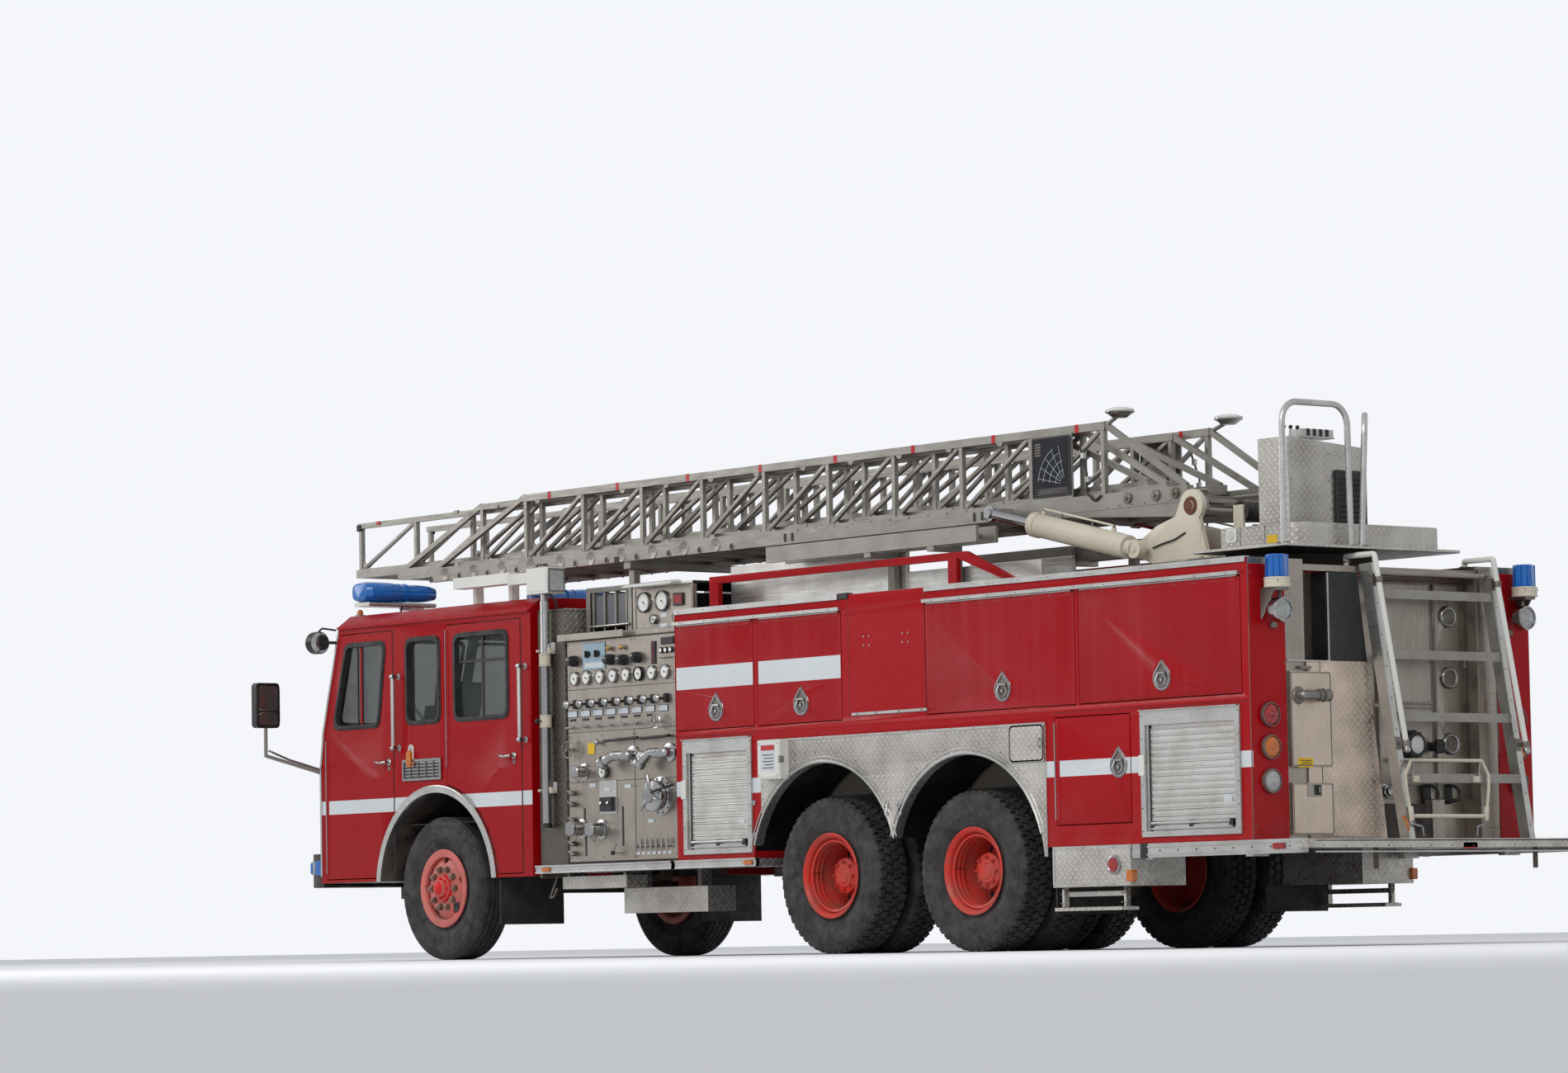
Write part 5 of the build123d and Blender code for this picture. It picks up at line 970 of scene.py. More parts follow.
@dataclass
class Wheel:
    """A wheel set: its tyres, and its rims with hub, nuts and valve."""

    frame: dict
    name: str
    side: Side
    twin: bool
    paint: Paint
    tyre_width: float = 0.282
    twin_gap: float = 0.062
    nut_circle: float = 0.143
    nuts: int = 10

    def centre(self) -> tuple[float, float, float]:
        """The hub's x and z, and the tyre's outer face across the vehicle, on the left."""
        low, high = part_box(f"{self.name}_{self.side.word}_tyre")
        out = max(abs(low.y), abs(high.y))
        return (low.x + high.x) / 2, out, (low.z + high.z) / 2

    def build(self) -> None:
        """Makes the tyre piece and the rim piece."""
        x, out, z = self.centre()
        tyres = Shape(f"{self.name}_{self.side.word}_tread")
        maker = TyreMaker(width=self.tyre_width, lugs=self.twin)
        maker.add_to(tyres, (x, out - self.tyre_width / 2, z))
        if self.twin:
            maker.add_to(tyres, (x, out - self.tyre_width * 1.5 - self.twin_gap, z))
        tyres.to_side(self.side)
        tyres.piece(f"{self.name}_{self.side.word}", None, [f"{self.name}_{self.side.word}_tyre"])
        self.rim(x, out, z)

    def rim(self, x: float, out: float, z: float) -> None:
        """The rim piece: the CAD rim with rolled edges, hub and fasteners."""
        node = f"{self.name}_{self.side.word}_rim"
        shape = Shape(f"{node}_dressed")
        if self.twin:
            self.barrels(shape, x, out, z)
        else:
            Casting(node, self.paint, edge=0.0025).add_to(shape, self.frame)
            if self.side is Side.RIGHT:
                shape.to_side(self.side)
        lip = out - self.tyre_width / 2 + 0.141 * 0.86
        shape.turned([(0.2885, 0.0), (0.2885, 0.004), (0.285, 0.0075), (0.28, 0.0075), (0.276, 0.003),
                      (0.276, 0.0)], (x, lip - 0.004, z), OUT, self.paint, 72, ring=True)
        depths = (0.045, 0.085, 0.12) if self.twin else (0.03,)
        for depth, radius in zip(depths, (0.236, 0.235, 0.234)):
            shape.turned([(radius + 0.006, 0.0), (radius - 0.006, 0.003), (radius - 0.008, 0.009),
                (radius + 0.006, 0.013)], (x, out - depth - 0.02, z), OUT, self.paint, 64, ring=True)
        if self.twin:
            face = out - self.tyre_width - self.twin_gap / 2 + 0.012
            shape.turned([(0.0, 0.176), (0.05, 0.176), (0.056, 0.17), (0.078, 0.168), (0.084, 0.16),
                          (0.104, 0.156), (0.118, 0.15), (0.1195, 0.06), (0.123, 0.05), (0.168, 0.01),
                          (0.17, 0.0), (0.0, 0.0)], (x, face, z), OUT, self.paint, 48)
            self.ring_of_nuts(shape, x, face + 0.168, z, 0.094, 8, 0.009, 0.01, self.paint)
            self.ring_of_nuts(shape, x, face + 0.028, z, self.nut_circle, self.nuts, 0.019, 0.024, self.paint)
        else:
            face = out - 0.028
            shape.turned([(0.0, 0.074), (0.03, 0.073), (0.046, 0.064), (0.058, 0.044), (0.062, 0.032),
                          (0.084, 0.03), (0.094, 0.022), (0.1, -0.01), (0.12, -0.014), (0.0, -0.016)],
                         (x, face, z), OUT, HUB_RED, 40)
            self.ring_of_nuts(shape, x, face - 0.002, z, self.nut_circle, self.nuts, 0.023, 0.03, NUT_STEEL)
            self.ring_of_nuts(shape, x, face + 0.028, z, 0.074, 8, 0.008, 0.008, HUB_RED)
            # The hand hole is a black disc: painted shade in place of the hole.
            hole = (x - 0.162, face + 0.004, z - 0.14)
            shape.turned([(0.0, 0.004), (0.028, 0.004), (0.032, 0.01), (0.036, 0.008), (0.036, -0.002),
                          (0.0, -0.002)], hole, OUT, PLASTIC, 24)
        stem = (x + 0.205, out - (0.12 if self.twin else 0.062), z + 0.02)
        shape.pipe([stem, (stem[0] + 0.004, stem[1] + 0.035, stem[2]),
                    (stem[0] + 0.012, stem[1] + 0.06, stem[2])], 0.0045, BRASS, 8, 0.01)
        if self.side is Side.RIGHT:
            shape.to_side(self.side)
        shape.piece(f"{self.name}_{self.side.word}", "rim", [node])

    def barrels(self, shape: Shape, x: float, out: float, z: float) -> None:
        """A twin set's two stepped barrels and the web between them, with its four round hand holes, each a
        black disc that stands in for the shade seen through the hole.
        """
        for edge, way in ((out - 0.02, 1), (out - self.tyre_width * 2 - self.twin_gap + 0.02, -1)):
            profile = [(0.2875, 0.0), (0.262, -0.016), (0.262, -0.17), (0.25, -0.29), (0.236, -0.29),
                       (0.236, -0.18), (0.244, -0.15), (0.244, -0.08), (0.252, -0.05), (0.252, -0.02),
                       (0.26, -0.006), (0.28, 0.006)]
            shape.turned(profile, (x, edge, z), (0, way, 0), self.paint, 72, ring=True)
        web = out - self.tyre_width - self.twin_gap / 2
        shape.turned([(0.0, 0.014), (0.17, 0.014), (0.182, 0.004), (0.238, -0.006), (0.238, -0.02),
                      (0.0, -0.02)], (x, web, z), OUT, self.paint, 64)
        for i in range(4):
            turn = math.radians(45 + 90 * i)
            at = (x + 0.204 * math.cos(turn), web + 0.0015, z + 0.204 * math.sin(turn))
            # Each hand hole is a black disc: painted shade in place of the hole.
            shape.turned([(0.0, 0.001), (0.024, 0.001), (0.024, -0.004), (0.0, -0.004)], at, OUT, PLASTIC, 28)
            shape.turned([(0.022, 0.0), (0.025, 0.004), (0.03, 0.0)], at, OUT, self.paint, 28, ring=True)

    @staticmethod
    def ring_of_nuts(shape: Shape, x: float, y: float, z: float, circle: float, count: int, radius: float,
                     height: float, finish: Finish) -> None:
        """Hexagon nuts with washers and stud ends round the hub."""
        for i in range(count):
            turn = math.tau * i / count
            a, c = x + circle * math.cos(turn), z + circle * math.sin(turn)
            shape.rod((a, y - 0.003, c), (a, y + 0.003, c), radius * 1.25, finish, sides=16)
            shape.rod((a, y, c), (a, y + height, c), radius, finish, sides=6, edge=0.001)
            shape.rod((a, y + height - 0.002, c), (a, y + height + 0.01, c), radius * 0.5, finish, sides=10)


def build_wheels(frame: dict) -> None:
    """Builds the six wheel sets."""
    for side in Side:
        Wheel(frame, "front_wheel", side, False, FADED_RED).build()
        for order in (1, 2):
            Wheel(frame, f"rear_wheel_{order}", side, True, WHEEL_RED).build()


@dataclass
class PumpPanel:
    """The pump operator's panel on one side: gauges, knobs, valves, outlets and their plates.

    Places across the panel are stations along the vehicle and heights, in metres.
    """

    frame: dict
    side: Side
    face: float = 1.2285
    gauge_row: tuple[float, float] = (1.985, 0.05)
    gauge_stations: tuple[float, ...] = (2.64, 2.5, 2.34, 2.19, 2.04, 1.89, 1.74, 1.59)
    knob_row: float = 1.8
    plate_row: float = 1.735
    lever_row: float = 1.64
    black_heads: tuple[tuple[float, float], ...] = ((2.64, 2.11), (2.21, 2.1), (2.06, 2.09), (1.9, 2.1))
    seams: tuple[float, ...] = (2.25, 1.905, 1.6, 1.245)
    body: str = "vehicle"

    def build(self) -> None:
        """Makes the panel's pieces."""
        self.face = abs(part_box("pump_panels")[1].y) - 0.045
        dials, metal = Shape(f"pump_gauges_{self.side.word}"), Shape(f"pump_valves_{self.side.word}")
        self.gauges(dials)
        self.controls(dials)
        self.outlets(metal)
        self.drains(metal)
        for shape in (dials, metal):
            shape.to_side(self.side)
            shape.piece(self.body, "chrome", ["pump_fittings"])

    def gauge(self, shape: Shape, x: float, z: float, radius: float, face: float, bezel: Finish = CHROME,
              turn: float = 0.6) -> None:
        """A pressure gauge: a turned bezel, a pale dial with ticks, a needle and its glass."""
        place = (stn(x), face, z)
        shape.turned([(0.0, 0.0), (radius, 0.0), (radius * 1.04, 0.004), (radius * 1.02, 0.02),
                      (radius * 0.92, 0.024), (radius * 0.86, 0.018), (radius * 0.84, 0.013), (0.0, 0.013)],
                     place, OUT, bezel, 32)
        shape.bar(Y, face + 0.012, face + 0.0145, (stn(x), z), radius * 0.83, DIAL, sides=32)
        for i in range(11):
            angle = math.radians(-135 + 27 * i)
            a = Vector((math.sin(angle), 0, math.cos(angle)))
            inner = Vector((stn(x), face + 0.0148, z)) + a * radius * 0.62
            outer = Vector((stn(x), face + 0.0148, z)) + a * radius * 0.76
            shape.rod(inner, outer, 0.0011, PLASTIC, sides=4)
        tip = Vector((stn(x) - math.sin(turn) * radius * 0.62, face + 0.0165, z - math.cos(turn) * radius
                      * 0.5))
        shape.rod((stn(x), face + 0.0165, z), tip, 0.0022, PLASTIC, end=0.0008, sides=6)
        shape.bar(Y, face + 0.013, face + 0.019, (stn(x), z), 0.006, PLASTIC, sides=12)

    def gauges(self, shape: Shape) -> None:
        """The row of eight, the row of black heads and the small round ones between the outlets."""
        z, radius = self.gauge_row
        for i, x in enumerate(self.gauge_stations):
            self.gauge(shape, x, z, radius, self.face, BLACK if i == 5 else CHROME, 0.5 + 0.23 * (i % 4))
        for x, z in self.black_heads:
            for reach, size in ((0.03, 0.04), (0.052, 0.036), (0.066, 0.03)):
                shape.bar(Y, self.face, self.face + reach, (stn(x), z), size, PLASTIC, sides=20, edge=0.003)
            shape.box((stn(x) - 0.018, self.face + 0.064, z + 0.004),
                      (stn(x) + 0.018, self.face + 0.072, z + 0.018), CHROME)
        self.gauge(shape, 2.31, 1.31, 0.046, self.face + 0.012)
        self.gauge(shape, 1.87, 1.4, 0.044, self.face + 0.012, turn=1.2)

    def controls(self, shape: Shape) -> None:
        """The light blue switch panel, indicators, pull knobs, name plates, levers and handwheels."""
        near = self.face
        shape.box((stn(2.28), near, 2.04), (stn(2.54), near + 0.006, 2.23), PANEL_BLUE)
        shape.box((stn(2.3), near + 0.004, 2.05), (stn(2.52), near + 0.009, 2.09), LABEL)
        for x in (2.47, 2.36):
            shape.bar(Y, near, near + 0.03, (stn(x), 2.15), 0.024, PLASTIC, sides=24, edge=0.003)
            shape.box((stn(x) - 0.006, near + 0.024, 2.125), (stn(x) + 0.006, near + 0.042, 2.175), PLASTIC)
        for x in (2.22, 2.07):
            shape.ball((stn(x), near + 0.024, 2.18), (0.02, 0.014, 0.02), BRASS, 14)
            shape.bar(Y, near, near + 0.024, (stn(x), 2.18), 0.012, CHROME, sides=12)
        shape.box((stn(1.695), near, 2.045), (stn(1.745), near + 0.008, 2.205), PLASTIC)
        for i in range(7):
            shape.bar(Y, near + 0.006, near + 0.012, (stn(1.72), 2.062 + 0.021 * i), 0.007, RED_LENS,
                      sides=10)
        shape.box((stn(1.49), near, 2.175), (stn(1.63), near + 0.01, 2.225), PLASTIC)
        for x in (1.63, 1.575, 1.52):
            shape.bar(Y, near, near + 0.014, (stn(x), 2.135), 0.022, PLASTIC, sides=18, edge=0.002)
            shape.bar(Y, near, near + 0.016, (stn(x), 2.135), 0.014, DIAL, sides=18)
            shape.rod((stn(x), near, 2.08), (stn(x) - 0.01, near + 0.03, 2.085), 0.005, CHROME, sides=8)
        for i in range(len(self.gauge_stations)):
            x = 2.675 - 0.15 * i
            shape.bar(Y, near, near + 0.048, (stn(x), self.knob_row), 0.012, CHROME, sides=12)
            shape.turned([(0.0, 0.034), (0.02, 0.032), (0.029, 0.022), (0.03, 0.01), (0.024, 0.0),
                          (0.0, 0.0)], (stn(x), near + 0.04, self.knob_row), OUT, CHROME, 20)
            shape.box((stn(x) - 0.066, near, self.knob_row - 0.032),
                      (stn(x) - 0.036, near + 0.03, self.knob_row + 0.032), PLASTIC, 0.004)
            shape.box((stn(x) - 0.058, near, self.plate_row - 0.026),
                      (stn(x) + 0.056, near + 0.003, self.plate_row + 0.022), PLASTIC, 0.0)
            shape.box((stn(x) - 0.054, near, self.plate_row - 0.022),
                      (stn(x) + 0.052, near + 0.004, self.plate_row + 0.018), LABEL, 0.0)
            if i < 7:
                shape.box((stn(x) - 0.036, near, 1.682), (stn(x) + 0.034, near + 0.003, 1.698), PLASTIC, 0.0)
                shape.rod((stn(x) - 0.05, near + 0.03, self.lever_row),
                          (stn(x) + 0.05, near + 0.03, self.lever_row - 0.004), 0.007, CHROME, sides=10)
                shape.bar(Y, near, near + 0.034, (stn(x), self.lever_row), 0.01, CHROME, sides=12)
        self.handwheel(shape, 1.65, 1.64, 0.05, CHROME)
        self.handwheel(shape, 2.68, 1.48, 0.058, STEEL)
        shape.box((stn(2.42), near, 1.44), (stn(2.5), near + 0.004, 1.52), YELLOW)
        for x0, x1 in ((2.24, 1.86), (1.82, 1.5)):
            shape.rod((stn(x0), near + 0.05, 1.525), (stn(x1), near + 0.05, 1.535), 0.011, PLASTIC, sides=12)
            shape.bar(Y, near, near + 0.052, (stn(x1) + 0.01, 1.535), 0.009, CHROME, sides=10)
        for z in self.seams:
            shape.box((stn(1.485), near - 0.001, z - 0.002), (stn(2.73), near + 0.0006, z + 0.002), PLASTIC,
                      0.0)
        shape.box((stn(1.955), near - 0.001, 0.69), (stn(1.959), near + 0.0006, 1.6), PLASTIC, 0.0)
        for x, z0, z1 in ((2.55, 0.95, 1.06), (2.105, 0.78, 1.06), (2.54, 0.72, 0.86)):
            shape.box((stn(x) - 0.009, near - 0.001, z0), (stn(x) + 0.009, near + 0.0012, z1), PLASTIC, 0.0)
        for x, z in ((1.6, 2.38), (1.6, 2.31), (2.04, 1.2), (2.45, 1.22), (1.78, 0.95)):
            shape.box((stn(x) - 0.035, near, z - 0.013), (stn(x) + 0.035, near + 0.003, z + 0.013), LABEL,
                      0.0)
        for x in (1.5, 1.94, 1.98, 2.34, 2.72):
            for z in (0.71, 1.2, 1.57, 1.63, 1.93, 2.23):
                shape.ball((stn(x), near + 0.0005, z), (0.006, 0.003, 0.006), STEEL, 10)
        shape.box((stn(2.17), near, 1.01), (stn(2.37), near + 0.004, 1.25), ALUMINIUM)
        shape.box((stn(2.2), near, 1.03), (stn(2.34), near + 0.03, 1.13), PLASTIC, 0.004)
        for x in (2.23, 2.31):
            shape.rod((stn(x), near + 0.02, 1.08), (stn(x), near + 0.045, 1.09), 0.01, CHROME, sides=12)
        shape.box((stn(2.24), near, 1.17), (stn(2.31), near + 0.01, 1.2), LABEL)

    def handwheel(self, shape: Shape, x: float, z: float, radius: float, finish: Finish) -> None:
        """A valve's handwheel with three spokes on its stem."""
        hub = Vector((stn(x), self.face + 0.05, z))
        loop = [(radius - 0.006, -0.004), (radius, -0.006), (radius + 0.006, 0.0), (radius, 0.006),
                (radius - 0.006, 0.004)]
        shape.turned(loop, hub, OUT, finish, 32, ring=True)
        for i in range(3):
            turn = math.radians(90 + 120 * i)
            shape.rod(hub, hub + Vector((math.cos(turn), 0, math.sin(turn))) * radius, 0.005, finish, sides=8)
        shape.bar(Y, self.face, self.face + 0.062, (stn(x), z), 0.011, finish, sides=12)

    def outlet(self, shape: Shape, x: float, z: float, reach: float, radius: float, cap: bool) -> None:
        """A threaded hose outlet with its flange, and with a lugged cap where one is fitted."""
        near = self.face
        shape.turned([(0.0, 0.0), (radius * 1.55, 0.0), (radius * 1.55, 0.008), (radius * 1.1, 0.012),
            (radius, 0.02), (radius, reach * 0.7), (radius * 1.14, reach * 0.74),
            (radius * 1.14, reach * 0.86), (radius, reach * 0.9), (radius, reach), (radius * 0.8, reach),
            (radius * 0.78, reach - 0.02), (0.0, reach - 0.02)], (stn(x), near, z), OUT, CHROME, 28)
        for i in range(4):
            turn = math.radians(45 + 90 * i)
            out = Vector((math.cos(turn), 0, math.sin(turn)))
            hub = Vector((stn(x), near + 0.004, z))
            shape.rod(hub + out * radius * 1.34, hub + out * radius * 1.34 + Vector((0, 0.01, 0)), 0.006,
                      STEEL, sides=6)
            if cap:
                lug = Vector((stn(x), near + reach + 0.008, z)) + out * radius * 1.05
                shape.ball(lug, (0.013, 0.012, 0.013), CHROME, 10)
        if cap:
            shape.turned([(0.0, 0.026), (radius * 0.9, 0.024), (radius * 1.12, 0.016), (radius * 1.15, 0.0),
                          (0.0, 0.0)], (stn(x), near + reach - 0.006, z), OUT, CHROME, 28)
            shape.pipe([(stn(x) + radius * 1.2, near + 0.01, z - 0.03), (stn(x) + radius * 1.2, near + 0.02,
                z - 0.09), (stn(x) + 0.01, near + reach * 0.6, z - radius * 1.9),
                (stn(x), near + reach + 0.01, z - radius * 1.1)], 0.0028, CHROME, 6, 0.03)

    def elbow(self, shape: Shape, x0: float, z0: float, x1: float, z1: float, radius: float) -> None:
        """A discharge elbow: a swept pipe along the panel that turns down and out."""
        near = self.face
        shape.turned([(0.0, 0.0), (radius * 1.5, 0.0), (radius * 1.5, 0.012), (radius * 1.1, 0.016),
                      (0.0, 0.016)], (stn(x0), near, z0), OUT, CHROME, 28)
        route = [(stn(x0), near, z0), (stn(x0), near + 0.055, z0), (stn(x0 + (x1 - x0) * 0.7), near + 0.075,
            z0), (stn(x1), near + 0.1, z1 - 0.03)]
        shape.pipe(route, radius * 0.82, CHROME, 20, 0.05)
        end = Vector((stn(x1), near + 0.1, z1 - 0.03))
        run = (end - Vector(route[2])).normalized()
        shape.rod(end - run * 0.012, end + run * 0.022, radius * 1.08, CHROME, sides=28, edge=0.003)
        shape.rod(end + run * 0.021, end + run * 0.024, radius * 0.8, PLASTIC, sides=24)

    def outlets(self, shape: Shape) -> None:
        """Elbows, capped outlets and the big suction inlet with its three-armed cap."""
        self.elbow(shape, 1.97, 1.415, 2.2, 1.4, 0.044)
        self.elbow(shape, 1.55, 1.42, 1.77, 1.38, 0.044)
        self.outlet(shape, 2.54, 1.32, 0.085, 0.038, True)
        self.outlet(shape, 2.58, 0.915, 0.105, 0.046, True)
        self.outlet(shape, 2.35, 0.905, 0.105, 0.046, True)
        x, z, near = 1.66, 1.12, self.face
        shape.turned([(0.0, 0.0), (0.135, 0.0), (0.135, 0.008), (0.108, 0.014), (0.098, 0.022),
                      (0.098, 0.055), (0.112, 0.062), (0.114, 0.088), (0.104, 0.096), (0.05, 0.103),
                      (0.044, 0.118), (0.0, 0.12)], (stn(x), near, z), OUT, CHROME, 40)
        for i in range(3):
            turn = math.radians(80 + 120 * i)
            out = Vector((math.cos(turn), 0, math.sin(turn)))
            hub = Vector((stn(x), near + 0.1, z))
            shape.rod(hub + out * 0.03, hub + out * 0.15, 0.015, CHROME, end=0.011, sides=14, edge=0.004)
        for i in range(12):
            turn = math.radians(30 * i + 15)
            spot = Vector((stn(x) + 0.123 * math.cos(turn), near + 0.006, z + 0.123 * math.sin(turn)))
            shape.rod(spot, spot + Vector((0, 0.01, 0)), 0.007, STEEL, sides=6)
        shape.pipe([(stn(1.5), near + 0.02, 1.19), (stn(1.52), near + 0.1, 1.17),
                    (stn(1.6), near + 0.14, 1.14)], 0.01, PLASTIC, 10, 0.04)

    def drains(self, shape: Shape) -> None:
        """Small drain cocks in a row at the foot and a column of valves by the cab."""
        near = self.face
        for x in (1.93, 1.87, 1.81, 1.75, 1.69, 1.63, 1.57):
            shape.bar(Y, near, near + 0.034, (stn(x), 0.775), 0.013, CHROME, sides=14)
            shape.bar(Z, 0.755, 0.822, (stn(x), near + 0.028), 0.007, CHROME, end=0.01, sides=10)
            shape.box((stn(x) - 0.02, near, 0.715), (stn(x) + 0.02, near + 0.003, 0.735), LABEL, 0.0)
        for z in (1.17, 1.09, 0.98, 0.89, 0.81, 0.74):
            shape.bar(Y, near, near + 0.04, (stn(2.67), z), 0.018, STEEL, sides=14, edge=0.002)
            shape.rod((stn(2.7), near + 0.034, z + 0.018), (stn(2.63), near + 0.04, z - 0.008), 0.008, CHROME,
                      sides=10)
        shape.pipe([(stn(2.16), near, 0.735), (stn(2.16), near + 0.05, 0.735),
                    (stn(2.12), near + 0.055, 0.8)], 0.008, CHROME, 10, 0.02)
        shape.ball((stn(2.16), near + 0.052, 0.735), (0.018, 0.018, 0.018), PLASTIC, 14)
        shape.ball((stn(2.36), near + 0.03, 1.52), (0.022, 0.022, 0.022), CHROME, 16)
        shape.bar(Y, near, near + 0.03, (stn(2.36), 1.52), 0.012, CHROME, sides=12)


SKIN = 1.25
FRONT_WINDOW = ((stn(5.48), 2.375), (stn(4.965), 2.375), (stn(5.06), 1.75), (stn(5.66), 1.75))
MID_WINDOW = rect(stn(4.275), stn(4.7), 1.75, 2.375)
REAR_WINDOW = rect(stn(3.425), stn(4.09), 1.75, 2.375)


def screen_x(z: float) -> float:
    """The slanted front face's x at a height."""
    return stn(5.8 - 0.22 * (z - 1.735) / 0.785)


@dataclass
class CabDoor:
    """A cab door: its casting, window seal, lever handle, hinge and inner trim."""

    frame: dict
    side: Side
    name: str
    window: Sequence[tuple[float, float]]
    lever: tuple[float, float]
    hinge: tuple[float, float, float]
    inner: tuple[float, float, float, float]

    def build(self) -> None:
        """Makes the door's casting and fittings one piece."""
        node = f"cab_door_{self.name}_{self.side.word}"
        sign = float(self.side.value)
        casting = Shape(f"{node}_panel")
        Casting(node, CAB_RED, paired(GLASS, (-FAR, 1.21, WINDOW_FOOT), (FAR, 1.232, WINDOW_HEAD),
            (0.0, 1.0, 0.0)) + paired(GLASS, (-FAR, 1.21, WINDOW_FOOT), (FAR, 1.232, WINDOW_HEAD),
            (0.0, -1.0, 0.0)) + stripe_areas(), 0.004, STRIPE_CUTS,
            (((0.0, sign * (SKIN + 0.0001), 0.0), (0.0, sign, 0.0)),)).add_to(casting, self.frame)
        body = self.frame["nodes"][node]["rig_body"]
        casting.piece(body, CAB_RED.slot, [node])
        shape = Shape(f"{node}_fittings")
        window_seal(shape, self.window, SKIN)
        self.handle(shape)
        x, low, high = self.hinge
        shape.bar(Z, low, high, (x, SKIN + 0.005), 0.0046, CHROME, sides=12)
        shape.box((x - 0.03, SKIN - 0.001, low), (x - 0.003, SKIN + 0.003, high), CAB_RED, 0.001)
        self.lining(shape)
        self.sliders(shape)
        shape.to_side(self.side)
        shape.piece(body, "chrome")

    def handle(self, shape: Shape) -> None:
        """The lever: a rose, a neck and a blade that tapers forward."""
        x, z = self.lever
        shape.turned([(0.0, 0.012), (0.02, 0.011), (0.027, 0.004), (0.028, 0.0), (0.0, 0.0)], (x, SKIN, z),
                     OUT, CHROME, 24)
        shape.rod((x, SKIN, z), (x, SKIN + 0.036, z), 0.011, CHROME, sides=16)
        shape.rod((x - 0.012, SKIN + 0.036, z), (x + 0.085, SKIN + 0.04, z - 0.004), 0.012, CHROME, end=0.009,
                  sides=14, edge=0.003)
        shape.rod((x + 0.08, SKIN + 0.04, z - 0.004), (x + 0.165, SKIN + 0.026, z + 0.01), 0.009, CHROME,
                  end=0.006, sides=14, edge=0.003)
        shape.box((x - 0.02, SKIN, z - 0.06), (x + 0.016, SKIN + 0.003, z - 0.035), STEEL, 0.001)

    def lining(self, shape: Shape) -> None:
        """The inner trim panel with its armrest, pull and winder."""
        x0, x1, z0, z1 = self.inner
        near = SKIN - 0.05
        shape.tile((x0, x1, z0, z1), 0.04, View.SIDE, near - 0.014, near + 0.002, VINYL, 0.004)
        shape.box((x0 + 0.08, near - 0.06, z1 - 0.1), (x1 - 0.1, near - 0.012, z1 - 0.05), PLASTIC, 0.015, 3)
        shape.rod((x0 + 0.1, near - 0.03, z1 - 0.17), (x0 + 0.2, near - 0.04, z1 - 0.17), 0.008, CHROME,
                  sides=12)
        shape.bar(Y, near, near - 0.032, (x0 + 0.1, z1 - 0.17), 0.014, CHROME, sides=16)

    def sliders(self, shape: Shape) -> None:
        """The dark frames of the sliding halves of the window."""
        low, high = WINDOW_FOOT, WINDOW_HEAD
        bars = ((stn(5.285), stn(5.315)), (stn(5.345), stn(5.358))) if self.name == "front" else ((stn(3.745),
            stn(3.77)),)
        for x0, x1 in bars:
            shape.box((x0, SKIN - 0.023, low), (x1, SKIN - 0.012, high), PLASTIC, 0.002)
        if self.name == "rear":
            shape.box((stn(3.43), SKIN - 0.023, 2.165), (stn(4.085), SKIN - 0.013, 2.185), PLASTIC, 0.002)


def window_seal(shape: Shape, window: Sequence[tuple[float, float]], skin: float, view: View = View.SIDE,
                depth: float = 0.034, lean: Callable[[float], float] | None = None) -> None:
    """A black rubber seal round a window: a lip on the skin, its bead and a channel in to the pane."""
    inner = rounded(grown(window, -0.02), 0.055)
    shape.band(rounded(grown(window, 0.014), 0.075), inner, view, skin - 0.002, skin + 0.005, RUBBER, lean)
    shape.band(rounded(grown(window, 0.002), 0.068), inner, view, skin + 0.004, skin + 0.011, RUBBER, lean)
    shape.band(rounded(grown(window, -0.0005), 0.002), inner, view, skin - depth, skin, RUBBER, lean)


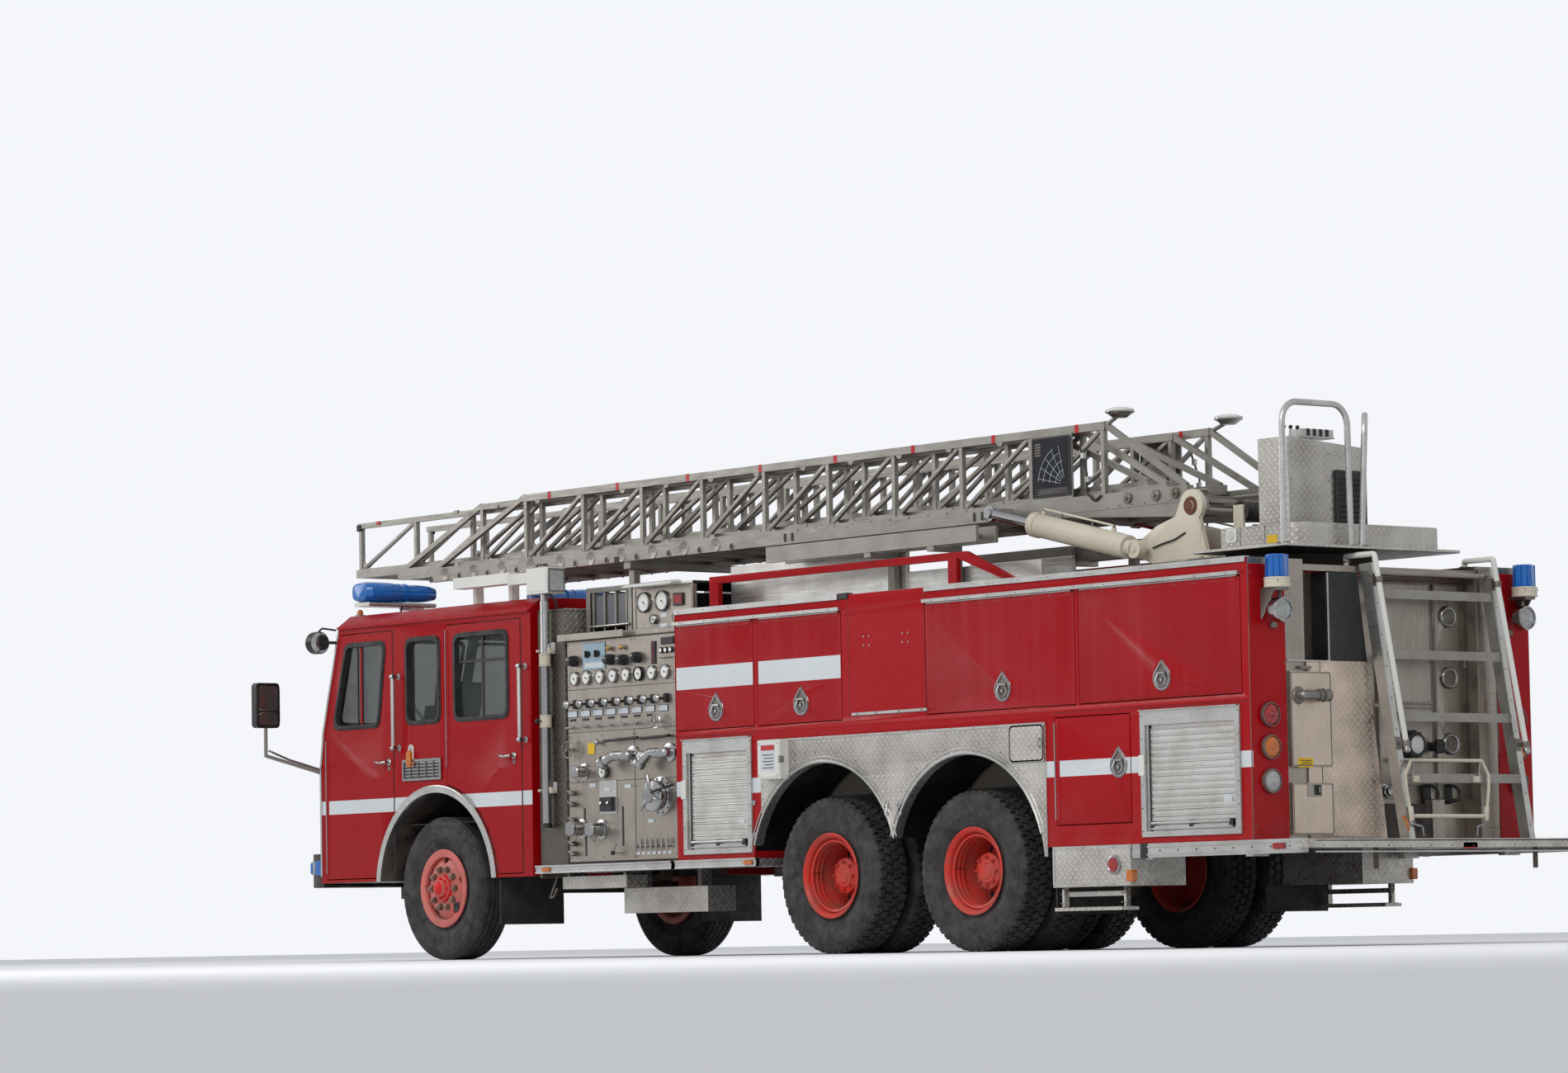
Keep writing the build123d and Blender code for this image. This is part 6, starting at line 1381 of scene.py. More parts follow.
@dataclass
class Cab:
    """The cab's outside fittings, its front face and its fitting-out inside."""

    frame: dict
    seat_y: float = 0.76
    seats: tuple[tuple[float, float], ...] = ((5.0, 0.76), (5.0, -0.76), (3.56, 0.7), (3.56, -0.7),
        (3.56, 0.0))

    def build(self) -> None:
        """Makes the cab's pieces."""
        for side in Side:
            CabDoor(self.frame, side, "front", FRONT_WINDOW, (stn(4.935), 1.475), (stn(5.76), 0.66, 1.66),
                    (stn(4.95), stn(5.7), 1.02, 1.66)).build()
            CabDoor(self.frame, side, "rear", REAR_WINDOW, (stn(3.365), 1.465), (stn(4.195), 1.41, 2.42),
                    (stn(3.32), stn(4.12), 1.3, 1.68)).build()
        self.castings()
        self.sides()
        self.front()
        self.wipers()
        self.light_bar()
        self.dashboard()
        for i, (x, y) in enumerate(self.seats):
            self.seat(i, stn(x), y)

    def castings(self) -> None:
        """The shell and its trim, with their finishes by region."""
        low, high = -9.0, 9.0
        # Faces of the cab shell that face down are painted black: painted shade under the cab.
        Casting("cab_shell", CAB_RED, stripe_areas() + (Area(BLACK, (low, -1.2, 0.5), (high, 1.2, 1.5),
            (0, 0, -1)), Area(BLACK, (stn(3.5), -1.249, 0.5), (stn(5.2), 1.249, 1.3)),
            Area(VINYL, (stn(3.19), -1.19, 1.0), (stn(5.76), 1.19, 2.56))), 0.005,
            STRIPE_CUTS).piece(self.frame)
        Casting("cab_trim", BLACK, paired(PLASTIC, (stn(5.97), 1.45, 1.75), (stn(6.1), 1.8, 2.2))
            + paired(LADDER_METAL, (stn(5.8), 1.1, 1.35), (stn(6.1), 1.75, 1.82)) + paired(ALUMINIUM,
            (stn(3.5), 1.24, 0.5), (stn(5.2), 1.27, 1.29)) + paired(SLAT_METAL, (stn(3.1), 1.25, 1.54),
            (stn(3.4), 1.33, 2.14)) + paired(SLAT_METAL, (stn(4.7), 1.25, 1.54), (stn(4.9), 1.33, 2.14))
            + paired(CAB_RED, (low, 1.24, 2.48), (stn(5.6), 1.28, 2.53)) + paired(CHROME,
            (stn(5.7), 1.18, 2.3), (stn(5.8), 1.4, 2.52)) + paired(CHROME, (stn(5.8), 0.6, 0.94),
            (stn(5.9), 1.14, 1.25)) + paired(CHROME, (stn(4.2), 1.24, 1.32), (stn(4.8), 1.2545, 1.49))
            + (Area(CHROME, (stn(5.8), -0.57, 0.88), (stn(5.852), 0.57, 1.58)),), 0.003).piece(self.frame)
        Casting("cab_glass", GLASS, (), 0.0).piece(self.frame)
        Casting("front_bumper", BLACK, (), 0.008).piece(self.frame)

    def sides(self) -> None:
        """Corner strips, marker lamps, louvre frames, rail sockets, arch welts and the mid windows' seals."""
        for side in Side:
            shape = Shape(f"cab_side_{side.word}")
            line = ((5.578, 2.512), (5.8, 1.735), (5.842, 1.45), (5.84, 0.64))
            for (x0, z0), (x1, z1) in zip(line, line[1:]):
                shape.slab([(stn(x0) - 0.02, z0), (stn(x0) + 0.001, z0), (stn(x1) + 0.001, z1),
                            (stn(x1) - 0.02, z1)], View.SIDE, SKIN - 0.002, SKIN + 0.007, ALUMINIUM)
            window_seal(shape, MID_WINDOW, SKIN)
            x, z = stn(4.645), 1.505
            shape.tile((x - 0.034, x + 0.034, z - 0.09, z + 0.09), 0.03, View.SIDE, SKIN, SKIN + 0.01, WHITE,
                       0.003)
            shape.tile((x - 0.027, x + 0.027, z - 0.08, z + 0.045), 0.024, View.SIDE, SKIN + 0.008,
                       SKIN + 0.034, AMBER_LENS, 0.006)
            shape.ball((x, SKIN + 0.012, z + 0.062), (0.02, 0.012, 0.02), CLEAR_LENS, 16)
            louvre = rect(stn(4.262), stn(4.745), 1.33, 1.48)
            shape.band(grown(louvre, 0.004), grown(louvre, -0.014), View.SIDE, SKIN + 0.003, SKIN + 0.014,
                       CHROME)
            for i in range(4):
                x = stn(4.262) + 0.097 * (i + 1)
                shape.box((x - 0.003, SKIN + 0.003, 1.335), (x + 0.003, SKIN + 0.013, 1.475), CHROME, 0.0)
            for x in (stn(4.8), stn(3.215)):
                for z in (1.575, 2.105):
                    shape.turned([(0.0, 0.01), (0.016, 0.009), (0.024, 0.003), (0.025, 0.0), (0.0, 0.0)],
                                 (x, SKIN, z), OUT, CHROME, 20)
                    shape.bar(X, x - 0.022, x + 0.022, (SKIN + 0.055, z), 0.019, CHROME, sides=16, edge=0.004)
            arch = [polar(stn(4.34), TYRE_RADIUS, 0.752, a) for a in range(5, 176, 5)]
            shape.pipe([(x, SKIN + 0.012, z) for x, z in arch], 0.009, ALUMINIUM, 8, 0.02)
            for x, z0, z1 in ((stn(4.868), 0.62, 2.45), (stn(3.262), 0.62, 2.45)):
                shape.box((x - 0.003, SKIN - 0.004, z0), (x + 0.003, SKIN + 0.001, z1), RUBBER, 0.0)
            for x in (stn(3.45), stn(3.9), stn(4.4), stn(4.9), stn(5.3)):
                shape.bolts([(x, SKIN + 0.022, 2.505)], OUT, 0.006, STEEL, 0.003)
            shape.to_side(side)
            shape.piece("vehicle", "chrome")

    def front(self) -> None:
        """Screen seals, lamps in their bezels, grille bars, bumper lamps and the mirrors' faces."""
        shape = Shape("cab_front")
        shape.ring((0.045, 1.115, 1.785, 2.435), 0.05, (0.068, 1.092, 1.808, 2.412), 0.04, View.REAR, 0.0,
                   0.012, RUBBER, screen_x)
        face = stn(5.84)
        for y in (0.76, 0.99):
            shape.turned([(0.0, -0.02), (0.03, -0.018), (0.08, 0.02), (0.084, 0.048), (0.092, 0.05),
                (0.094, 0.04), (0.094, 0.0), (0.0, 0.0)], (face + 0.008, y, 1.095), (1, 0, 0), CHROME, 32)
            shape.ball((face + 0.03, y, 1.095), (0.03, 0.082, 0.082), LAMP_GLASS, 28)
            shape.ball((face + 0.025, y, 1.095), (0.02, 0.016, 0.016), CLEAR_LENS, 12)
        shape.tile((0.62, 0.86, 1.26, 1.34), 0.02, View.REAR, face, face + 0.035, AMBER_LENS, 0.006)
        shape.tile((0.9, 1.14, 1.26, 1.34), 0.02, View.REAR, face, face + 0.035, RED_LENS, 0.006)
        shape.tile((1.17, 1.235, 0.9, 1.0), 0.02, View.REAR, face, face + 0.03, AMBER_LENS, 0.006)
        shape.tile((1.17, 1.235, 0.845, 0.895), 0.02, View.REAR, face, face + 0.02, CHROME, 0.004)
        shape.tile((1.02, 1.2, 0.66, 0.76), 0.02, View.REAR, stn(6.03), stn(6.065), BLUE_LENS, 0.008)
        shape.tile((0.9, 1.01, 0.66, 0.76), 0.02, View.REAR, stn(6.03), stn(6.062), CLEAR_LENS, 0.008)
        shape.tile((stn(5.86), stn(5.95), 0.655, 0.765), 0.02, View.SIDE, 1.205, 1.236, BLUE_LENS, 0.006)
        shape.tile((stn(5.955), stn(5.99), 0.66, 0.76), 0.015, View.SIDE, 1.2, 1.23, CLEAR_LENS, 0.005)
        mirror = stn(6.0)
        shape.tile((1.545, 1.715, 1.9, 2.09), 0.03, View.REAR, mirror - 0.029, mirror - 0.024, REFLECTOR,
                   0.002)
        shape.tile((1.545, 1.715, 1.79, 1.885), 0.025, View.REAR, mirror - 0.031, mirror - 0.024, REFLECTOR,
                   0.002)
        shape.ring((1.528, 1.732, 1.776, 2.106), 0.05, (1.544, 1.716, 1.788, 2.094), 0.04, View.REAR,
                   mirror - 0.034, mirror - 0.02, PLASTIC)
        shape.tile((1.535, 1.725, 1.78, 2.1), 0.06, View.REAR, mirror + 0.036, mirror + 0.052, WHITE, 0.012)
        shape.pipe([(mirror + 0.02, 1.6, 1.6), (mirror - 0.02, 1.44, 1.53), (stn(5.87), 1.22, 1.45)], 0.009,
                   CHROME, 8, 0.03)
        shape.turned([(0.0, 0.03), (0.05, 0.026), (0.078, 0.012), (0.084, 0.0), (0.084, -0.066),
                      (0.06, -0.105), (0.0, -0.108)], (stn(5.842), 1.29, 2.41), (1, 0, 0), CHROME, 36)
        shape.ball((stn(5.845), 1.29, 2.41), (0.026, 0.072, 0.072), LAMP_GLASS, 28)
        shape.pipe([(stn(5.79), 1.29, 2.49), (stn(5.77), 1.27, 2.52), (stn(5.66), 1.22, 2.5)], 0.008, PLASTIC,
                   8, 0.03)
        shape.both_sides()
        for i in range(14):
            y = -0.52 + 0.08 * i
            shape.box((face + 0.01, y - 0.004, 0.915), (face + 0.0215, y + 0.004, 1.545), CHROME, 0.0)
        shape.band(rect(-0.575, 0.575, 0.885, 1.575), rect(-0.548, 0.548, 0.912, 1.548), View.REAR,
                   face + 0.002, face + 0.026, CHROME)
        shape.box((screen_x(1.79) - 0.01, -0.028, 1.72), (screen_x(1.79) + 0.012, 0.028, 1.8), CAB_RED)
        shape.bolts([(stn(6.05), y, z) for y in (-0.9, -0.3, 0.3, 0.9) for z in (0.62, 0.75)], (1, 0, 0),
                    0.014, STEEL, 0.008)
        shape.piece("vehicle", "chrome")

    def wipers(self) -> None:
        """Two wipers, each with twin arms and a blade on the slanted screen."""
        shape = Shape("wipers")
        for y0, y1 in ((0.2, 0.62), (-0.95, -0.5)):
            pivot = Vector((screen_x(1.745) + 0.018, y0, 1.745))
            tip = Vector((screen_x(2.12) + 0.03, y1, 2.12))
            shape.turned([(0.0, 0.03), (0.012, 0.03), (0.02, 0.01), (0.022, 0.0), (0.0, 0.0)],
                         pivot - Vector((0.012, 0, 0)), (1, 0, 0.28), PLASTIC, 20)
            for gap in (0.0, 0.022):
                shape.rod(pivot + Vector((0.006, gap, 0)), tip + Vector((0, gap, 0)), 0.0045, PLASTIC,
                          sides=8)
            for offset, radius in ((0.0, 0.0055), (-0.01, 0.0035)):
                shape.rod((screen_x(1.86) + 0.022 + offset, y1 - 0.015, 1.86),
                          (screen_x(2.36) + 0.022 + offset, y1 + 0.02, 2.36), radius, RUBBER, sides=8)
        shape.piece("vehicle", "black_rubber")

    def light_bar(self) -> None:
        """The roof light bar's base, lens joints, inner lamps and bracket."""
        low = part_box("blue_lights")[0]
        shape = Shape("light_bar_details")
        x0, x1 = stn(5.325), stn(5.585)
        mid, z0, z1 = (x0 + x1) / 2, 2.7, 2.857
        ends = ((1.15, 0.055, 0.052), (1.14, 0.095, 0.066), (1.1, 0.124, 0.077), (1.0, 0.13, 0.0785),
                (0.9, 0.124, 0.077), (0.83, 0.104, 0.07), (0.76, 0.096, 0.064), (0.68, 0.1, 0.066),
                (0.6, 0.098, 0.066), (0.53, 0.084, 0.06), (0.47, 0.06, 0.048), (0.455, 0.03, 0.03))
        self.lens(shape, mid, (z0 + z1) / 2, ends)
        for y in (0.83, 0.76):
            shape.ring((mid + 0.104, mid - 0.104, z1 - 0.008, z0 + 0.008), 0.05,
                       (mid + 0.09, mid - 0.09, z1 - 0.02, z0 + 0.02), 0.04, View.SIDE, y - 0.004, y + 0.004,
                       BLUE_LENS)
        x, y, base = low.x + 0.0725, 1.102, 2.2705
        shape.turned([(0.0, 0.142), (0.058, 0.142), (0.066, 0.134), (0.0715, 0.008), (0.0715, 0.0),
                      (0.0, 0.0)], (x, y, base), UP, BLUE_LENS, 8)
        shape.turned([(0.0, 0.1415), (0.062, 0.1415), (0.062, 0.1435), (0.0, 0.1435)], (x, y, base - 0.002),
                     UP, BLUE_LENS, 8)
        shape.tile((x0 + 0.03, x1 - 0.03, 2.672, 2.702), 0.01, View.SIDE, 0.5, 1.12, ALUMINIUM, 0.003)
        shape.box((x0 + 0.05, 0.6, 2.655), (x1 - 0.05, 0.72, 2.68), WHITE, 0.004)
        shape.pipe([(x0 + 0.06, 0.8, 2.67), (x0 + 0.02, 0.84, 2.62), (x0 + 0.05, 0.9, 2.604)], 0.007, PLASTIC,
                   8, 0.03)
        shape.ball((x1 - 0.02, 1.06, 2.63), (0.03, 0.022, 0.026), AMBER_LENS, 16)
        shape.box((x1 - 0.05, 1.03, 2.598), (x1 + 0.01, 1.09, 2.615), CHROME, 0.003)
        for y in (0.45, 0.85):
            shape.tile((stn(5.6), stn(5.68), 2.53, 2.545), 0.004, View.SIDE, y, y + 0.12, AMBER_LENS, 0.002)
        shape.both_sides()
        shape.piece("vehicle", "blue_lens", ["blue_lights"])

    @staticmethod
    def lens(shape: Shape, x: float, z: float, ends: Sequence[tuple[float, float, float]]) -> None:
        """A rounded lens run across the roof through oval rings.

        Args:
            shape: What it is added to.
            x: Its middle, forward.
            z: Its middle height.
            ends: For each ring its place across, half its length and half its height.
        """
        part = bmesh.new()
        rings = [[part.verts.new((x + a * math.copysign(abs(math.cos(t)) ** 0.7, math.cos(t)), y,
            z + c * math.copysign(abs(math.sin(t)) ** 0.7, math.sin(t))))
            for t in (math.tau * k / 28 for k in range(28))] for y, a, c in ends]
        for one, two in zip(rings, rings[1:]):
            for k in range(28):
                part.faces.new((one[k], one[(k + 1) % 28], two[(k + 1) % 28], two[k]))
        part.faces.new(rings[0])
        part.faces.new(rings[-1][::-1])
        shape.join(part, BLUE_LENS)

    def dashboard(self) -> None:
        """The floor tunnel, dashboard with its binnacle, steering wheel and pedals."""
        shape = Shape("cab_fitting_out")
        shape.box((stn(3.9), -0.4, 1.001), (stn(5.3), 0.4, 1.3), PLASTIC, 0.04, 3)
        shape.box((stn(4.4), -0.25, 1.298), (stn(4.9), 0.25, 1.36), VINYL, 0.02, 2)
        profile = [(5.74, 1.002), (5.74, 1.69), (5.66, 1.702), (5.56, 1.7), (5.38, 1.56), (5.42, 1.34),
                   (5.6, 1.3), (5.6, 1.002)]
        shape.slab([(stn(x), z) for x, z in profile], View.SIDE, -1.149, 1.149, VINYL, 0.014)
        y = self.seat_y
        shape.slab([(stn(5.56), 1.698), (stn(5.4), 1.6), (stn(5.46), 1.76), (stn(5.58), 1.78)], View.SIDE,
                   y - 0.22, y + 0.22, PLASTIC, 0.012)
        run = Vector((-0.155, 0, 0.19)).normalized()
        for dy, radius in ((-0.13, 0.045), (-0.03, 0.045), (0.07, 0.032), (0.15, 0.032)):
            centre = Vector((stn(5.425), y + dy, 1.682))
            shape.turned([(0.0, 0.004), (radius * 0.86, 0.004), (radius * 0.9, 0.012), (radius, 0.01),
                          (radius, 0.0), (0.0, 0.0)], centre, (-0.9, 0, 0.35), CHROME, 24)
            shape.turned([(0.0, 0.006), (radius * 0.84, 0.006), (radius * 0.84, 0.0), (0.0, 0.0)], centre,
                         (-0.9, 0, 0.35), DIAL, 24)
        for i in range(12):
            shape.box((stn(5.385), -0.4 + 0.05 * i, 1.47), (stn(5.4) + 0.01, -0.37 + 0.05 * i, 1.5), CHROME,
                      0.001)
        shape.box((stn(5.37), -0.3, 1.36), (stn(5.42), 0.1, 1.45), PLASTIC, 0.006)
        hub = Vector((stn(5.38), y, 1.71))
        shape.rod((stn(5.52), y, 1.5), hub, 0.024, PLASTIC, sides=20)
        loop = [(0.215 + 0.015 * math.cos(math.radians(a)), 0.015 * math.sin(math.radians(a)))
                for a in range(0, 360, 45)]
        shape.turned(loop, hub, run, PLASTIC, 48, ring=True)
        shape.turned([(0.0, 0.016), (0.045, 0.012), (0.058, -0.004), (0.04, -0.024), (0.0, -0.024)], hub, run,
                     PLASTIC, 28)
        across = Vector(OUT)
        upward = run.cross(across)
        for angle in (0, 90, 180, 270):
            way = across * math.cos(math.radians(angle)) + upward * math.sin(math.radians(angle))
            shape.rod(hub + way * 0.03, hub + way * 0.21, 0.01, PLASTIC, end=0.008, sides=10)
        for dy in (-0.16, -0.02, 0.14):
            shape.box((stn(5.46), y + dy - 0.03, 1.08), (stn(5.48), y + dy + 0.03, 1.16), RUBBER, 0.004)
            shape.rod((stn(5.475), y + dy, 1.12), (stn(5.6), y + dy, 1.2), 0.007, STEEL, sides=8)
        shape.box((stn(3.21), -1.15, 1.001), (stn(5.6), 1.15, 1.008), RUBBER, 0.0)
        shape.piece("vehicle", "seat", ["cab_interior"])

    def seat(self, index: int, x: float, y: float) -> None:
        """One seat: a steel base, a padded cushion, a back with bolsters and its belt."""
        base = Shape(f"seat_base_{index}")
        base.box((x - 0.08, y - 0.17, 1.002), (x + 0.17, y + 0.17, 1.325), STEEL, 0.015, 2)
        base.box((x - 0.2, y - 0.21, 1.318), (x + 0.22, y + 0.21, 1.345), PLASTIC, 0.008)
        base.slab([(x - 0.165, 1.345), (x - 0.15, 1.345), (x - 0.285, 2.07), (x - 0.318, 2.07)], View.SIDE,
                  y - 0.21, y + 0.21, PLASTIC, 0.006)
        base.pipe([(x - 0.27, y + 0.19, 2.0), (x - 0.15, y + 0.12, 1.8), (x - 0.02, y - 0.1, 1.5),
                   (x - 0.02, y - 0.22, 1.42)], 0.007, JACKET_RED, 6, 0.05)
        base.box((x - 0.06, y - 0.245, 1.37), (x - 0.02, y - 0.225, 1.44), CHROME, 0.003)
        base.piece("vehicle", "seat")
        for part, low, high, lean in (("cushion", (x - 0.22, y - 0.235, 1.345), (x + 0.245, y + 0.235, 1.45),
                0.0), ("back", (x - 0.15, y - 0.225, 1.45), (x - 0.055, y + 0.225, 1.9), -0.185),
                ("headrest", (x - 0.235, y - 0.13, 1.925), (x - 0.15, y + 0.13, 2.08), -0.185)):
            pad = Shape(f"seat_{part}_{index}")
            self.cushion(pad, low, high, lean)
            pad.piece("vehicle", "seat")

    @staticmethod
    def cushion(shape: Shape, low: Point, high: Point, lean: float) -> None:
        """A crowned pad with sewn channels across it, leaning back by a slope."""
        part = bmesh.new()
        a, b = Vector(low), Vector(high)
        middle, half = (a + b) / 2, (b - a) / 2
        bmesh.ops.create_cube(part, size=2.0)
        bmesh.ops.subdivide_edges(part, edges=part.edges[:], cuts=11, use_grid_fill=True)
        thin = min(range(3), key=lambda i: half[i])
        wide = [i for i in range(3) if i != thin]
        for vert in part.verts:
            u, v = vert.co[wide[0]], vert.co[wide[1]]
            crown = (1 - abs(u) ** 3.2) * (1 - abs(v) ** 3.2)
            seam = math.exp(-((abs(v) - 0.62) / 0.06) ** 2) + math.exp(-((abs(u) - 0.7) / 0.06) ** 2)
            vert.co[thin] *= 0.62 + 0.38 * crown ** 0.5 - 0.1 * min(1.0, seam)
            pull = 1 - 0.045 * (1 - max(abs(u), abs(v)) ** 2) - 0.03 * (u * v) ** 2
            vert.co[wide[0]] *= pull
            vert.co[wide[1]] *= pull
        for vert in part.verts:
            vert.co = Vector(middle[i] + vert.co[i] * half[i] for i in range(3))
            vert.co.x += lean * (vert.co.z - low[2]) if lean else 0.0
        shape.join(part, VINYL)


UPPER_STRIPE_Z = (1.845, 2.0)
DOORS = (
    # name, rear station, front station, its handle's station
    ("a", 0.59, 1.45, 1.0),
    ("b", -0.35, 0.54, 0.075),
    ("c", -2.68, -1.225, -1.985),
    ("d", -4.2, -2.72, -3.49),
)


def treads(side: Finish = TREAD_SIDE) -> tuple[Area, ...]:
    """Tread plate read in whichever plane each face lies; faces that face down are painted black as painted
    shade.
    """
    whole = ((-9.0, -2.0, 0.0), (9.0, 2.0, 4.0))
    # Faces that face down get black paint: painted shade under the plate.
    return tuple(Area(finish, *whole, facing) for finish, facing in ((TREAD_TOP, UP), (BLACK, (0, 0, -1)),
        (TREAD_REAR, AFT), (TREAD_REAR, (1, 0, 0)), (side, OUT), (side, (0, -1, 0))))


def drop_handle(shape: Shape, x: float, z: float) -> None:
    """A pointed chrome plate with a dished middle and a folding D-shaped ring."""
    def drop(radius: float, point: float) -> list[tuple[float, float]]:
        """A round outline drawn up to a point."""
        arc = [polar(x, z, radius, a) for a in range(145, 396, 10)]
        return arc + [(x, z + point)]
    shape.slab(drop(0.078, 0.12), View.SIDE, SKIN - 0.002, SKIN + 0.004, CHROME, 0.001)
    shape.band(drop(0.076, 0.117), drop(0.062, 0.098), View.SIDE, SKIN + 0.003, SKIN + 0.011, CHROME)
    shape.slab(drop(0.062, 0.096), View.SIDE, SKIN + 0.003, SKIN + 0.0045, STEEL)
    shape.pipe([(x - 0.03, SKIN + 0.01, z + 0.03), (x - 0.046, SKIN + 0.016, z - 0.008),
        (x - 0.024, SKIN + 0.02, z - 0.048), (x + 0.024, SKIN + 0.02, z - 0.048),
        (x + 0.046, SKIN + 0.016, z - 0.008), (x + 0.03, SKIN + 0.01, z + 0.03)], 0.006, CHROME, 10, 0.02)
    shape.bar(X, x - 0.038, x + 0.038, (SKIN + 0.011, z + 0.032), 0.008, CHROME, sides=12)
    shape.turned([(0.0, 0.012), (0.012, 0.01), (0.016, 0.0), (0.0, 0.0)], (x, SKIN + 0.004, z - 0.012), OUT,
                 CHROME, 18)
    shape.bolts([(x, SKIN + 0.011, z + 0.108), (x - 0.069, SKIN + 0.011, z), (x + 0.069, SKIN + 0.011, z),
                 (x, SKIN + 0.011, z - 0.069)], OUT, 0.004, STEEL, 0.002)


@dataclass
class Lockers:
    """The locker doors, each with its handle, hinge strip, stripe and inner pan."""

    frame: dict
    side: Side

    def build(self) -> None:
        """Makes every door's casting and fittings."""
        for name, x0, x1, handle in DOORS:
            self.upper(name, stn(x0), stn(x1), stn(handle))
        self.lower()

    def door(self, node: str, finish: Finish, areas: tuple[Area, ...], cuts: tuple) -> tuple[Shape, str]:
        """A door's casting without its plain handle, and a shape for its fittings.

        Args:
            node: The CAD node.
            finish: The door's paint.
            areas: Its other regions.
            cuts: Planes that part its faces.

        Returns:
            The empty shape and the body it rides on.
        """
        sign = float(self.side.value)
        trim = (((0.0, sign * (SKIN + 0.0001), 0.0), (0.0, sign, 0.0)),)
        Casting(node, finish, areas + paired(LADDER_METAL, (-FAR, 1.0, 0.0), (FAR, 1.2101, 3.0), (0, -1, 0)),
                0.003, cuts, trim).piece(self.frame)
        return Shape(f"{node}_fittings"), self.frame["nodes"][node]["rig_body"]

    def upper(self, name: str, x0: float, x1: float, handle: float) -> None:
        """A top-hinged door."""
        cuts, areas = (), ()
        if name in "ab":
            cuts = tuple(((0.0, 0.0, z), (0.0, 0.0, 1.0)) for z in UPPER_STRIPE_Z)
            cuts += ((((x0 + 0.006), 0.0, 0.0), (1.0, 0.0, 0.0)), (((x1 - 0.006), 0.0, 0.0), (1.0, 0.0, 0.0)))
            areas = paired(STRIPE, (x0 + 0.006, 1.245, UPPER_STRIPE_Z[0]),
                           (x1 - 0.006, 1.26, UPPER_STRIPE_Z[1]), OUT)
        shape, body = self.door(f"upper_door_{name}_{self.side.word}", DOOR_RED, areas, cuts)
        drop_handle(shape, handle, 1.69)
        shape.bar(X, x0 + 0.02, x1 - 0.02, (SKIN + 0.005, 2.29), 0.0046, ALUMINIUM, sides=12)
        shape.box((x0 + 0.02, SKIN - 0.001, 2.254), (x1 - 0.02, SKIN + 0.003, 2.287), DOOR_RED, 0.001)
        shape.row(x0 + 0.06, x1 - 0.06, 0.16, SKIN + 0.003, 2.268, 0.005, STEEL, 0.002)
        shape.ring((x0 + 0.05, x1 - 0.05, 1.62, 2.23), 0.03, (x0 + 0.09, x1 - 0.09, 1.66, 2.19), 0.02,
                   View.SIDE, SKIN - 0.052, SKIN - 0.038, LADDER_METAL)
        shape.ring((x0 + 0.008, x1 - 0.008, 1.573, 2.277), 0.01, (x0 + 0.026, x1 - 0.026, 1.591, 2.259), 0.01,
                   View.SIDE, SKIN - 0.047, SKIN - 0.04, RUBBER)
        shape.to_side(self.side)
        shape.piece(body, "chrome")

    def lower(self) -> None:
        """The front-hinged door behind the wheels."""
        x0, x1 = stn(-3.18), stn(-2.48)
        shape, body = self.door(f"lower_door_{self.side.word}", BODY_RED, stripe_areas(), STRIPE_CUTS)
        drop_handle(shape, stn(-3.075), 1.16)
        hinge = stn(-2.475)
        shape.bar(Z, 0.83, 1.45, (hinge, SKIN + 0.005), 0.0046, CHROME, sides=12)
        shape.box((hinge - 0.04, SKIN - 0.001, 0.83), (hinge - 0.003, SKIN + 0.003, 1.45), BODY_RED, 0.001)
        shape.bolts([(hinge - 0.022, SKIN + 0.003, z) for z in spread(0.88, 1.42, 0.11)], OUT, 0.005, STEEL,
                    0.002)
        shape.ring((x0 + 0.05, x1 - 0.05, 0.86, 1.42), 0.03, (x0 + 0.09, x1 - 0.09, 0.9, 1.38), 0.02,
                   View.SIDE, SKIN - 0.052, SKIN - 0.038, LADDER_METAL)
        shape.to_side(self.side)
        shape.piece(body, "chrome")


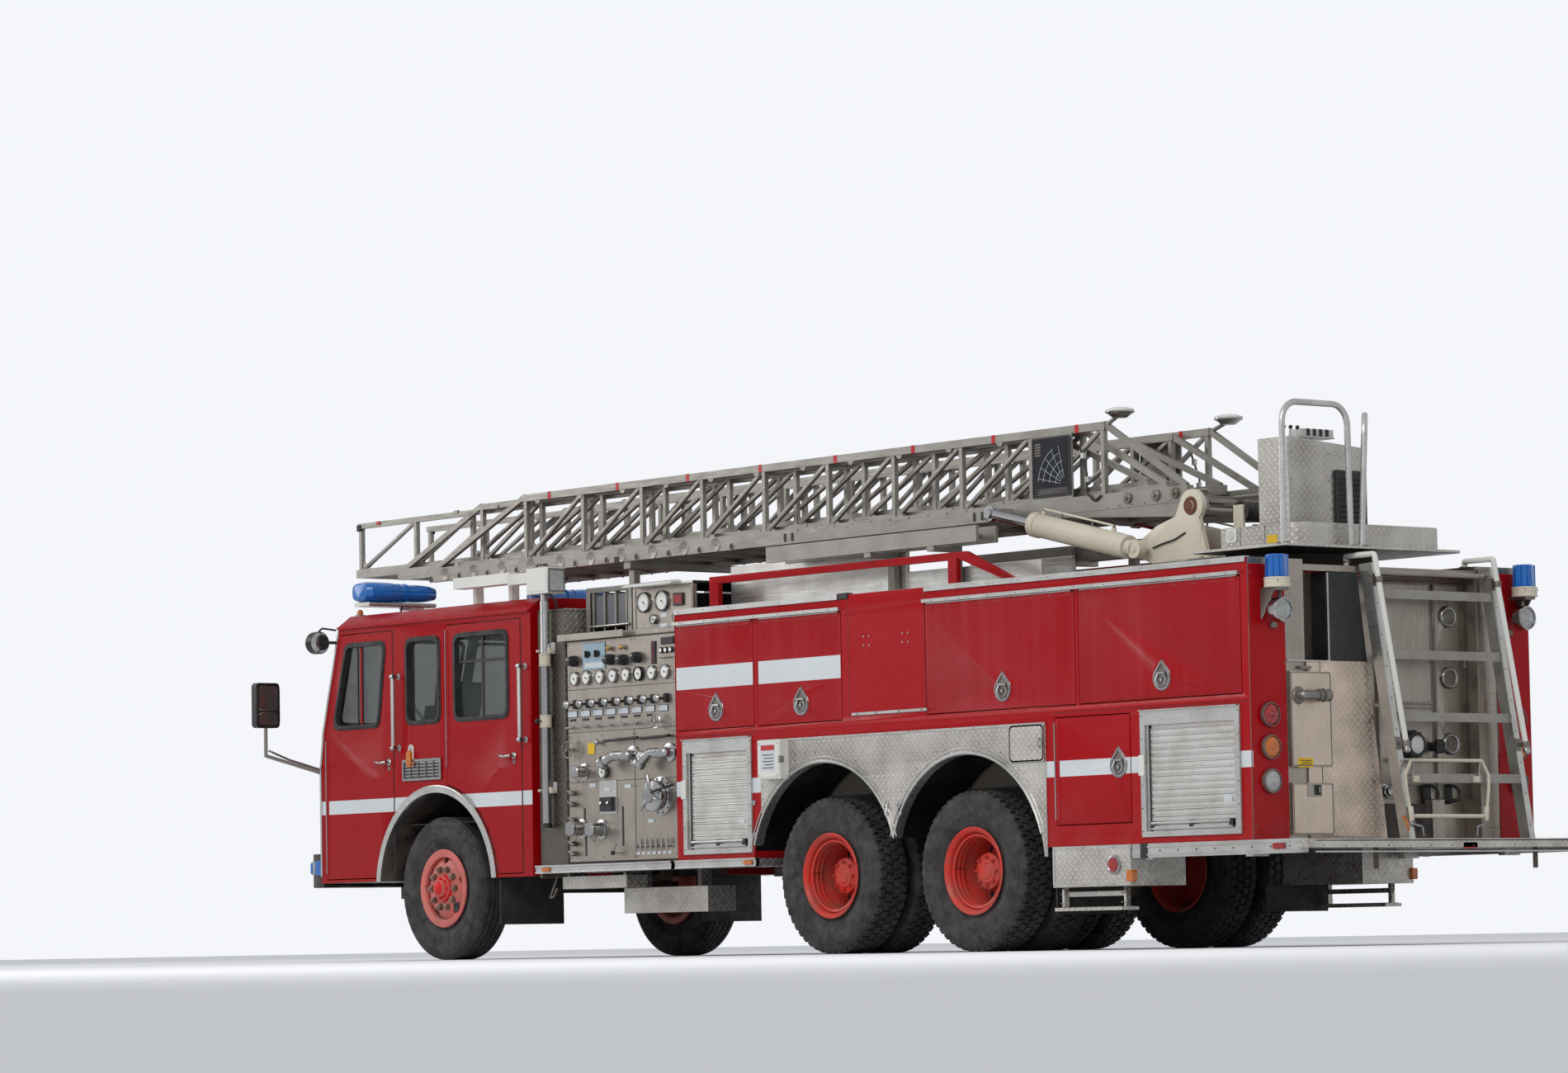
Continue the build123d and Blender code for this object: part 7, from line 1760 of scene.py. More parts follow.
@dataclass
class BodySides:
    """What is fixed to the body's sides: rails, shutters, fenders, boards, lamps and reflectors."""

    frame: dict

    def build(self) -> None:
        """Makes the castings and both sides' fittings."""
        self.castings()
        for side in Side:
            Lockers(self.frame, side).build()
            for name, make in (("body_fittings", self.fittings), ("shutter_fittings", self.shutters),
                               ("fender_fittings", self.fender), ("board_fittings", self.boards)):
                shape = Shape(f"{name}_{side.word}")
                make(shape)
                shape.to_side(side)
                shape.piece("vehicle", "aluminium")

    def castings(self) -> None:
        """The body's own nodes, with their finishes by region."""
        Casting("body_shell", BODY_RED,
            # The inside of the wheel arches: black liner darkened as painted shade.
            stripe_areas() + (Area(ARCH_SHADE_BLACK, (stn(-2.47), -1.235, 0.0), (stn(0.6), 1.235, 1.485)),
            # Faces low on the body that face down are painted black: painted shade under the body.
            Area(BLACK, (-FAR, -1.3, 0.5), (FAR, 1.3, 0.75), (0, 0, -1)),
            Area(STAINLESS, (stn(-4.3), -0.8, 0.6), (stn(-4.05), 0.8, 2.45)),
            Area(STAINLESS, (-FAR, -0.815, 0.6), (stn(1.46), 0.815, 2.45), OUT),
            Area(STAINLESS, (-FAR, -0.815, 0.6), (stn(1.46), 0.815, 2.45), (0, -1, 0)),
            Area(STAINLESS, (stn(-4.2715), -1.24, 0.6), (stn(-4.2685), 1.24, 2.45), AFT),
            Area(LADDER_METAL, (-FAR, -1.205, 1.5), (stn(1.42), 1.205, 2.27), OUT),
            Area(LADDER_METAL, (-FAR, -1.205, 1.5), (stn(1.42), 1.205, 2.27), (0, -1, 0)),
            Area(TREAD_TOP, (-FAR, -1.3, 2.32), (FAR, 1.3, 2.45), UP)) + paired(ALUMINIUM,
            (-FAR, 1.2502, 2.29), (FAR, 1.3, 2.33)), 0.0015, STRIPE_CUTS).piece(self.frame)
        Casting("roller_shutters", SLAT_METAL, paired(ALUMINIUM, (-FAR, 1.2502, 0.0), (FAR, 1.3, 3.0)),
                0.001).piece(self.frame)
        Casting("tread_plates", ALUMINIUM, paired(WHITE, (stn(0.2), 1.25, 1.18), (stn(0.48), 1.34, 1.47))
                + paired(ALUMINIUM, (-FAR, 1.2795, 0.6), (FAR, 1.285, 0.67))
                + paired(ALUMINIUM, (stn(-4.7), 1.18, 0.56), (stn(-3.18), 1.27, 0.665)) + treads(),
                0.002).piece(self.frame)
        Casting("mud_flaps", RUBBER, (), 0.003).piece(self.frame)
        Casting("ladder_posts", LADDER_METAL, (), 0.003).piece(self.frame)
        Casting("ground_ladders", LADDER_METAL, (), 0.002).piece(self.frame)
        Casting("hose_bed_walls", BODY_RED, (Area(SLAT_METAL, (stn(-3.5), -0.8, 2.0), (stn(1.47), 0.8, 2.9)),
            Area(LADDER_METAL, (stn(2.7), -0.7, 2.5), (stn(3.1), 0.7, 2.9))), 0.003).piece(self.frame)

    def fittings(self, shape: Shape) -> None:
        """Edge strips, the fixed panel's seams, rivets and foot strip, and the band's seams."""
        top = 2.4
        for x0, x1 in ((-4.26, -1.225), (-0.33, 1.45)):
            shape.slab([(1.215, top - 0.002), (1.256, top - 0.002), (1.256, top - 0.03), (1.262, top - 0.03),
                (1.262, top + 0.007), (1.215, top + 0.007)], View.REAR, stn(x0), stn(x1), ALUMINIUM, 0.001)
            shape.row(stn(x0) + 0.05, stn(x1) - 0.05, 0.3, 1.2618, top - 0.012, 0.004, STEEL, 0.002)
        shape.box((stn(-0.435), 1.205, top - 0.03), (stn(-0.335), 1.262, top + 0.012), PLASTIC, 0.004)
        for x in (-0.43, -1.212):
            shape.box((stn(x) - 0.002, SKIN - 0.004, 1.545), (stn(x) + 0.002, SKIN + 0.0008, 2.398), RUBBER,
                      0.0)
        shape.box((stn(-1.23), SKIN - 0.001, 1.585), (stn(-0.46), SKIN + 0.009, 1.605), ALUMINIUM, 0.002)
        shape.bolts([(stn(x), SKIN + 0.009, 1.595) for x in (-0.52, -0.72, -0.95, -1.18)], OUT, 0.007, STEEL,
                    0.003)
        for x in (-0.62, -1.02):
            shape.bolts([(stn(x) + dx, SKIN, 2.08 + dz) for dx in (-0.028, 0.028) for dz in (-0.03, 0.03)],
                        OUT, 0.008, CHROME, 0.004, 10)
        for x0, x1 in ((-4.26, -2.45), (0.56, 1.45)):
            shape.box((stn(x0), SKIN - 0.004, 1.512), (stn(x1), SKIN + 0.0008, 1.515), RUBBER, 0.0)
        for x0, x1 in ((-4.208, -1.217), (-0.358, 1.458)):
            shape.row(stn(x0) + 0.1, stn(x1) - 0.1, 0.28, SKIN + 0.028, 2.307, 0.005, STEEL, 0.002)
        for z in (0.8, 1.02):
            shape.tile((stn(0.585), stn(0.625), z, z + 0.035), 0.008, View.SIDE, SKIN, SKIN + 0.008, CHROME,
                       0.002)

    def shutters(self, shape: Shape) -> None:
        """Frames, slat seams, brush seals, drip heads, lift bars with latches and side brackets."""
        for x0, x1 in ((stn(0.66), stn(1.33)), (stn(-4.14), stn(-3.33))):
            z0, z1 = 0.735, 1.4
            shape.band(rounded(rect(x0 - 0.043, x1 + 0.043, z0 - 0.033, z1 + 0.093), 0.012),
                       rect_ring(x0, x1, z0, z1), View.SIDE, SKIN + 0.009, SKIN + 0.015, ALUMINIUM)
            for x, way in ((x0, 1), (x1, -1)):
                shape.box((min(x, x + way * 0.02), SKIN - 0.03, z0), (max(x, x + way * 0.02), SKIN + 0.002,
                    z1), ALUMINIUM, 0.002)
                shape.box((min(x + way * 0.02, x + way * 0.026), SKIN - 0.02, z0),
                          (max(x + way * 0.02, x + way * 0.026), SKIN - 0.006, z1), RUBBER, 0.0)
            for i in range(15):
                z = z0 + 0.052 + 0.042 * i
                shape.bar(X, x0 + 0.024, x1 - 0.024, (SKIN - 0.011, z), 0.0035, SLAT_METAL, sides=8)
                shape.box((x0 + 0.024, SKIN - 0.017, z - 0.01), (x1 - 0.024, SKIN - 0.0155, z - 0.005),
                          RUBBER, 0.0)
            shape.bar(X, x0 + 0.05, x1 - 0.05, (SKIN + 0.014, z0 + 0.05), 0.01, ALUMINIUM, sides=14)
            for x in (x0 + 0.05, (x0 + x1) / 2, x1 - 0.05):
                shape.box((x - 0.02, SKIN - 0.014, z0 + 0.02), (x + 0.02, SKIN + 0.016, z0 + 0.064), PLASTIC,
                          0.004)
            shape.box((x0 - 0.04, SKIN + 0.008, z1 + 0.088), (x1 + 0.04, SKIN + 0.034, z1 + 0.097), ALUMINIUM,
                      0.002)
            shape.bolts([(x, SKIN + 0.015, z) for x in (x0 - 0.03, x1 + 0.03)
                         for z in spread(z0, z1 + 0.06, 0.14)], OUT, 0.005, STEEL, 0.003)
            shape.tile((x1 + 0.006, x1 + 0.06, 1.085, 1.215), 0.012, View.SIDE, SKIN + 0.014, SKIN + 0.02,
                       WHITE, 0.002)
            shape.box((x0 + 0.06, SKIN - 0.0115, 0.9), (x0 + 0.13, SKIN - 0.0095, 0.945), LABEL, 0.0)

    def fender(self, shape: Shape) -> None:
        """The fenders' rolled lips, rivets, the V's drop handles, the fuel door and the filler box."""
        out = SKIN + 0.008
        for axle, start, stop in ((stn(-0.14), 17, 162), (stn(-1.6), 18, 163)):
            for radius, size in ((0.77, 0.01), (0.8, 0.005)):
                arc = [(axle + radius * math.cos(math.radians(a)), out, TYRE_RADIUS + radius
                        * math.sin(math.radians(a))) for a in range(start, stop + 1, 5)]
                shape.pipe(arc, size, ALUMINIUM, 10, 0.02)
            inner = [polar(axle, TYRE_RADIUS, 0.763, a) for a in range(start, stop + 1, 5)]
            for (xa, za), (xb, zb) in zip(inner, inner[1:]):
                shape.slab([(xa, za), (xb, zb), (xb, zb - 0.004), (xa, za - 0.004)], View.SIDE, SKIN - 0.06,
                           out, ALUMINIUM)
            shape.bolts([(axle + 0.835 * math.cos(math.radians(a)), out - 0.001, TYRE_RADIUS + 0.835
                          * math.sin(math.radians(a))) for a in range(40, 145, 15)], OUT, 0.005, STEEL, 0.002)
        shape.box((stn(-2.39), SKIN + 0.005, 1.447), (stn(0.52), SKIN + 0.012, 1.462), ALUMINIUM, 0.001)
        shape.row(stn(-2.36), stn(0.49), 0.22, SKIN + 0.012, 1.455, 0.0045, STEEL, 0.002)
        for x, lean in ((-0.8, -0.02), (-0.94, 0.02)):
            shape.tile((stn(x) - 0.02, stn(x) + 0.02, 0.905, 1.005), 0.018, View.SIDE, SKIN + 0.006,
                       SKIN + 0.012, CHROME, 0.002)
            shape.pipe([(stn(x) - 0.012, SKIN + 0.014, 0.985), (stn(x) + lean, SKIN + 0.024, 0.925),
                        (stn(x) + 0.012, SKIN + 0.014, 0.985)], 0.004, CHROME, 8, 0.02)
        x0, x1, z0, z1 = stn(-2.385), stn(-2.052), 1.212, 1.452
        shape.ring((x0 + 0.002, x1 - 0.002, z0 + 0.002, z1 - 0.002), 0.03,
                   (x0 + 0.012, x1 - 0.012, z0 + 0.012, z1 - 0.012), 0.025, View.SIDE, SKIN + 0.013,
                   SKIN + 0.02, ALUMINIUM)
        shape.bar(Z, z0 + 0.03, z1 - 0.03, (x1 - 0.004, SKIN + 0.018), 0.006, STEEL, sides=10)
        shape.pipe([(x0 + 0.03, SKIN + 0.016, 1.3), (x0 + 0.03, SKIN + 0.036, 1.31),
            (x0 + 0.03, SKIN + 0.036, 1.35), (x0 + 0.03, SKIN + 0.016, 1.36)], 0.005, CHROME, 8, 0.008)
        x0, x1, out = stn(0.215), stn(0.46), SKIN + 0.08
        shape.tile((x0 + 0.01, x1 - 0.01, 1.2, 1.446), 0.02, View.SIDE, out - 0.001, out + 0.006, WHITE,
                   0.002)
        shape.slab(rect(x0 + 0.05, x1 - 0.04, 1.245, 1.425), View.SIDE, out + 0.005, out + 0.0065, LABEL)
        shape.slab(rect(x0 + 0.055, x1 - 0.045, 1.385, 1.42), View.SIDE, out + 0.006, out + 0.0072, BAND_RED)
        for i in range(5):
            shape.box((x0 + 0.065, out + 0.006, 1.262 + 0.022 * i), (x1 - 0.058 - 0.02 * (i % 2), out + 0.007,
                1.27 + 0.022 * i), STEEL, 0.0)
        shape.bar(Z, 1.22, 1.43, (x1 + 0.002, out - 0.02), 0.006, STEEL, sides=10)
        shape.box((x0 - 0.004, out - 0.03, 1.3), (x0 + 0.012, out + 0.012, 1.345), CHROME, 0.003)
        shape.bolts([(x, out + 0.006, z) for x in (x0 + 0.025, x1 - 0.025) for z in (1.215, 1.43)], OUT,
                    0.005, STEEL, 0.002)

    def boards(self, shape: Shape) -> None:
        """Running board edges, marker lamps, the rear rail's screws and lamp, the tread box and flaps."""
        for x0, x1 in ((1.5, 3.08), (0.56, 1.455)):
            shape.slab([(1.25, 0.605), (1.286, 0.605), (1.286, 0.614), (1.276, 0.618), (1.276, 0.646),
                (1.288, 0.65), (1.288, 0.664), (1.25, 0.664)], View.REAR, stn(x0), stn(x1), ALUMINIUM, 0.001)
            shape.row(stn(x0) + 0.06, stn(x1) - 0.06, 0.22, 1.276, 0.632, 0.0055, STEEL, 0.003)
        for x, lens in ((2.95, AMBER_LENS), (0.64, AMBER_LENS)):
            shape.tile((stn(x) - 0.055, stn(x) + 0.055, 0.614, 0.652), 0.015, View.SIDE, 1.275, 1.281, CHROME)
            shape.tile((stn(x) - 0.046, stn(x) + 0.046, 0.619, 0.647), 0.012, View.SIDE, 1.28, 1.292, lens,
                       0.004)
        rail = 1.262
        for z in (0.59, 0.64):
            shape.box((stn(-4.69), rail - 0.001, z - 0.006), (stn(-3.19), rail + 0.006, z + 0.006), ALUMINIUM,
                      0.002)
        shape.row(stn(-4.6), stn(-3.28), 0.165, rail, 0.615, 0.007, STEEL, 0.004)
        shape.box((stn(-3.33), rail - 0.01, 0.57), (stn(-3.27), rail + 0.008, 0.662), PLASTIC, 0.003)
        shape.tile((stn(-4.56), stn(-4.46), 0.598, 0.634), 0.014, View.SIDE, rail, rail + 0.014, RED_LENS,
                   0.004)
        out = SKIN + 0.01
        shape.ring((stn(-3.172), stn(-2.443), 0.403, 0.657), 0.02, (stn(-3.155), stn(-2.46), 0.42, 0.64),
                   0.015, View.SIDE, out - 0.001, out + 0.003, ALUMINIUM)
        shape.bolts([(x, out + 0.003, z) for x in spread(stn(-3.163), stn(-2.452), 0.14)
                     for z in (0.412, 0.648)], OUT, 0.004, STEEL, 0.002)
        centre = (stn(-3.02), out, 0.535)
        shape.turned([(0.0, 0.01), (0.046, 0.01), (0.05, 0.013), (0.06, 0.011), (0.062, 0.0), (0.0, 0.0)],
                     centre, OUT, CHROME, 30)
        shape.turned([(0.0, 0.014), (0.044, 0.012), (0.044, 0.0), (0.0, 0.0)],
                     (centre[0], out + 0.001, centre[2]), OUT, RED_LENS, 30)
        shape.tile((stn(-3.2), stn(-3.145), 0.425, 0.5), 0.012, View.SIDE, out - 0.03, out + 0.016,
                   AMBER_LENS, 0.006)
        x0, x1 = 3.075, 3.085
        shape.box((stn(x0), 0.93, 0.575), (stn(x1) + 0.012, 1.225, 0.61), STEEL, 0.002)
        shape.pipe([(stn(2.97), 1.16, 0.6), (stn(2.99), 1.19, 0.5), (stn(3.02), 1.2, 0.43),
                    (stn(2.96), 1.21, 0.44), (stn(2.93), 1.2, 0.5)], 0.007, STEEL, 8, 0.03)
        for x in (-3.04, -2.47):
            shape.bolts([(stn(x) + 0.006, 1.21, z) for z in (0.3, 0.36)], OUT, 0.008, STEEL, 0.004)
        for i in range(12):
            x = stn(-3.04) + 0.048 * i
            shape.box((x, 1.105, 0.2715), (x + 0.012, 1.245, 0.276), STEEL, 0.0)


def rect_ring(x0: float, x1: float, z0: float, z1: float) -> list[tuple[float, float]]:
    """A rectangle's corners, each given as often as a rounded corner has points."""
    return rounded(rect(x0, x1, z0, z1), 0.0005)


def treads_in(low: Point, high: Point) -> tuple[Area, ...]:
    """Tread plate on the faces inside a region, read in the plane of each."""
    return tuple(Area(area.finish, low, high, area.facing) for area in treads(TREAD_SIDE))


@dataclass
class RearFace:
    """The rear of the body: wall, doors, ports, valves, ladder, tubes, lamps, beacons and tailboard."""

    frame: dict
    face: float = stn(-4.284)
    wall: float = stn(-4.148)
    seam: float = 0.655
    soot: float = 1.77

    def build(self) -> None:
        """Makes the castings and the fittings."""
        self.castings()
        for name, make in (("rear_corner_fittings", self.corner), ("rear_wall_fittings", self.recess),
                           ("access_ladder_fittings", self.ladder), ("step_frame", self.step_frame),
                           ("tailboard_fittings", self.tailboard)):
            shape = Shape(name)
            make(shape)
            shape.piece("vehicle", "aluminium")
        lamps = Shape("rear_lamp_fittings")
        self.lamps(lamps)
        lamps.both_sides()
        lamps.piece("vehicle", "chrome")

    def castings(self) -> None:
        """The rear nodes with their finishes by region."""
        seam, soot = self.seam, self.soot
        Casting("rear_wall", STAINLESS,
            (Area(PALE_STAINLESS, (self.face - 0.02, 0.655, 0.6), (self.face + 0.016, 0.95, soot), AFT),
            Area(PALE_STAINLESS, (self.face - 0.02, 0.57, 0.6), (self.face - 0.008, 0.95, soot), AFT),
            Area(PLASTIC, (self.face - 0.02, 0.05, soot), (self.face + 0.03, seam, 2.5)),
            # The open recess beside the corner door is painted black: painted shade.
            Area(PLASTIC, (self.face + 0.02, 0.54, 1.75), (stn(-4.0), 0.8, 2.5)),
            Area(TREAD_WARM, (self.face - 0.004, 0.05, 0.6), (self.face + 0.001, seam, soot), AFT),
            Area(STEEL, (self.wall - 0.02, -0.7, 1.19), (self.wall - 0.001, -0.55, 2.16))), 0.0015,
            (((0.0, seam, 0.0), (0.0, 1.0, 0.0)), ((0.0, 0.0, soot), (0.0, 0.0, 1.0)))).piece(self.frame)
        Casting("access_ladder", ALUMINIUM, (), 0.004).piece(self.frame)
        Casting("tail_lamps", STEEL, paired(RED_LENS, (stn(-4.31), 1.02, 1.35), (stn(-4.2755), 1.18, 1.51))
                + paired(AMBER_LENS, (stn(-4.31), 1.02, 1.15), (stn(-4.2755), 1.18, 1.31))
                + paired(CLEAR_LENS, (stn(-4.31), 1.02, 0.94), (stn(-4.2755), 1.18, 1.1))
                + paired(CREAM, (stn(-4.47), 1.01, 2.21), (stn(-4.29), 1.19, 2.275))
                + paired(CHROME, (stn(-4.42), 1.0, 1.98), (stn(-4.32), 1.17, 2.15)), 0.003).piece(self.frame)

    def corner(self, shape: Shape) -> None:
        """The corner's seams, hose valve, label, latch and door frames, and the dark recess's bright edge."""
        face = self.face
        shape.box((face - 0.0015, self.seam - 0.002, 0.68), (face + 0.01, self.seam + 0.002, self.soot),
                  RUBBER, 0.0)
        shape.box((face - 0.003, 0.565, self.soot), (face + 0.004, 0.58, 2.32), CHROME, 0.001)
        shape.box((face - 0.004, 0.56, self.soot - 0.008), (face + 0.01, 0.94, self.soot + 0.002), ALUMINIUM,
                  0.001)
        for z0, z1 in ((1.11, 1.7), (0.69, 1.01)):
            shape.ring((0.922, 0.578, z1 - 0.004, z0 + 0.004), 0.01, (0.916, 0.584, z1 - 0.01, z0 + 0.01),
                       0.008, View.REAR, face - 0.0145, face - 0.0115, STEEL)
        for z in spread(0.75, 1.7, 0.12):
            shape.bolts([(face - 0.001, 0.93, z), (face - 0.001, 0.12 + 0.02 * z, z)], AFT, 0.005, STEEL,
                        0.003)
        y, z, out = 0.86, 1.55, face - 0.012
        shape.turned([(0.0, 0.016), (0.046, 0.014), (0.05, 0.004), (0.058, 0.0), (0.0, 0.0)], (out, y, z),
                     AFT, STEEL, 30)
        shape.pipe([(out, y, z), (out - 0.045, y - 0.01, z), (out - 0.06, y - 0.05, z),
                    (out - 0.06, y - 0.13, z)], 0.03, STEEL, 18, 0.03)
        shape.bar(Y, y - 0.135, y - 0.115, (out - 0.06, z), 0.04, STEEL, sides=24, edge=0.003)
        shape.bar(Y, y - 0.165, y - 0.145, (out - 0.06, z), 0.044, STEEL, sides=8, edge=0.003)
        shape.bar(Y, y - 0.215, y - 0.165, (out - 0.06, z), 0.035, ALUMINIUM, sides=24, edge=0.003)
        for i in range(4):
            shape.bar(Y, y - 0.172 - 0.012 * i, y - 0.168 - 0.012 * i, (out - 0.06, z), 0.038, STEEL,
                      sides=24)
        shape.box((face - 0.014, 0.745, 1.105), (face - 0.0115, 0.875, 1.165), YELLOW, 0.0)
        for i in range(3):
            shape.box((face - 0.0146, 0.76, 1.118 + 0.014 * i), (face - 0.0138, 0.86 - 0.02 * (i == 1),
                1.123 + 0.014 * i), BLACK, 0.0)
        shape.box((face - 0.018, 0.68, 0.925), (face - 0.011, 0.8, 1.005), STAINLESS, 0.002)
        shape.box((face - 0.026, 0.688, 0.935), (face - 0.016, 0.745, 0.998), PLASTIC, 0.004)
        shape.bar(Z, 0.95, 0.985, (face - 0.034, 0.716), 0.005, CHROME, sides=10)
        shape.box((face - 0.0135, 0.74, 1.715), (face - 0.01, 0.83, 1.735), STEEL, 0.001)

    def recess(self, shape: Shape) -> None:
        """The recessed wall's seams, ports, latch, capped valves, handles, bar and rear panel screws."""
        wall = self.wall
        for y0, y1, z0, z1 in ((-0.48, 0.02, 1.0, 1.5), (-0.48, 0.02, 1.52, 2.29), (-0.74, -0.5, 0.92, 2.29)):
            shape.ring((y1 - 0.005, y0 + 0.005, z1 - 0.005, z0 + 0.005), 0.012,
                       (y1 - 0.013, y0 + 0.013, z1 - 0.013, z0 + 0.013), 0.01, View.REAR, wall - 0.003,
                       wall + 0.001, STEEL)
            shape.bolts([(wall - 0.001, y, z) for y in (y0 + 0.022, y1 - 0.022)
                         for z in spread(z0 + 0.03, z1 - 0.03, 0.24)], AFT, 0.005, CHROME, 0.003)
        for z in (2.08, 1.69, 1.27):
            at = (wall - 0.012, -0.625, z)
            shape.turned([(0.046, 0.0), (0.05, 0.01), (0.062, 0.012), (0.068, 0.006), (0.07, 0.0)], at, AFT,
                         CHROME, 40, ring=True)
            shape.turned([(0.0, 0.004), (0.03, 0.004), (0.034, 0.001), (0.046, 0.001), (0.046, -0.008),
                          (0.0, -0.008)], at, AFT, STEEL, 32)
            shape.bolts([(at[0] - 0.01, at[1] + 0.056 * math.cos(a), z + 0.056 * math.sin(a))
                         for a in (0.8, 2.4, 3.9, 5.5)], AFT, 0.004, STEEL, 0.002)
        y, z = -0.11, 1.59
        at = (wall, y, z)
        shape.turned([(0.0, 0.004), (0.052, 0.004), (0.06, 0.01), (0.07, 0.008), (0.074, 0.0), (0.0, 0.0)],
                     at, AFT, CHROME, 36)
        shape.slab([(y - 0.03, z + 0.062), (y + 0.03, z + 0.062), (y, z + 0.105)], View.REAR, wall - 0.008,
                   wall, CHROME)
        shape.pipe([(wall - 0.008, y - 0.034, z + 0.02), (wall - 0.022, y - 0.04, z - 0.02),
                    (wall - 0.024, y, z - 0.052), (wall - 0.022, y + 0.04, z - 0.02),
                    (wall - 0.008, y + 0.034, z + 0.02)], 0.006, CHROME, 10, 0.02)
        shape.bar(Y, y - 0.042, y + 0.042, (wall - 0.01, z + 0.022), 0.008, CHROME, sides=12)
        at = (wall, -0.26, 1.26)
        shape.turned([(0.0, 0.07), (0.058, 0.07), (0.06, 0.066), (0.08, 0.064), (0.084, 0.058), (0.084, 0.03),
                      (0.094, 0.026), (0.094, 0.0), (0.0, 0.0)], at, AFT, PLASTIC, 36)
        shape.turned([(0.0, 0.004), (0.05, 0.002), (0.057, 0.0), (0.0, 0.0)], (wall - 0.07, -0.26, 1.26), AFT,
                     ALUMINIUM, 36)
        for i in range(12):
            turn = math.tau * i / 12
            a, c = -0.26 + 0.084 * math.cos(turn), 1.26 + 0.084 * math.sin(turn)
            shape.rod((wall - 0.058, a, c), (wall - 0.032, a, c), 0.007, PLASTIC, sides=8)
        shape.bar(X, wall, wall - 0.055, (-0.455, 1.25), 0.03, PLASTIC, sides=20, edge=0.004)
        shape.box((wall - 0.085, -0.49, 1.205), (wall - 0.05, -0.425, 1.295), PLASTIC, 0.008)
        for i in range(4):
            shape.box((wall - 0.088, -0.485, 1.218 + 0.02 * i), (wall - 0.083, -0.43, 1.226 + 0.02 * i),
                      RUBBER, 0.001)
        shape.turned([(0.0, 0.06), (0.022, 0.058), (0.026, 0.04), (0.034, 0.036), (0.036, 0.01),
                      (0.048, 0.006), (0.048, -0.02), (0.0, -0.02)], (wall, -0.02, 0.965), AFT, CHROME, 28)
        shape.rod((wall - 0.045, -0.02, 0.965), (wall - 0.045, -0.075, 0.99), 0.007, CHROME, sides=10)
        for y in (-0.4, -0.595):
            z = 0.95
            shape.tile((y + 0.035, y - 0.035, z + 0.065, z - 0.065), 0.02, View.REAR, wall - 0.006,
                       wall + 0.019, PLASTIC, 0.001)
            shape.pipe([(wall - 0.004, y + 0.015, z + 0.055), (wall - 0.06, y + 0.01, z + 0.052),
                        (wall - 0.072, y - 0.022, z + 0.03), (wall - 0.074, y - 0.03, z - 0.005),
                        (wall - 0.072, y - 0.018, z - 0.04), (wall - 0.004, y + 0.015, z - 0.05)], 0.011,
                       PLASTIC, 12, 0.02)
        shape.bar(Y, -0.07, -0.62, (wall - 0.055, 1.165), 0.012, ALUMINIUM, sides=16)
        for y in (-0.09, -0.6):
            shape.rod((wall, y, 1.165), (wall - 0.055, y, 1.165), 0.01, STEEL, sides=12)
        shape.box((self.face + 0.02, 0.098, 0.66), (wall + 0.001, 0.106, 0.925), STAINLESS, 0.001)
        shape.box((stn(-4.226), -0.485, 0.66), (wall + 0.016, -0.375, 0.915), STAINLESS, 0.004)
        shape.box((wall + 0.013, -0.62, 0.668), (wall + 0.019, 0.1, 0.915), STAINLESS, 0.001)
        shape.bolts([(wall + 0.013, y, z) for y in (-0.6, -0.26, 0.08) for z in (0.69, 0.9)], AFT, 0.005,
                    STEEL, 0.003)
        shape.box((wall + 0.002, -0.76, 2.3), (wall + 0.022, 0.54, 2.312), STEEL, 0.001)
        shape.bolts([(wall + 0.016, y, z) for y in (0.06, 0.26, 0.48, -0.755)
                     for z in (0.85, 1.25, 1.7, 2.15)], AFT, 0.005, STEEL, 0.004)

    @staticmethod
    def lean(z: float) -> float:
        """How far back the ladder's stiles stand at a height."""
        return stn(-4.44 + 0.11 * (z - 0.655) / 1.73)

    @staticmethod
    def across(head: float, foot: float, z: float) -> float:
        """Where a stile stands across the vehicle at a height."""
        return foot + (head - foot) * (z - 0.655) / 1.73

    def ladder(self, shape: Shape) -> None:
        """Stile edges and screws, rung lips and treads, the top rod, white grab tubes and their brackets."""
        pairs = ((0.27, 0.075), (-0.8, -1.01))
        for head, foot in pairs:
            for z in spread(0.75, 2.33, 0.2):
                shape.bolts([(self.lean(z) - 0.0415, self.across(head, foot, z), z)], AFT, 0.005, STEEL,
                            0.003)
            low_y = self.across(head, foot, 1.215)
            low, top = (self.lean(1.215) - 0.11, low_y, 1.215), (stn(-4.4), head, 2.44)
            shape.pipe([low, top, (stn(-4.15), head, 2.44), (stn(-4.15), head, 2.405)], 0.0185, WHITE, 18,
                       0.03)
            shape.turned([(0.0, 0.006), (0.034, 0.006), (0.036, 0.0), (0.0, 0.0)], (stn(-4.15), head, 2.4),
                         UP, STEEL, 20)
            shape.ball(low, (0.024, 0.024, 0.024), CHROME, 16)
            for z in (1.255, 2.28):
                y = self.across(head, foot, z)
                share = (z - 1.215) / (2.44 - 1.215)
                x = low[0] + (top[0] - low[0]) * share
                tube_y = low_y + (head - low_y) * share
                shape.bar(Z, z - 0.018, z + 0.018, (x, tube_y), 0.026, STEEL, sides=18, edge=0.002)
                shape.box((x, min(y, tube_y) - 0.009, z - 0.012),
                          (self.lean(z) - 0.035, max(y, tube_y) + 0.009, z + 0.012), STEEL, 0.003)
                shape.box((self.lean(z) - 0.05, y - 0.024, z - 0.04),
                          (self.lean(z) - 0.04, y + 0.024, z + 0.04), STEEL, 0.003)
        for z in (1.04, 1.425, 1.815, 2.195):
            left, right = (self.across(*pair, z) for pair in pairs)
            y0, y1, x = right + 0.03, left - 0.03, self.lean(z)
            shape.slab([(x - 0.05, z + 0.026), (x - 0.05, z - 0.03), (x - 0.046, z - 0.03),
                        (x - 0.046, z + 0.022), (x + 0.046, z + 0.022), (x + 0.046, z + 0.026)], View.SIDE,
                       y0, y1, LADDER_METAL)
            count = 22
            for i in range(count):
                y = y0 + (y1 - y0) * (i + 0.5) / count
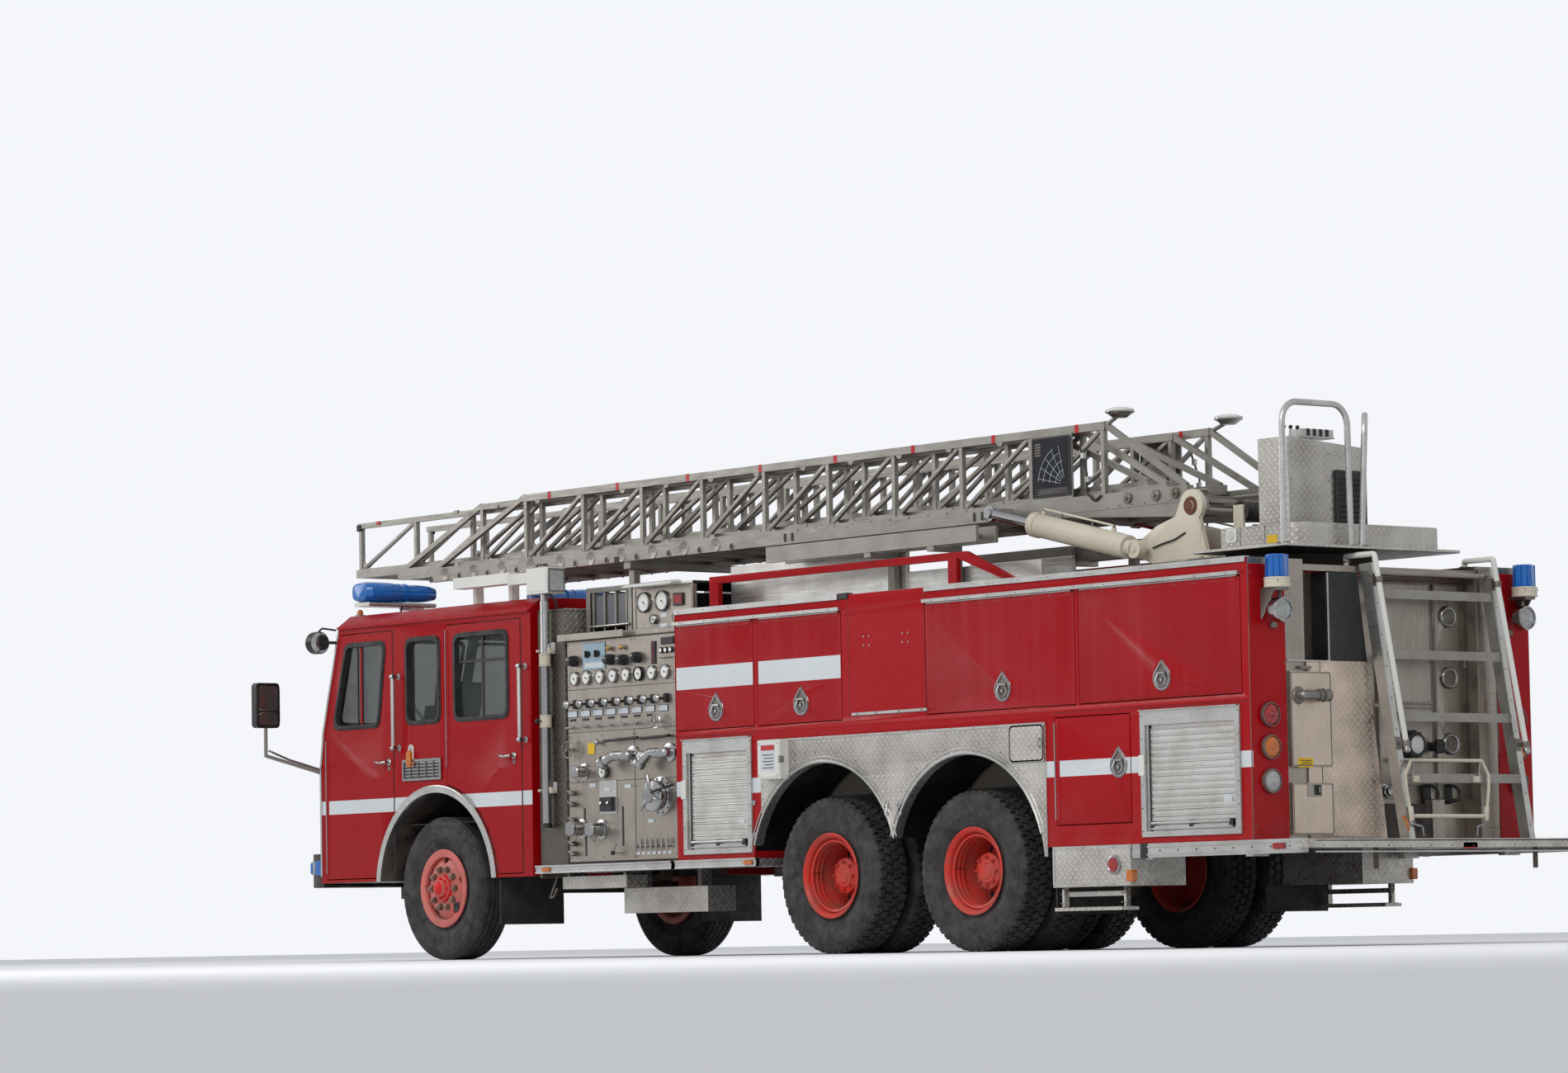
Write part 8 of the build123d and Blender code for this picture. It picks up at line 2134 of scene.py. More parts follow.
                for dx in (-0.028, 0.0, 0.028):
                    shape.turned([(0.004, 0.0), (0.006, 0.003), (0.008, 0.0)], (x + dx, y, z + 0.0255), UP,
                                 ALUMINIUM, 8, ring=True)
            for y in (y0 + 0.01, y1 - 0.01):
                shape.bolts([(x - 0.05, y, z + 0.012), (x - 0.05, y, z - 0.016)], AFT, 0.006, STEEL, 0.003)
        shape.bar(Y, -0.765, 0.235, (self.lean(2.33) - 0.01, 2.33), 0.017, LADDER_METAL, sides=16)
        z = 1.815
        shape.box((self.lean(z) - 0.04, -0.52, z - 0.075), (self.lean(z) - 0.028, -0.5, z - 0.024), STEEL,
                  0.002)

    def step_frame(self, shape: Shape) -> None:
        """The swing-down lower step that hangs on the lowest rung, with its clips, feet and orange handle."""
        x = self.lean(1.04) - 0.066
        left, right = 0.075, -0.56
        shape.rod((x, left, 1.15), (x, right, 1.15), 0.011, CREAM, sides=14)
        for y, way in ((left, 1), (right, -1)):
            shape.pipe([(x, y, 1.15), (x - 0.004, y + way * 0.055, 1.06), (x - 0.006, y + way * 0.052, 0.98),
                        (x - 0.01, y + way * 0.02, 0.8)], 0.01, CREAM, 12, 0.02)
            shape.rod((x - 0.01, y + way * 0.024, 0.86), (x - 0.012, y + way * 0.016, 0.77), 0.017, CREAM,
                      sides=14, edge=0.003)
            shape.pipe([(x - 0.012, y + way * 0.016, 0.78), (x - 0.014, y - way * 0.01, 0.745),
                        (x - 0.016, y - way * 0.07, 0.735), (x - 0.016, y - way * 0.08, 0.675)], 0.007,
                       CHROME, 10, 0.015)
            shape.box((x - 0.01, y - way * 0.045 - 0.022, 1.012), (x + 0.022, y - way * 0.045 + 0.022, 1.052),
                      CREAM, 0.004)
        shape.bar(Y, left, right, (x - 0.01, 0.8), 0.013, CREAM, sides=14)
        for y in (left - 0.02, right + 0.02):
            shape.rod((x - 0.004, y, 1.14), (x + 0.012, y, 1.04), 0.006, CHROME, sides=8)
        shape.pipe([(x + 0.03, 0.13, 0.8), (x + 0.01, 0.11, 0.76), (x + 0.01, 0.1, 0.71)], 0.01, AMBER_LENS,
                   10, 0.01)

    def lamps(self, shape: Shape) -> None:
        """Ribbed lenses with bezels, the beacon's rings and cage, the spot lamp's face and clip."""
        out = stn(-4.3)
        for z, lens in ((1.43, RED_LENS), (1.23, AMBER_LENS), (1.02, CLEAR_LENS)):
            at = (out, 1.1, z)
            shape.turned([(0.066, 0.0), (0.068, 0.008), (0.074, 0.006), (0.076, -0.016), (0.066, -0.016)], at,
                         AFT, STEEL, 36, ring=True)
            shape.turned([(0.0, 0.02), (0.03, 0.017), (0.052, 0.01), (0.066, 0.0), (0.066, -0.006),
                          (0.0, -0.006)], at, AFT, lens, 36)
            for i in range(5):
                shape.turned([(0.012 * (i + 1), 0.0), (0.012 * (i + 1) + 0.002, 0.0035),
                              (0.012 * (i + 1) + 0.004, 0.0)], (out - 0.019 + 0.0042 * i, 1.1, z), AFT, lens,
                             30, ring=True)
            shape.bolts([(out - 0.004, 1.1 + 0.071 * math.cos(a), z + 0.071 * math.sin(a))
                         for a in (0.5, 2.6, 4.7)], AFT, 0.004, CHROME, 0.003)
        x, y = stn(-4.382), 1.102
        for z, radius in ((2.212, 0.086), (2.262, 0.086), (2.236, 0.084)):
            shape.turned([(radius - 0.004, -0.004), (radius, 0.0), (radius - 0.004, 0.004)], (x, y, z), UP,
                         CREAM, 40, ring=True)
        for i in range(8):
            turn = math.tau * (i + 0.5) / 8
            a, c = x + 0.073 * math.cos(turn), y + 0.073 * math.sin(turn)
            shape.rod((a, c, 2.27), (a, c, 2.408), 0.0035, BLUE_LENS, sides=8)
        shape.bolts([(x + 0.083 * math.cos(a), y + 0.083 * math.sin(a), 2.248) for a in (2.4, 3.9)], AFT,
                    0.005, STEEL, 0.004)
        y = 1.084
        at = (stn(-4.412), y, 2.07)
        shape.turned([(0.062, 0.0), (0.066, 0.01), (0.076, 0.01), (0.08, 0.0), (0.08, -0.014),
                      (0.062, -0.004)], at, AFT, CHROME, 40, ring=True)
        shape.turned([(0.0, 0.01), (0.04, 0.007), (0.063, 0.001), (0.063, -0.006), (0.0, -0.006)], at, AFT,
                     LAMP_GLASS, 40)
        for i in range(4):
            shape.turned([(0.012 * (i + 1), 0.0), (0.012 * (i + 1) + 0.002, 0.002),
                          (0.012 * (i + 1) + 0.004, 0.0)], (at[0] - 0.0095 + 0.0014 * i, y, 2.07), AFT,
                         CLEAR_LENS, 30, ring=True)
        shape.box((stn(-4.3), y - 0.055, 1.965), (stn(-4.276), y - 0.01, 2.0), STEEL, 0.003)
        shape.bolts([(stn(-4.29), y + 0.05, z) for z in (2.13, 2.17)], AFT, 0.007, STEEL, 0.004)
        for y in (0.955, 1.225):
            shape.bolts([(stn(-4.276), y, z) for z in (0.75, 1.25, 1.75, 2.3)], AFT, 0.005, STEEL, 0.003)

    def tailboard(self, shape: Shape) -> None:
        """The tailboard's edge rail, its screws, joint piece and red lamp, and its hangers below."""
        x = stn(-4.75)
        for z in (0.575, 0.643):
            shape.box((x, -1.185, z - 0.004), (x + 0.012, 1.185, z + 0.006), ALUMINIUM, 0.002)
        shape.bolts([(x + 0.0005, y, 0.612) for y in spread(-1.12, 1.12, 0.187)], AFT, 0.007, STEEL, 0.0005)
        shape.tile((-0.095, -0.225, 0.632, 0.59), 0.014, View.REAR, x, x + 0.01, RED_LENS, 0.003)
        for y in (-0.8, 0.62):
            shape.box((x + 0.05, y - 0.02, 0.47), (x + 0.06, y + 0.02, 0.602), IRON, 0.002)


@dataclass
class Aerial:
    """The turntable with its station, the three ladder sections and the lift cylinders."""

    frame: dict
    chord_out: float = 0.5

    def build(self) -> None:
        """Makes the castings and each body's fittings."""
        self.castings()
        for name, body, make, both in (("base_fittings", "ladder_base", self.base, True),
                ("chart", "ladder_base", self.chart, False), ("heel_fittings", "ladder_base", self.heel,
                True), ("fly_fittings", "ladder_fly", self.fly, True), ("table_fittings", "turntable",
                self.table, True), ("drum_fittings", "turntable", self.drum, False),
                ("station_fittings", "turntable", self.station, False),
                ("barrel_fittings", "cylinder_barrels", self.barrels, True)):
            shape = Shape(name)
            make(shape)
            if both:
                shape.both_sides()
            shape.piece(body, "aluminium")

    def castings(self) -> None:
        """The aerial's nodes with their finishes by region."""
        Casting("turntable", CREAM, (Area(PLASTIC, (stn(-3.33), -0.31, 2.7), (stn(-3.16), 0.31, 2.88)),
            Area(TREAD_TOP, (stn(-3.95), -0.66, 2.478), (stn(-2.55), 0.66, 2.482), UP),
            Area(IRON, (stn(-3.95), -0.66, 2.37), (stn(-2.55), 0.66, 2.482))), 0.003).piece(self.frame)
        Casting("turntable_station", ALUMINIUM,
                (Area(PLASTIC, (stn(-4.03), -0.07, 2.56), (stn(-3.992), 0.2, 3.0)),)
                + treads_in((stn(-4.27), -0.66, 2.47), (stn(-3.41), 0.91, 2.502))
                + treads_in((stn(-4.14), -0.66, 2.502), (stn(-3.41), 0.66, 2.66))
                + treads_in((stn(-3.995), -0.1, 2.66), (stn(-3.715), 0.61, 3.21)), 0.003).piece(self.frame)
        bowls = paired(CHROME, (stn(-2.44), 0.38, 3.457), (stn(-2.22), 0.6, 3.505)) + paired(WHITE,
            (stn(-2.44), 0.38, 3.505), (stn(-2.22), 0.6, 3.54))
        Casting("ladder_base", LADDER_METAL, bowls, 0.003).piece(self.frame)
        for node in ("ladder_heel", "ladder_mid", "ladder_fly"):
            Casting(node, LADDER_METAL, (), 0.003).piece(self.frame)
        Casting("lift_cylinder_barrels", CREAM, (), 0.003).piece(self.frame)
        Casting("lift_cylinder_rods", CHROME, (), 0.002).piece(self.frame)

    def base(self, shape: Shape) -> None:
        """Red bands on the top rail, raised discs and ringed holes on the chord, each hole a black disc as
        painted shade, gussets, clip and cable.
        """
        out = self.chord_out
        for i in range(8):
            x = stn(3.91 - 0.8314 * i)
            shape.box((x - 0.019, 0.4465, 3.3965), (x + 0.019, 0.4935, 3.4515), BAND_RED, 0.001)
        holes = [stn(v) for v in (5.42, 5.05, 4.69, 4.32, 3.96, 3.59, 3.21, 2.85, 2.47, 2.11, 1.74)]
        for x in holes:
            shape.turned([(0.017, 0.0), (0.019, 0.004), (0.026, 0.004), (0.029, 0.0)], (x, out, 2.893), OUT,
                         STEEL, 20, ring=True)
            # The hole itself is a black disc: painted shade in place of the hole.
            shape.turned([(0.0, 0.001), (0.018, 0.001), (0.018, -0.002), (0.0, -0.002)], (x, out, 2.893), OUT,
                         PLASTIC, 20)
        for before, after in zip(holes, holes[1:]):
            x = (before + after) / 2
            shape.turned([(0.0, 0.002), (0.04, 0.002), (0.044, 0.004), (0.052, 0.004), (0.055, 0.0),
                          (0.0, 0.0)], (x, out, 2.92), OUT, LADDER_METAL, 30)
            shape.bolts([(x, out + 0.002, 2.92)], OUT, 0.007, STEEL, 0.004)
        for i in range(14):
            x = stn(5.1 - 0.52 * i)
            for z, z2 in ((2.974, 2.998), (3.372, 3.397)):
                shape.slab([(x - 0.034, z), (x + 0.034, z), (x + 0.018, z2), (x - 0.018, z2)] if z < 3
                           else [(x - 0.018, z), (x + 0.018, z), (x + 0.034, z2), (x - 0.034, z2)], View.SIDE,
                           0.478, 0.492, LADDER_METAL, 0.001)
        shape.box((stn(3.06), out - 0.002, 2.86), (stn(3.11), out + 0.01, 2.91), PLASTIC, 0.003)
        for x in (1.14, 1.06, -0.88, -0.96):
            shape.tile((stn(x) - 0.012, stn(x) + 0.012, 2.885, 2.945), 0.011, View.SIDE, out + 0.001,
                       out + 0.0035, PLASTIC)
        shape.box((stn(-1.05), out, 2.872), (stn(-1.01), out + 0.004, 2.973), BAND_RED, 0.001)
        for i in range(10):
            x = stn(1.0 - 0.2 * i)
            shape.bolts([(x, out, 2.96)], OUT, 0.006, STEEL, 0.004, 8)
        shape.pipe([(stn(-1.95), 0.502, 3.3), (stn(-2.02), 0.508, 3.12), (stn(-2.02), 0.51, 2.99),
                    (stn(-2.09), 0.51, 2.93), (stn(-2.15), 0.508, 2.965)], 0.007, PLASTIC, 8, 0.03)
        for x, z in ((stn(-1.98), 3.24), (stn(-2.02), 3.08)):
            shape.box((x - 0.016, 0.49, z - 0.02), (x + 0.016, 0.514, z + 0.02), ALUMINIUM, 0.002)
        shape.turned([(0.09, 0.0), (0.097, 0.004), (0.097, 0.012), (0.09, 0.014)], (stn(-2.33), 0.49, 3.492),
                     UP, CHROME, 36, ring=True)

    def chart(self, shape: Shape) -> None:
        """The dark load chart on the left truss with its frame, screws and pale curves."""
        x0, x1, z0, z1, out = stn(-1.855), stn(-1.475), 2.99, 3.392, 0.498
        shape.tile((x0, x1, z0, z1), 0.015, View.SIDE, out - 0.001, out + 0.004, PANEL_DARK, 0.001)
        shape.ring((x0, x1, z0, z1), 0.015, (x0 + 0.012, x1 - 0.012, z0 + 0.012, z1 - 0.012), 0.01, View.SIDE,
                   out + 0.003, out + 0.006, PLASTIC)
        out += 0.0045
        corner = (x0 + 0.055, z0 + 0.075)
        for radius, stop in ((0.1, 88), (0.16, 84), (0.22, 78), (0.27, 66)):
            shape.pipe([(corner[0] + radius * math.cos(math.radians(a)), out,
                         corner[1] + radius * math.sin(math.radians(a))) for a in range(8, stop, 8)], 0.0018,
                       STRIPE, 6, 0.004)
        for turn in (12, 28, 44, 60, 76):
            a = math.radians(turn)
            shape.pipe([(corner[0] + 0.05 * math.cos(a), out, corner[1] + 0.05 * math.sin(a)),
                        (corner[0] + 0.27 * math.cos(a), out, corner[1] + 0.27 * math.sin(a))], 0.0013,
                       STRIPE, 6, 0.002)
        for i in range(7):
            shape.box((x0 + 0.03, out - 0.001, z0 + 0.02 + 0.006 * i),
                      (x1 - 0.03 - 0.025 * (i % 3), out + 0.0008, z0 + 0.0225 + 0.006 * i), STEEL, 0.0)
        for i in range(5):
            shape.box((x1 - 0.085, out - 0.001, z1 - 0.05 - 0.018 * i),
                      (x1 - 0.03, out + 0.0008, z1 - 0.04 - 0.018 * i), STEEL, 0.0)
        shape.bolts([(x, out + 0.0015, z) for x in (x0 + 0.008, x1 - 0.008)
                     for z in spread(z0 + 0.02, z1 - 0.02, 0.18)], OUT, 0.005, STEEL, 0.003)

    def heel(self, shape: Shape) -> None:
        """Bosses with nuts on the heel plates, the rusty lugs round the heel pin and the hydraulic lines."""
        for x in (-2.85, -2.67, -2.4):
            shape.turned([(0.0, 0.006), (0.02, 0.006), (0.024, 0.003), (0.034, 0.003), (0.037, 0.0),
                          (0.0, 0.0)], (stn(x), 0.5105, 2.928), OUT, STEEL, 28)
            shape.bar(Y, 0.516, 0.526, (stn(x), 2.928), 0.013, STEEL, sides=6, edge=0.001)
        for z in (2.9, 2.95):
            shape.rod((stn(-2.95), 0.3, z), (stn(-2.1), 0.3, z), 0.012, LADDER_METAL, sides=12)
        for i in range(6):
            shape.bolts([(stn(-2.2 - 0.12 * i), 0.5, 2.885)], OUT, 0.006, STEEL, 0.004)

    def fly(self, shape: Shape) -> None:
        """Tip bumpers and red ends of the fly section."""
        for z in (3.02, 3.375):
            shape.box((stn(6.56), 0.333, z - 0.03), (stn(6.616), 0.3585, z + 0.02), RUBBER, 0.004)
        shape.box((stn(6.3), 0.334, 3.378), (stn(6.34), 0.3605, 3.4055), BAND_RED, 0.001)

    def table(self, shape: Shape) -> None:
        """The table's bolts, and the cheeks' pin caps, weld beads, grease lines and rust."""
        for i in range(10):
            turn = math.radians(9 + 18 * i)
            shape.bar(Z, 2.479, 2.496, (stn(-3.25) + 0.585 * math.cos(turn), 0.585 * math.sin(turn)), 0.014,
                      STEEL, sides=6, edge=0.001)
        out = 0.556
        for x, z, radius in ((-3.05, 2.83, 0.06), (-2.64, 2.575, 0.0)):
            if radius:
                shape.turned([(0.034, 0.0), (0.036, 0.01), (0.056, 0.01), (radius, 0.0)], (stn(x), out, z),
                             OUT, RUST, 32, ring=True)
                shape.turned([(0.0, 0.005), (0.026, 0.004), (0.031, 0.0), (0.0, 0.0)],
                             (stn(x), out + 0.014, z), OUT, RUST, 28)
                shape.bolts([(stn(x) + 0.017 * math.cos(a), out + 0.017, z + 0.017 * math.sin(a))
                             for a in (1.0, 3.1, 5.2)], OUT, 0.006, STEEL, 0.004)
        shape.pipe([(stn(-3.18), out, 2.5), (stn(-3.13), out, 2.6), (stn(-3.15), out, 2.76)], 0.004, CREAM, 8,
                   0.02)
        shape.pipe([(stn(-3.16), out - 0.002, 2.494), (stn(-2.8), out - 0.002, 2.494)], 0.005, CREAM, 8,
                   0.004)
        shape.pipe([(stn(-3.0), out + 0.004, 2.66), (stn(-2.9), out + 0.01, 2.62),
                    (stn(-2.78), out + 0.01, 2.6), (stn(-2.7), out + 0.012, 2.58)], 0.006, PLASTIC, 8, 0.03)

    def drum(self, shape: Shape) -> None:
        """The cable drum's windings, flanges and the cross tubes behind it."""
        x, z = stn(-3.24), 2.79
        for i in range(44):
            y = -0.285 + 0.0132 * i
            if abs(y) > 0.1:
                shape.turned([(0.058, -0.005), (0.0625, 0.0), (0.058, 0.005)], (x, y, z), OUT, RUBBER, 28,
                             ring=True)
        for y in (-0.296, -0.096, 0.096, 0.296):
            shape.turned([(0.05, -0.004), (0.074, -0.004), (0.074, 0.004), (0.05, 0.004)], (x, y, z), OUT,
                         IRON, 32, ring=True)
        shape.bar(Y, -0.3, 0.3, (stn(-3.36), 2.68), 0.018, STEEL, sides=14)
        for y in (-0.18, 0.0, 0.18):
            shape.pipe([(stn(-3.36), y, 2.68), (stn(-3.4), y, 2.6), (stn(-3.37), y, 2.52),
                        (stn(-3.37), y, 2.481)], 0.011, PLASTIC, 8, 0.03)

    def station(self, shape: Shape) -> None:
        """Skirt lamp and seams, console louvres, gauges and levers, lamp strip dividers and hoop feet."""
        at = (stn(-3.52), 0.65, 2.6)
        shape.tile((at[0] - 0.048, at[0] + 0.048, 2.555, 2.645), 0.02, View.SIDE, 0.649, 0.656, WHITE, 0.002)
        shape.turned([(0.0, 0.016), (0.02, 0.013), (0.034, 0.004), (0.036, 0.0), (0.0, 0.0)],
                     (at[0], 0.655, 2.6), OUT, LAMP_GLASS, 24)
        for x in (-3.6, -3.82):
            shape.box((stn(x) - 0.0015, 0.6495, 2.503), (stn(x) + 0.0015, 0.6512, 2.648), RUBBER, 0.0)
        shape.row(stn(-3.98), stn(-3.45), 0.11, 0.65, 2.638, 0.004, STEEL, 0.002)
        shape.box((stn(-3.93), 0.6495, 2.53), (stn(-3.84), 0.652, 2.58), YELLOW, 0.0)
        x = stn(-3.99)
        shape.ring((0.2, -0.07, 3.0, 2.56), 0.012, (0.18, -0.05, 2.98, 2.58), 0.01, View.REAR, x - 0.02,
                   x + 0.002, PLASTIC)
        for y in (-0.088, 0.598):
            shape.box((x - 0.002, y - 0.006, 2.505), (x + 0.01, y + 0.006, 3.15), ALUMINIUM, 0.001)
        shape.bolts([(x, y, z) for y in (0.24, 0.57) for z in spread(2.58, 3.1, 0.17)], AFT, 0.005, STEEL,
                    0.003)
        shape.box((stn(-3.925), 0.115, 3.205), (stn(-3.795), 0.405, 3.217), ALUMINIUM, 0.002)
        for i in range(4):
            y = 0.165 + 0.055 * i
            shape.box((stn(-3.9225), y, 3.218), (stn(-3.7975), y + 0.03, 3.2635), PLASTIC, 0.001)
        for y, size in ((0.02, 0.045), (0.14, 0.035), (0.25, 0.035)):
            z = 3.15 + 0.05 * (y + 0.09) / 0.69
            shape.turned([(0.0, 0.006), (size - 0.006, 0.006), (size - 0.004, 0.014), (size, 0.012),
                          (size, 0.0), (0.0, 0.0)], (stn(-3.8), y, z), UP, DIAL, 28)
        for y in (0.42, 0.48, 0.54):
            shape.rod((stn(-3.88), y, 3.18), (stn(-3.88) - 0.02, y, 3.26), 0.006, CHROME, sides=10)
            shape.ball((stn(-3.88) - 0.02, y, 3.268), (0.014, 0.014, 0.014), PLASTIC, 14)
        for fx, fy in ((-4.2, 0.86), (-4.2, 0.27), (-4.215, 0.19), (-3.77, -0.25)):
            shape.turned([(0.02, 0.008), (0.042, 0.008), (0.045, 0.0), (0.02, 0.0)], (stn(fx), fy, 2.5), UP,
                         STEEL, 24, ring=True)

    def barrels(self, shape: Shape) -> None:
        """The barrels' gland rings, end bands, ports and hydraulic lines, along the leaning axis."""
        start, stop = Vector((stn(-2.64), 0.655, 2.575)), Vector((stn(-1.23), 0.655, 2.905))
        along = (stop - start).normalized()
        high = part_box("lift_cylinder_barrels")[1]
        length = (high.x - start.x) / along.x
        above = Vector((-along.z, 0.0, along.x))
        for far in (0.16, 0.2, length - 0.055, length - 0.03):
            shape.turned([(0.074, -0.008), (0.08, -0.006), (0.08, 0.006), (0.074, 0.008)],
                         start + along * far, along, CREAM, 36, ring=True)
        for i in range(8):
            turn = math.tau * i / 8
            spoke = above * math.cos(turn) + Vector(OUT) * math.sin(turn)
            at = start + along * (length - 0.016) + spoke * 0.06
            shape.rod(at, at + along * 0.01, 0.008, STEEL, sides=6)
        for far in (0.24, length - 0.1):
            at = start + along * far + above * 0.074
            shape.rod(at, at + above * 0.026, 0.018, CREAM, sides=12, edge=0.002)
            shape.rod(at + above * 0.02, at + above * 0.04, 0.011, STEEL, sides=6)
        line = [start + along * far + above * rise for far,
                rise in ((0.24, 0.112), (0.3, 0.115), (length - 0.16, 0.115), (length - 0.1, 0.112))]
        shape.pipe(line, 0.008, CREAM, 10, 0.02)
        for far in (0.45, 0.75):
            at = start + along * far
            shape.rod(at + above * 0.072, at + above * 0.124, 0.007, STEEL, sides=8)


@dataclass
class PumpSurround:
    """The pump house round the panels: pillar, gauge box, hose tray and the two floodlight masts."""

    frame: dict

    def build(self) -> None:
        """Makes the castings and both sides' fittings."""
        boxes = paired(STAINLESS, (stn(1.49), 1.005, 2.25), (stn(2.2), 1.06, 2.61)) + paired(WHITE,
            (stn(1.49), 1.045, 2.6), (stn(2.21), 1.13, 2.63)) + paired(LADDER_METAL, (stn(2.195), 0.6, 2.3),
            (stn(2.76), 1.06, 2.65)) + paired(STAINLESS, (stn(2.01), 1.2, 2.25), (stn(2.8), 1.29, 2.31))
        # The pillar's outward faces take the darkened tread plate: painted shade.
        pillar = paired(TREAD_SHADED, (stn(2.785), 1.1, 0.6), (stn(3.115), 1.22, 2.51),
                        OUT) + treads_in((stn(2.785), -1.22, 0.6), (stn(3.115), 1.22, 2.51))
        Casting("pump_house", BLACK, boxes + pillar, 0.003).piece(self.frame)
        Casting("pump_panels", STAINLESS, boxes + pillar, 0.002).piece(self.frame)
        Casting("floodlights", WHITE, paired(CREAM, (stn(2.88), 1.19, 1.65), (stn(3.04), 1.32, 1.735))
            + paired(CREAM, (stn(2.88), 1.19, 2.095), (stn(3.04), 1.32, 2.175)) + paired(CHROME,
            (stn(2.915), 1.21, 0.95), (stn(3.005), 1.3, 2.612)) + paired(WHITE, (stn(2.87), 1.12, 2.605),
            (stn(3.128), 1.295, 2.805)), 0.003).piece(self.frame)
        for side in Side:
            for name, make in (("gauge_box_fittings", self.gauges), ("mast_fittings", self.mast)):
                shape = Shape(f"{name}_{side.word}")
                make(shape, side)
                shape.to_side(side)
                shape.piece("vehicle", "aluminium")

    def gauges(self, shape: Shape, side: Side) -> None:
        """The upper panel's dials, display, switches and visor, and the hose tray's dividers and hose."""
        out = 1.05
        dials = PumpPanel(self.frame, side)
        for x, z, radius in ((2.05, 2.5, 0.072), (1.84, 2.5, 0.072), (1.94, 2.375, 0.034),
                             (1.68, 2.375, 0.034)):
            dials.gauge(shape, x, z, radius, out)
        shape.tile((stn(1.6), stn(1.71), 2.455, 2.545), 0.008, View.SIDE, out, out + 0.014, PLASTIC, 0.003)
        shape.slab(rect(stn(1.61), stn(1.7), 2.47, 2.53), View.SIDE, out + 0.013, out + 0.0155, RED_LENS)
        for i in range(6):
            x = stn(2.09) - 0.075 * i
            shape.rod((x, out, 2.3), (x, out + 0.012, 2.3), 0.014, CHROME, sides=16, edge=0.001)
            shape.rod((x, out + 0.01, 2.3), (x, out + 0.026, 2.308), 0.004, CHROME, sides=8)
            shape.box((x - 0.022, out, 2.326), (x + 0.022, out + 0.0015, 2.336), LABEL, 0.0)
        shape.ring((stn(1.505), stn(2.165), 2.262, 2.6), 0.012, (stn(1.519), stn(2.151), 2.276, 2.586), 0.008,
                   View.SIDE, out - 0.001, out + 0.005, STAINLESS)
        shape.bolts([(x, out + 0.005, z) for x in spread(stn(1.53), stn(2.14), 0.15) for z in (2.269, 2.593)],
                    OUT, 0.004, STEEL, 0.002)
        shape.slab([(1.048, 2.622), (1.125, 2.622), (1.15, 2.606), (1.153, 2.61), (1.127, 2.628),
                    (1.048, 2.628)], View.REAR, stn(1.63), stn(2.185), WHITE, 0.001)
        for i in range(3):
            for fold in range(5):
                x = stn(2.285 + 0.128 * i) + 0.021 * fold
                shape.tile((1.006, 0.74, 2.56 - 0.02 * i, 2.345), 0.02, View.REAR, x, x + 0.017, JACKET,
                           0.006)
        for x in (2.266, 2.394, 2.524):
            shape.tile((stn(x) + 0.004, stn(x) + 0.118, 2.352, 2.585), 0.012, View.SIDE, 1.018, 1.03,
                       TRAY_GREY, 0.003)
            shape.tile((stn(x) + 0.014, stn(x) + 0.108, 2.362, 2.575), 0.01, View.SIDE, 1.029, 1.034,
                       TRAY_GREY, 0.002)
        for x in (2.262, 2.39, 2.52, 2.65):
            shape.tile((1.048, 1.0, 2.605, 2.345), 0.018, View.REAR, stn(x) - 0.003, stn(x) + 0.003,
                       LADDER_METAL)
        shape.bar(X, stn(2.22), stn(2.68), (1.06, 2.36), 0.01, ALUMINIUM, sides=14)

    def mast(self, shape: Shape, side: Side) -> None:
        """The floodlight's reflector, glass, grille and knobs, the mast's clamps and the flex."""
        x0, x1, z0, z1, out = stn(2.885), stn(3.125), 2.62, 2.792, 1.29
        view, a0, a1, near, far = View.REAR, 1.135, 1.285, stn(2.872), stn(2.881)
        shape.ring((a1, a0, z1, z0), 0.014, (a1 - 0.014, a0 + 0.014, z1 - 0.014, z0 + 0.014), 0.01, view,
                   near, far, CHROME)
        shape.tile((a1 - 0.013, a0 + 0.013, z1 - 0.013, z0 + 0.013), 0.01, view, near + 0.001, far - 0.003,
                   CLEAR_LENS)
        shape.tile((x0 + 0.01, x1 - 0.01, z0 + 0.01, z1 - 0.01), 0.02, View.SIDE, out - 0.001, out + 0.004,
                   WHITE, 0.002)
        shape.pipe([(x0 + 0.06, out - 0.05, z1 + 0.004), (x0 + 0.06, out - 0.05, z1 + 0.032),
                    (x1 - 0.06, out - 0.05, z1 + 0.032), (x1 - 0.06, out - 0.05, z1 + 0.004)], 0.007, PLASTIC,
                   8, 0.012)
        for i in range(6):
            x = x0 + 0.02 + 0.038 * i
            shape.box((x, 1.14, z1 + 0.006), (x + 0.01, 1.28, z1 + 0.016), ALUMINIUM, 0.001)
        centre = (stn(2.96), 1.258)
        for z in (1.2, 2.2):
            shape.box((centre[0] - 0.055, 1.205, z - 0.022), (centre[0] + 0.055, 1.262, z + 0.022), CREAM,
                      0.005)
            shape.bar(Y, 1.255, 1.3, (centre[0] + 0.042, z), 0.01, CREAM, sides=12)
        for z in (1.655, 1.735, 2.095, 2.175):
            shape.turned([(0.034, -0.005), (0.045, -0.004), (0.045, 0.004), (0.034, 0.005)], (*centre, z), UP,
                         CREAM, 28, ring=True)
        shape.bar(Y, 1.29, 1.335, (centre[0], 1.695), 0.008, STEEL, sides=10)
        shape.ball((centre[0], 1.338, 1.695), (0.018, 0.018, 0.018), PLASTIC, 16)
        shape.turned([(0.022, 0.0), (0.036, 0.0), (0.036, -0.03), (0.022, -0.03)], (*centre, 0.962), UP,
                     PLASTIC, 24, ring=True)
        shape.pipe([(centre[0] - 0.02, 1.24, 2.62), (centre[0] - 0.06, 1.2, 2.56),
                    (centre[0] - 0.05, 1.17, 2.44), (centre[0] - 0.04, 1.2, 2.3),
                    (centre[0] - 0.05, 1.225, 2.22)], 0.009, PLASTIC, 10, 0.04)
        for x in (stn(3.52), stn(3.96)):
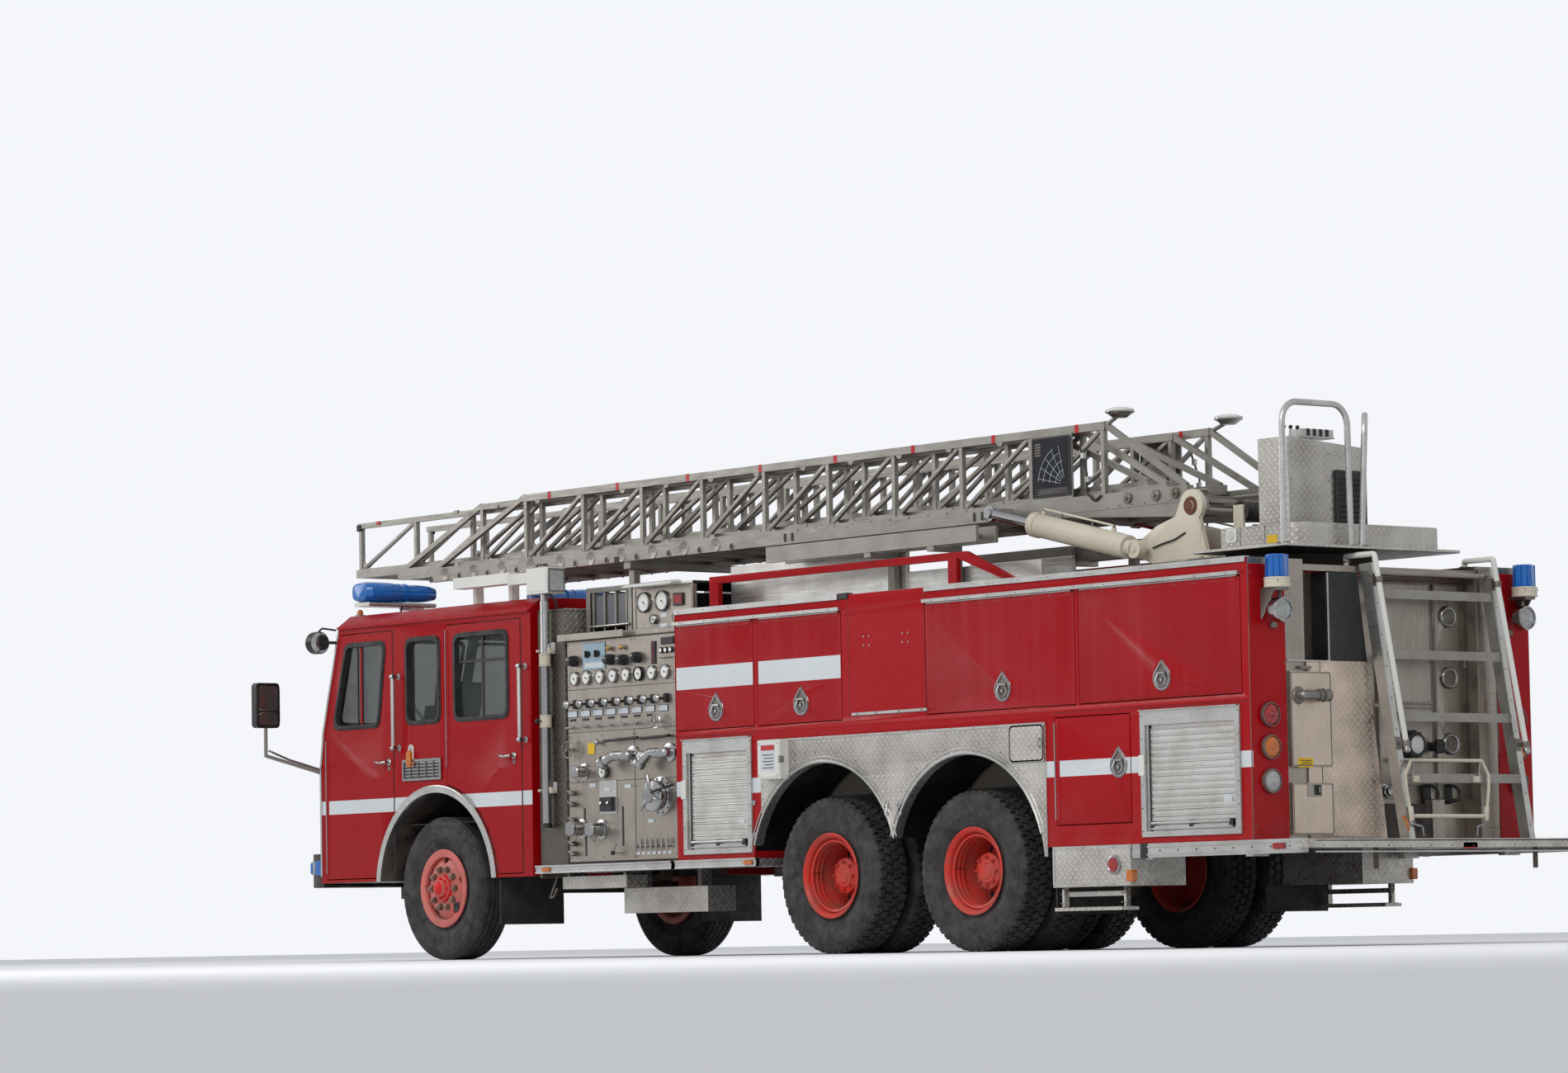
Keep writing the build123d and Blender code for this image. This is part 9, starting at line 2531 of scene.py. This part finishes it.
            shape.bolts([(x + d, 1.175, 2.7955) for d in (-0.02, 0.02)], UP, 0.006, STEEL, 0.003)


@dataclass
class Studio:
    """The floor, the world, the lamps and the camera that stands where the photographer stood."""

    camera_at: Point = (-29.285, 24.532, 0.07)
    yaw: float = -39.166
    pitch: float = 4.29
    roll: float = -1.007
    lens: float = 124.84
    floor_size: float = 160.0
    pale: Colour = srgb(232, 233, 235)
    sky_strength: float = 0.72

    def build(self) -> None:
        """Makes all of it."""
        self.floor()
        self.world()
        self.lamps()
        self.camera()

    def floor(self) -> None:
        """A pale floor that keeps the vehicle's shadow."""
        bm = bmesh.new()
        bmesh.ops.create_grid(bm, x_segments=1, y_segments=1, size=self.floor_size)
        mesh = bpy.data.meshes.new("floor")
        bm.to_mesh(mesh)
        bm.free()
        graph = Graph("pale_floor")
        graph.set(Roughness=0.85, Base_Color=self.pale)
        graph.bump(graph.noise(6.0, 5.0), 0.1, 0.004)
        mesh.materials.append(graph.material)
        floor = bpy.data.objects.new("floor", mesh)
        bpy.context.scene.collection.objects.link(floor)

    def world(self) -> None:
        """A plain sky: white to the camera and in reflections, softer as a light."""
        world = bpy.data.worlds.new("sky")
        bpy.context.scene.world = world
        world.use_nodes = True
        tree = world.node_tree
        sky = tree.nodes["Background"]
        rays = tree.nodes.new("ShaderNodeLightPath")
        seen = tree.nodes.new("ShaderNodeMath")
        seen.operation = "MAXIMUM"
        tree.links.new(rays.outputs["Is Camera Ray"], seen.inputs[0])
        tree.links.new(rays.outputs["Is Transmission Ray"], seen.inputs[1])
        level = tree.nodes.new("ShaderNodeMapRange")
        level.inputs["To Min"].default_value = self.sky_strength
        level.inputs["To Max"].default_value = 1.0
        tree.links.new(seen.outputs[0], level.inputs["Value"])
        tree.links.new(level.outputs["Result"], sky.inputs["Strength"])
        sky.inputs["Color"].default_value = (*srgb(244, 246, 250), 1.0)

    def lamps(self) -> None:
        """A broad soft key from over the photographer's left, and a weak one from the front."""
        for name, place, aim, energy, size in (("key_light", (-9.0, 16.0, 13.0), (0.0, 0.0, 1.6), 1500.0,
                9.0), ("front_light", (15.0, 9.0, 8.0), (1.0, 0.0, 1.6), 500.0, 8.0)):
            lamp = bpy.data.lights.new(name, "AREA")
            lamp.energy = energy
            lamp.size = size
            holder = bpy.data.objects.new(name, lamp)
            holder.location = place
            holder.rotation_euler = (Vector(aim) - Vector(place)).to_track_quat("-Z", "Y").to_euler()
            bpy.context.scene.collection.objects.link(holder)

    def camera(self) -> None:
        """The camera, placed and turned by the fit to the photograph."""
        yaw, pitch, roll = (math.radians(v) for v in (self.yaw, self.pitch, self.roll))
        ahead = Vector((math.cos(yaw) * math.cos(pitch), math.sin(yaw) * math.cos(pitch), math.sin(pitch)))
        right = ahead.cross(Vector(UP)).normalized()
        above = right.cross(ahead)
        side = math.cos(roll) * right + math.sin(roll) * above
        top = -math.sin(roll) * right + math.cos(roll) * above
        turn = Matrix((side, top, -ahead)).transposed().to_4x4()
        lens = bpy.data.cameras.new("photo_camera")
        lens.sensor_fit = "HORIZONTAL"
        lens.sensor_width = 36.0
        lens.lens = self.lens
        lens.clip_end = 400.0
        holder = bpy.data.objects.new("photo_camera", lens)
        holder.matrix_world = Matrix.Translation(self.camera_at) @ turn
        bpy.context.scene.collection.objects.link(holder)
        bpy.context.scene.camera = holder


@dataclass
class Bodywork:
    """The CAD nodes that keep their shape, each with its finishes."""

    frame: dict

    def build(self) -> None:
        """Casts every node that nothing more detailed replaces."""
        for node, finish in (("axles", BLACK), ("chassis_frame", BLACK), ("engine_block", IRON),
                             ("water_tank", TANK)):
            dress(self.frame, node, finish)
        for node in ("knuckle_left", "knuckle_right"):
            Casting(node, BLACK).piece(self.frame)


def main() -> None:
    """Builds the looks round the frame."""
    logging.basicConfig(level=logging.INFO, format="%(name)s %(message)s")
    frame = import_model()
    bpy.context.scene.view_settings.view_transform = "Standard"
    Studio().build()
    Bodywork(frame).build()
    Cab(frame).build()
    BodySides(frame).build()
    PumpSurround(frame).build()
    RearFace(frame).build()
    Aerial(frame).build()
    build_wheels(frame)
    for side in Side:
        PumpPanel(frame, side).build()


if __name__ == "__main__":
    main()
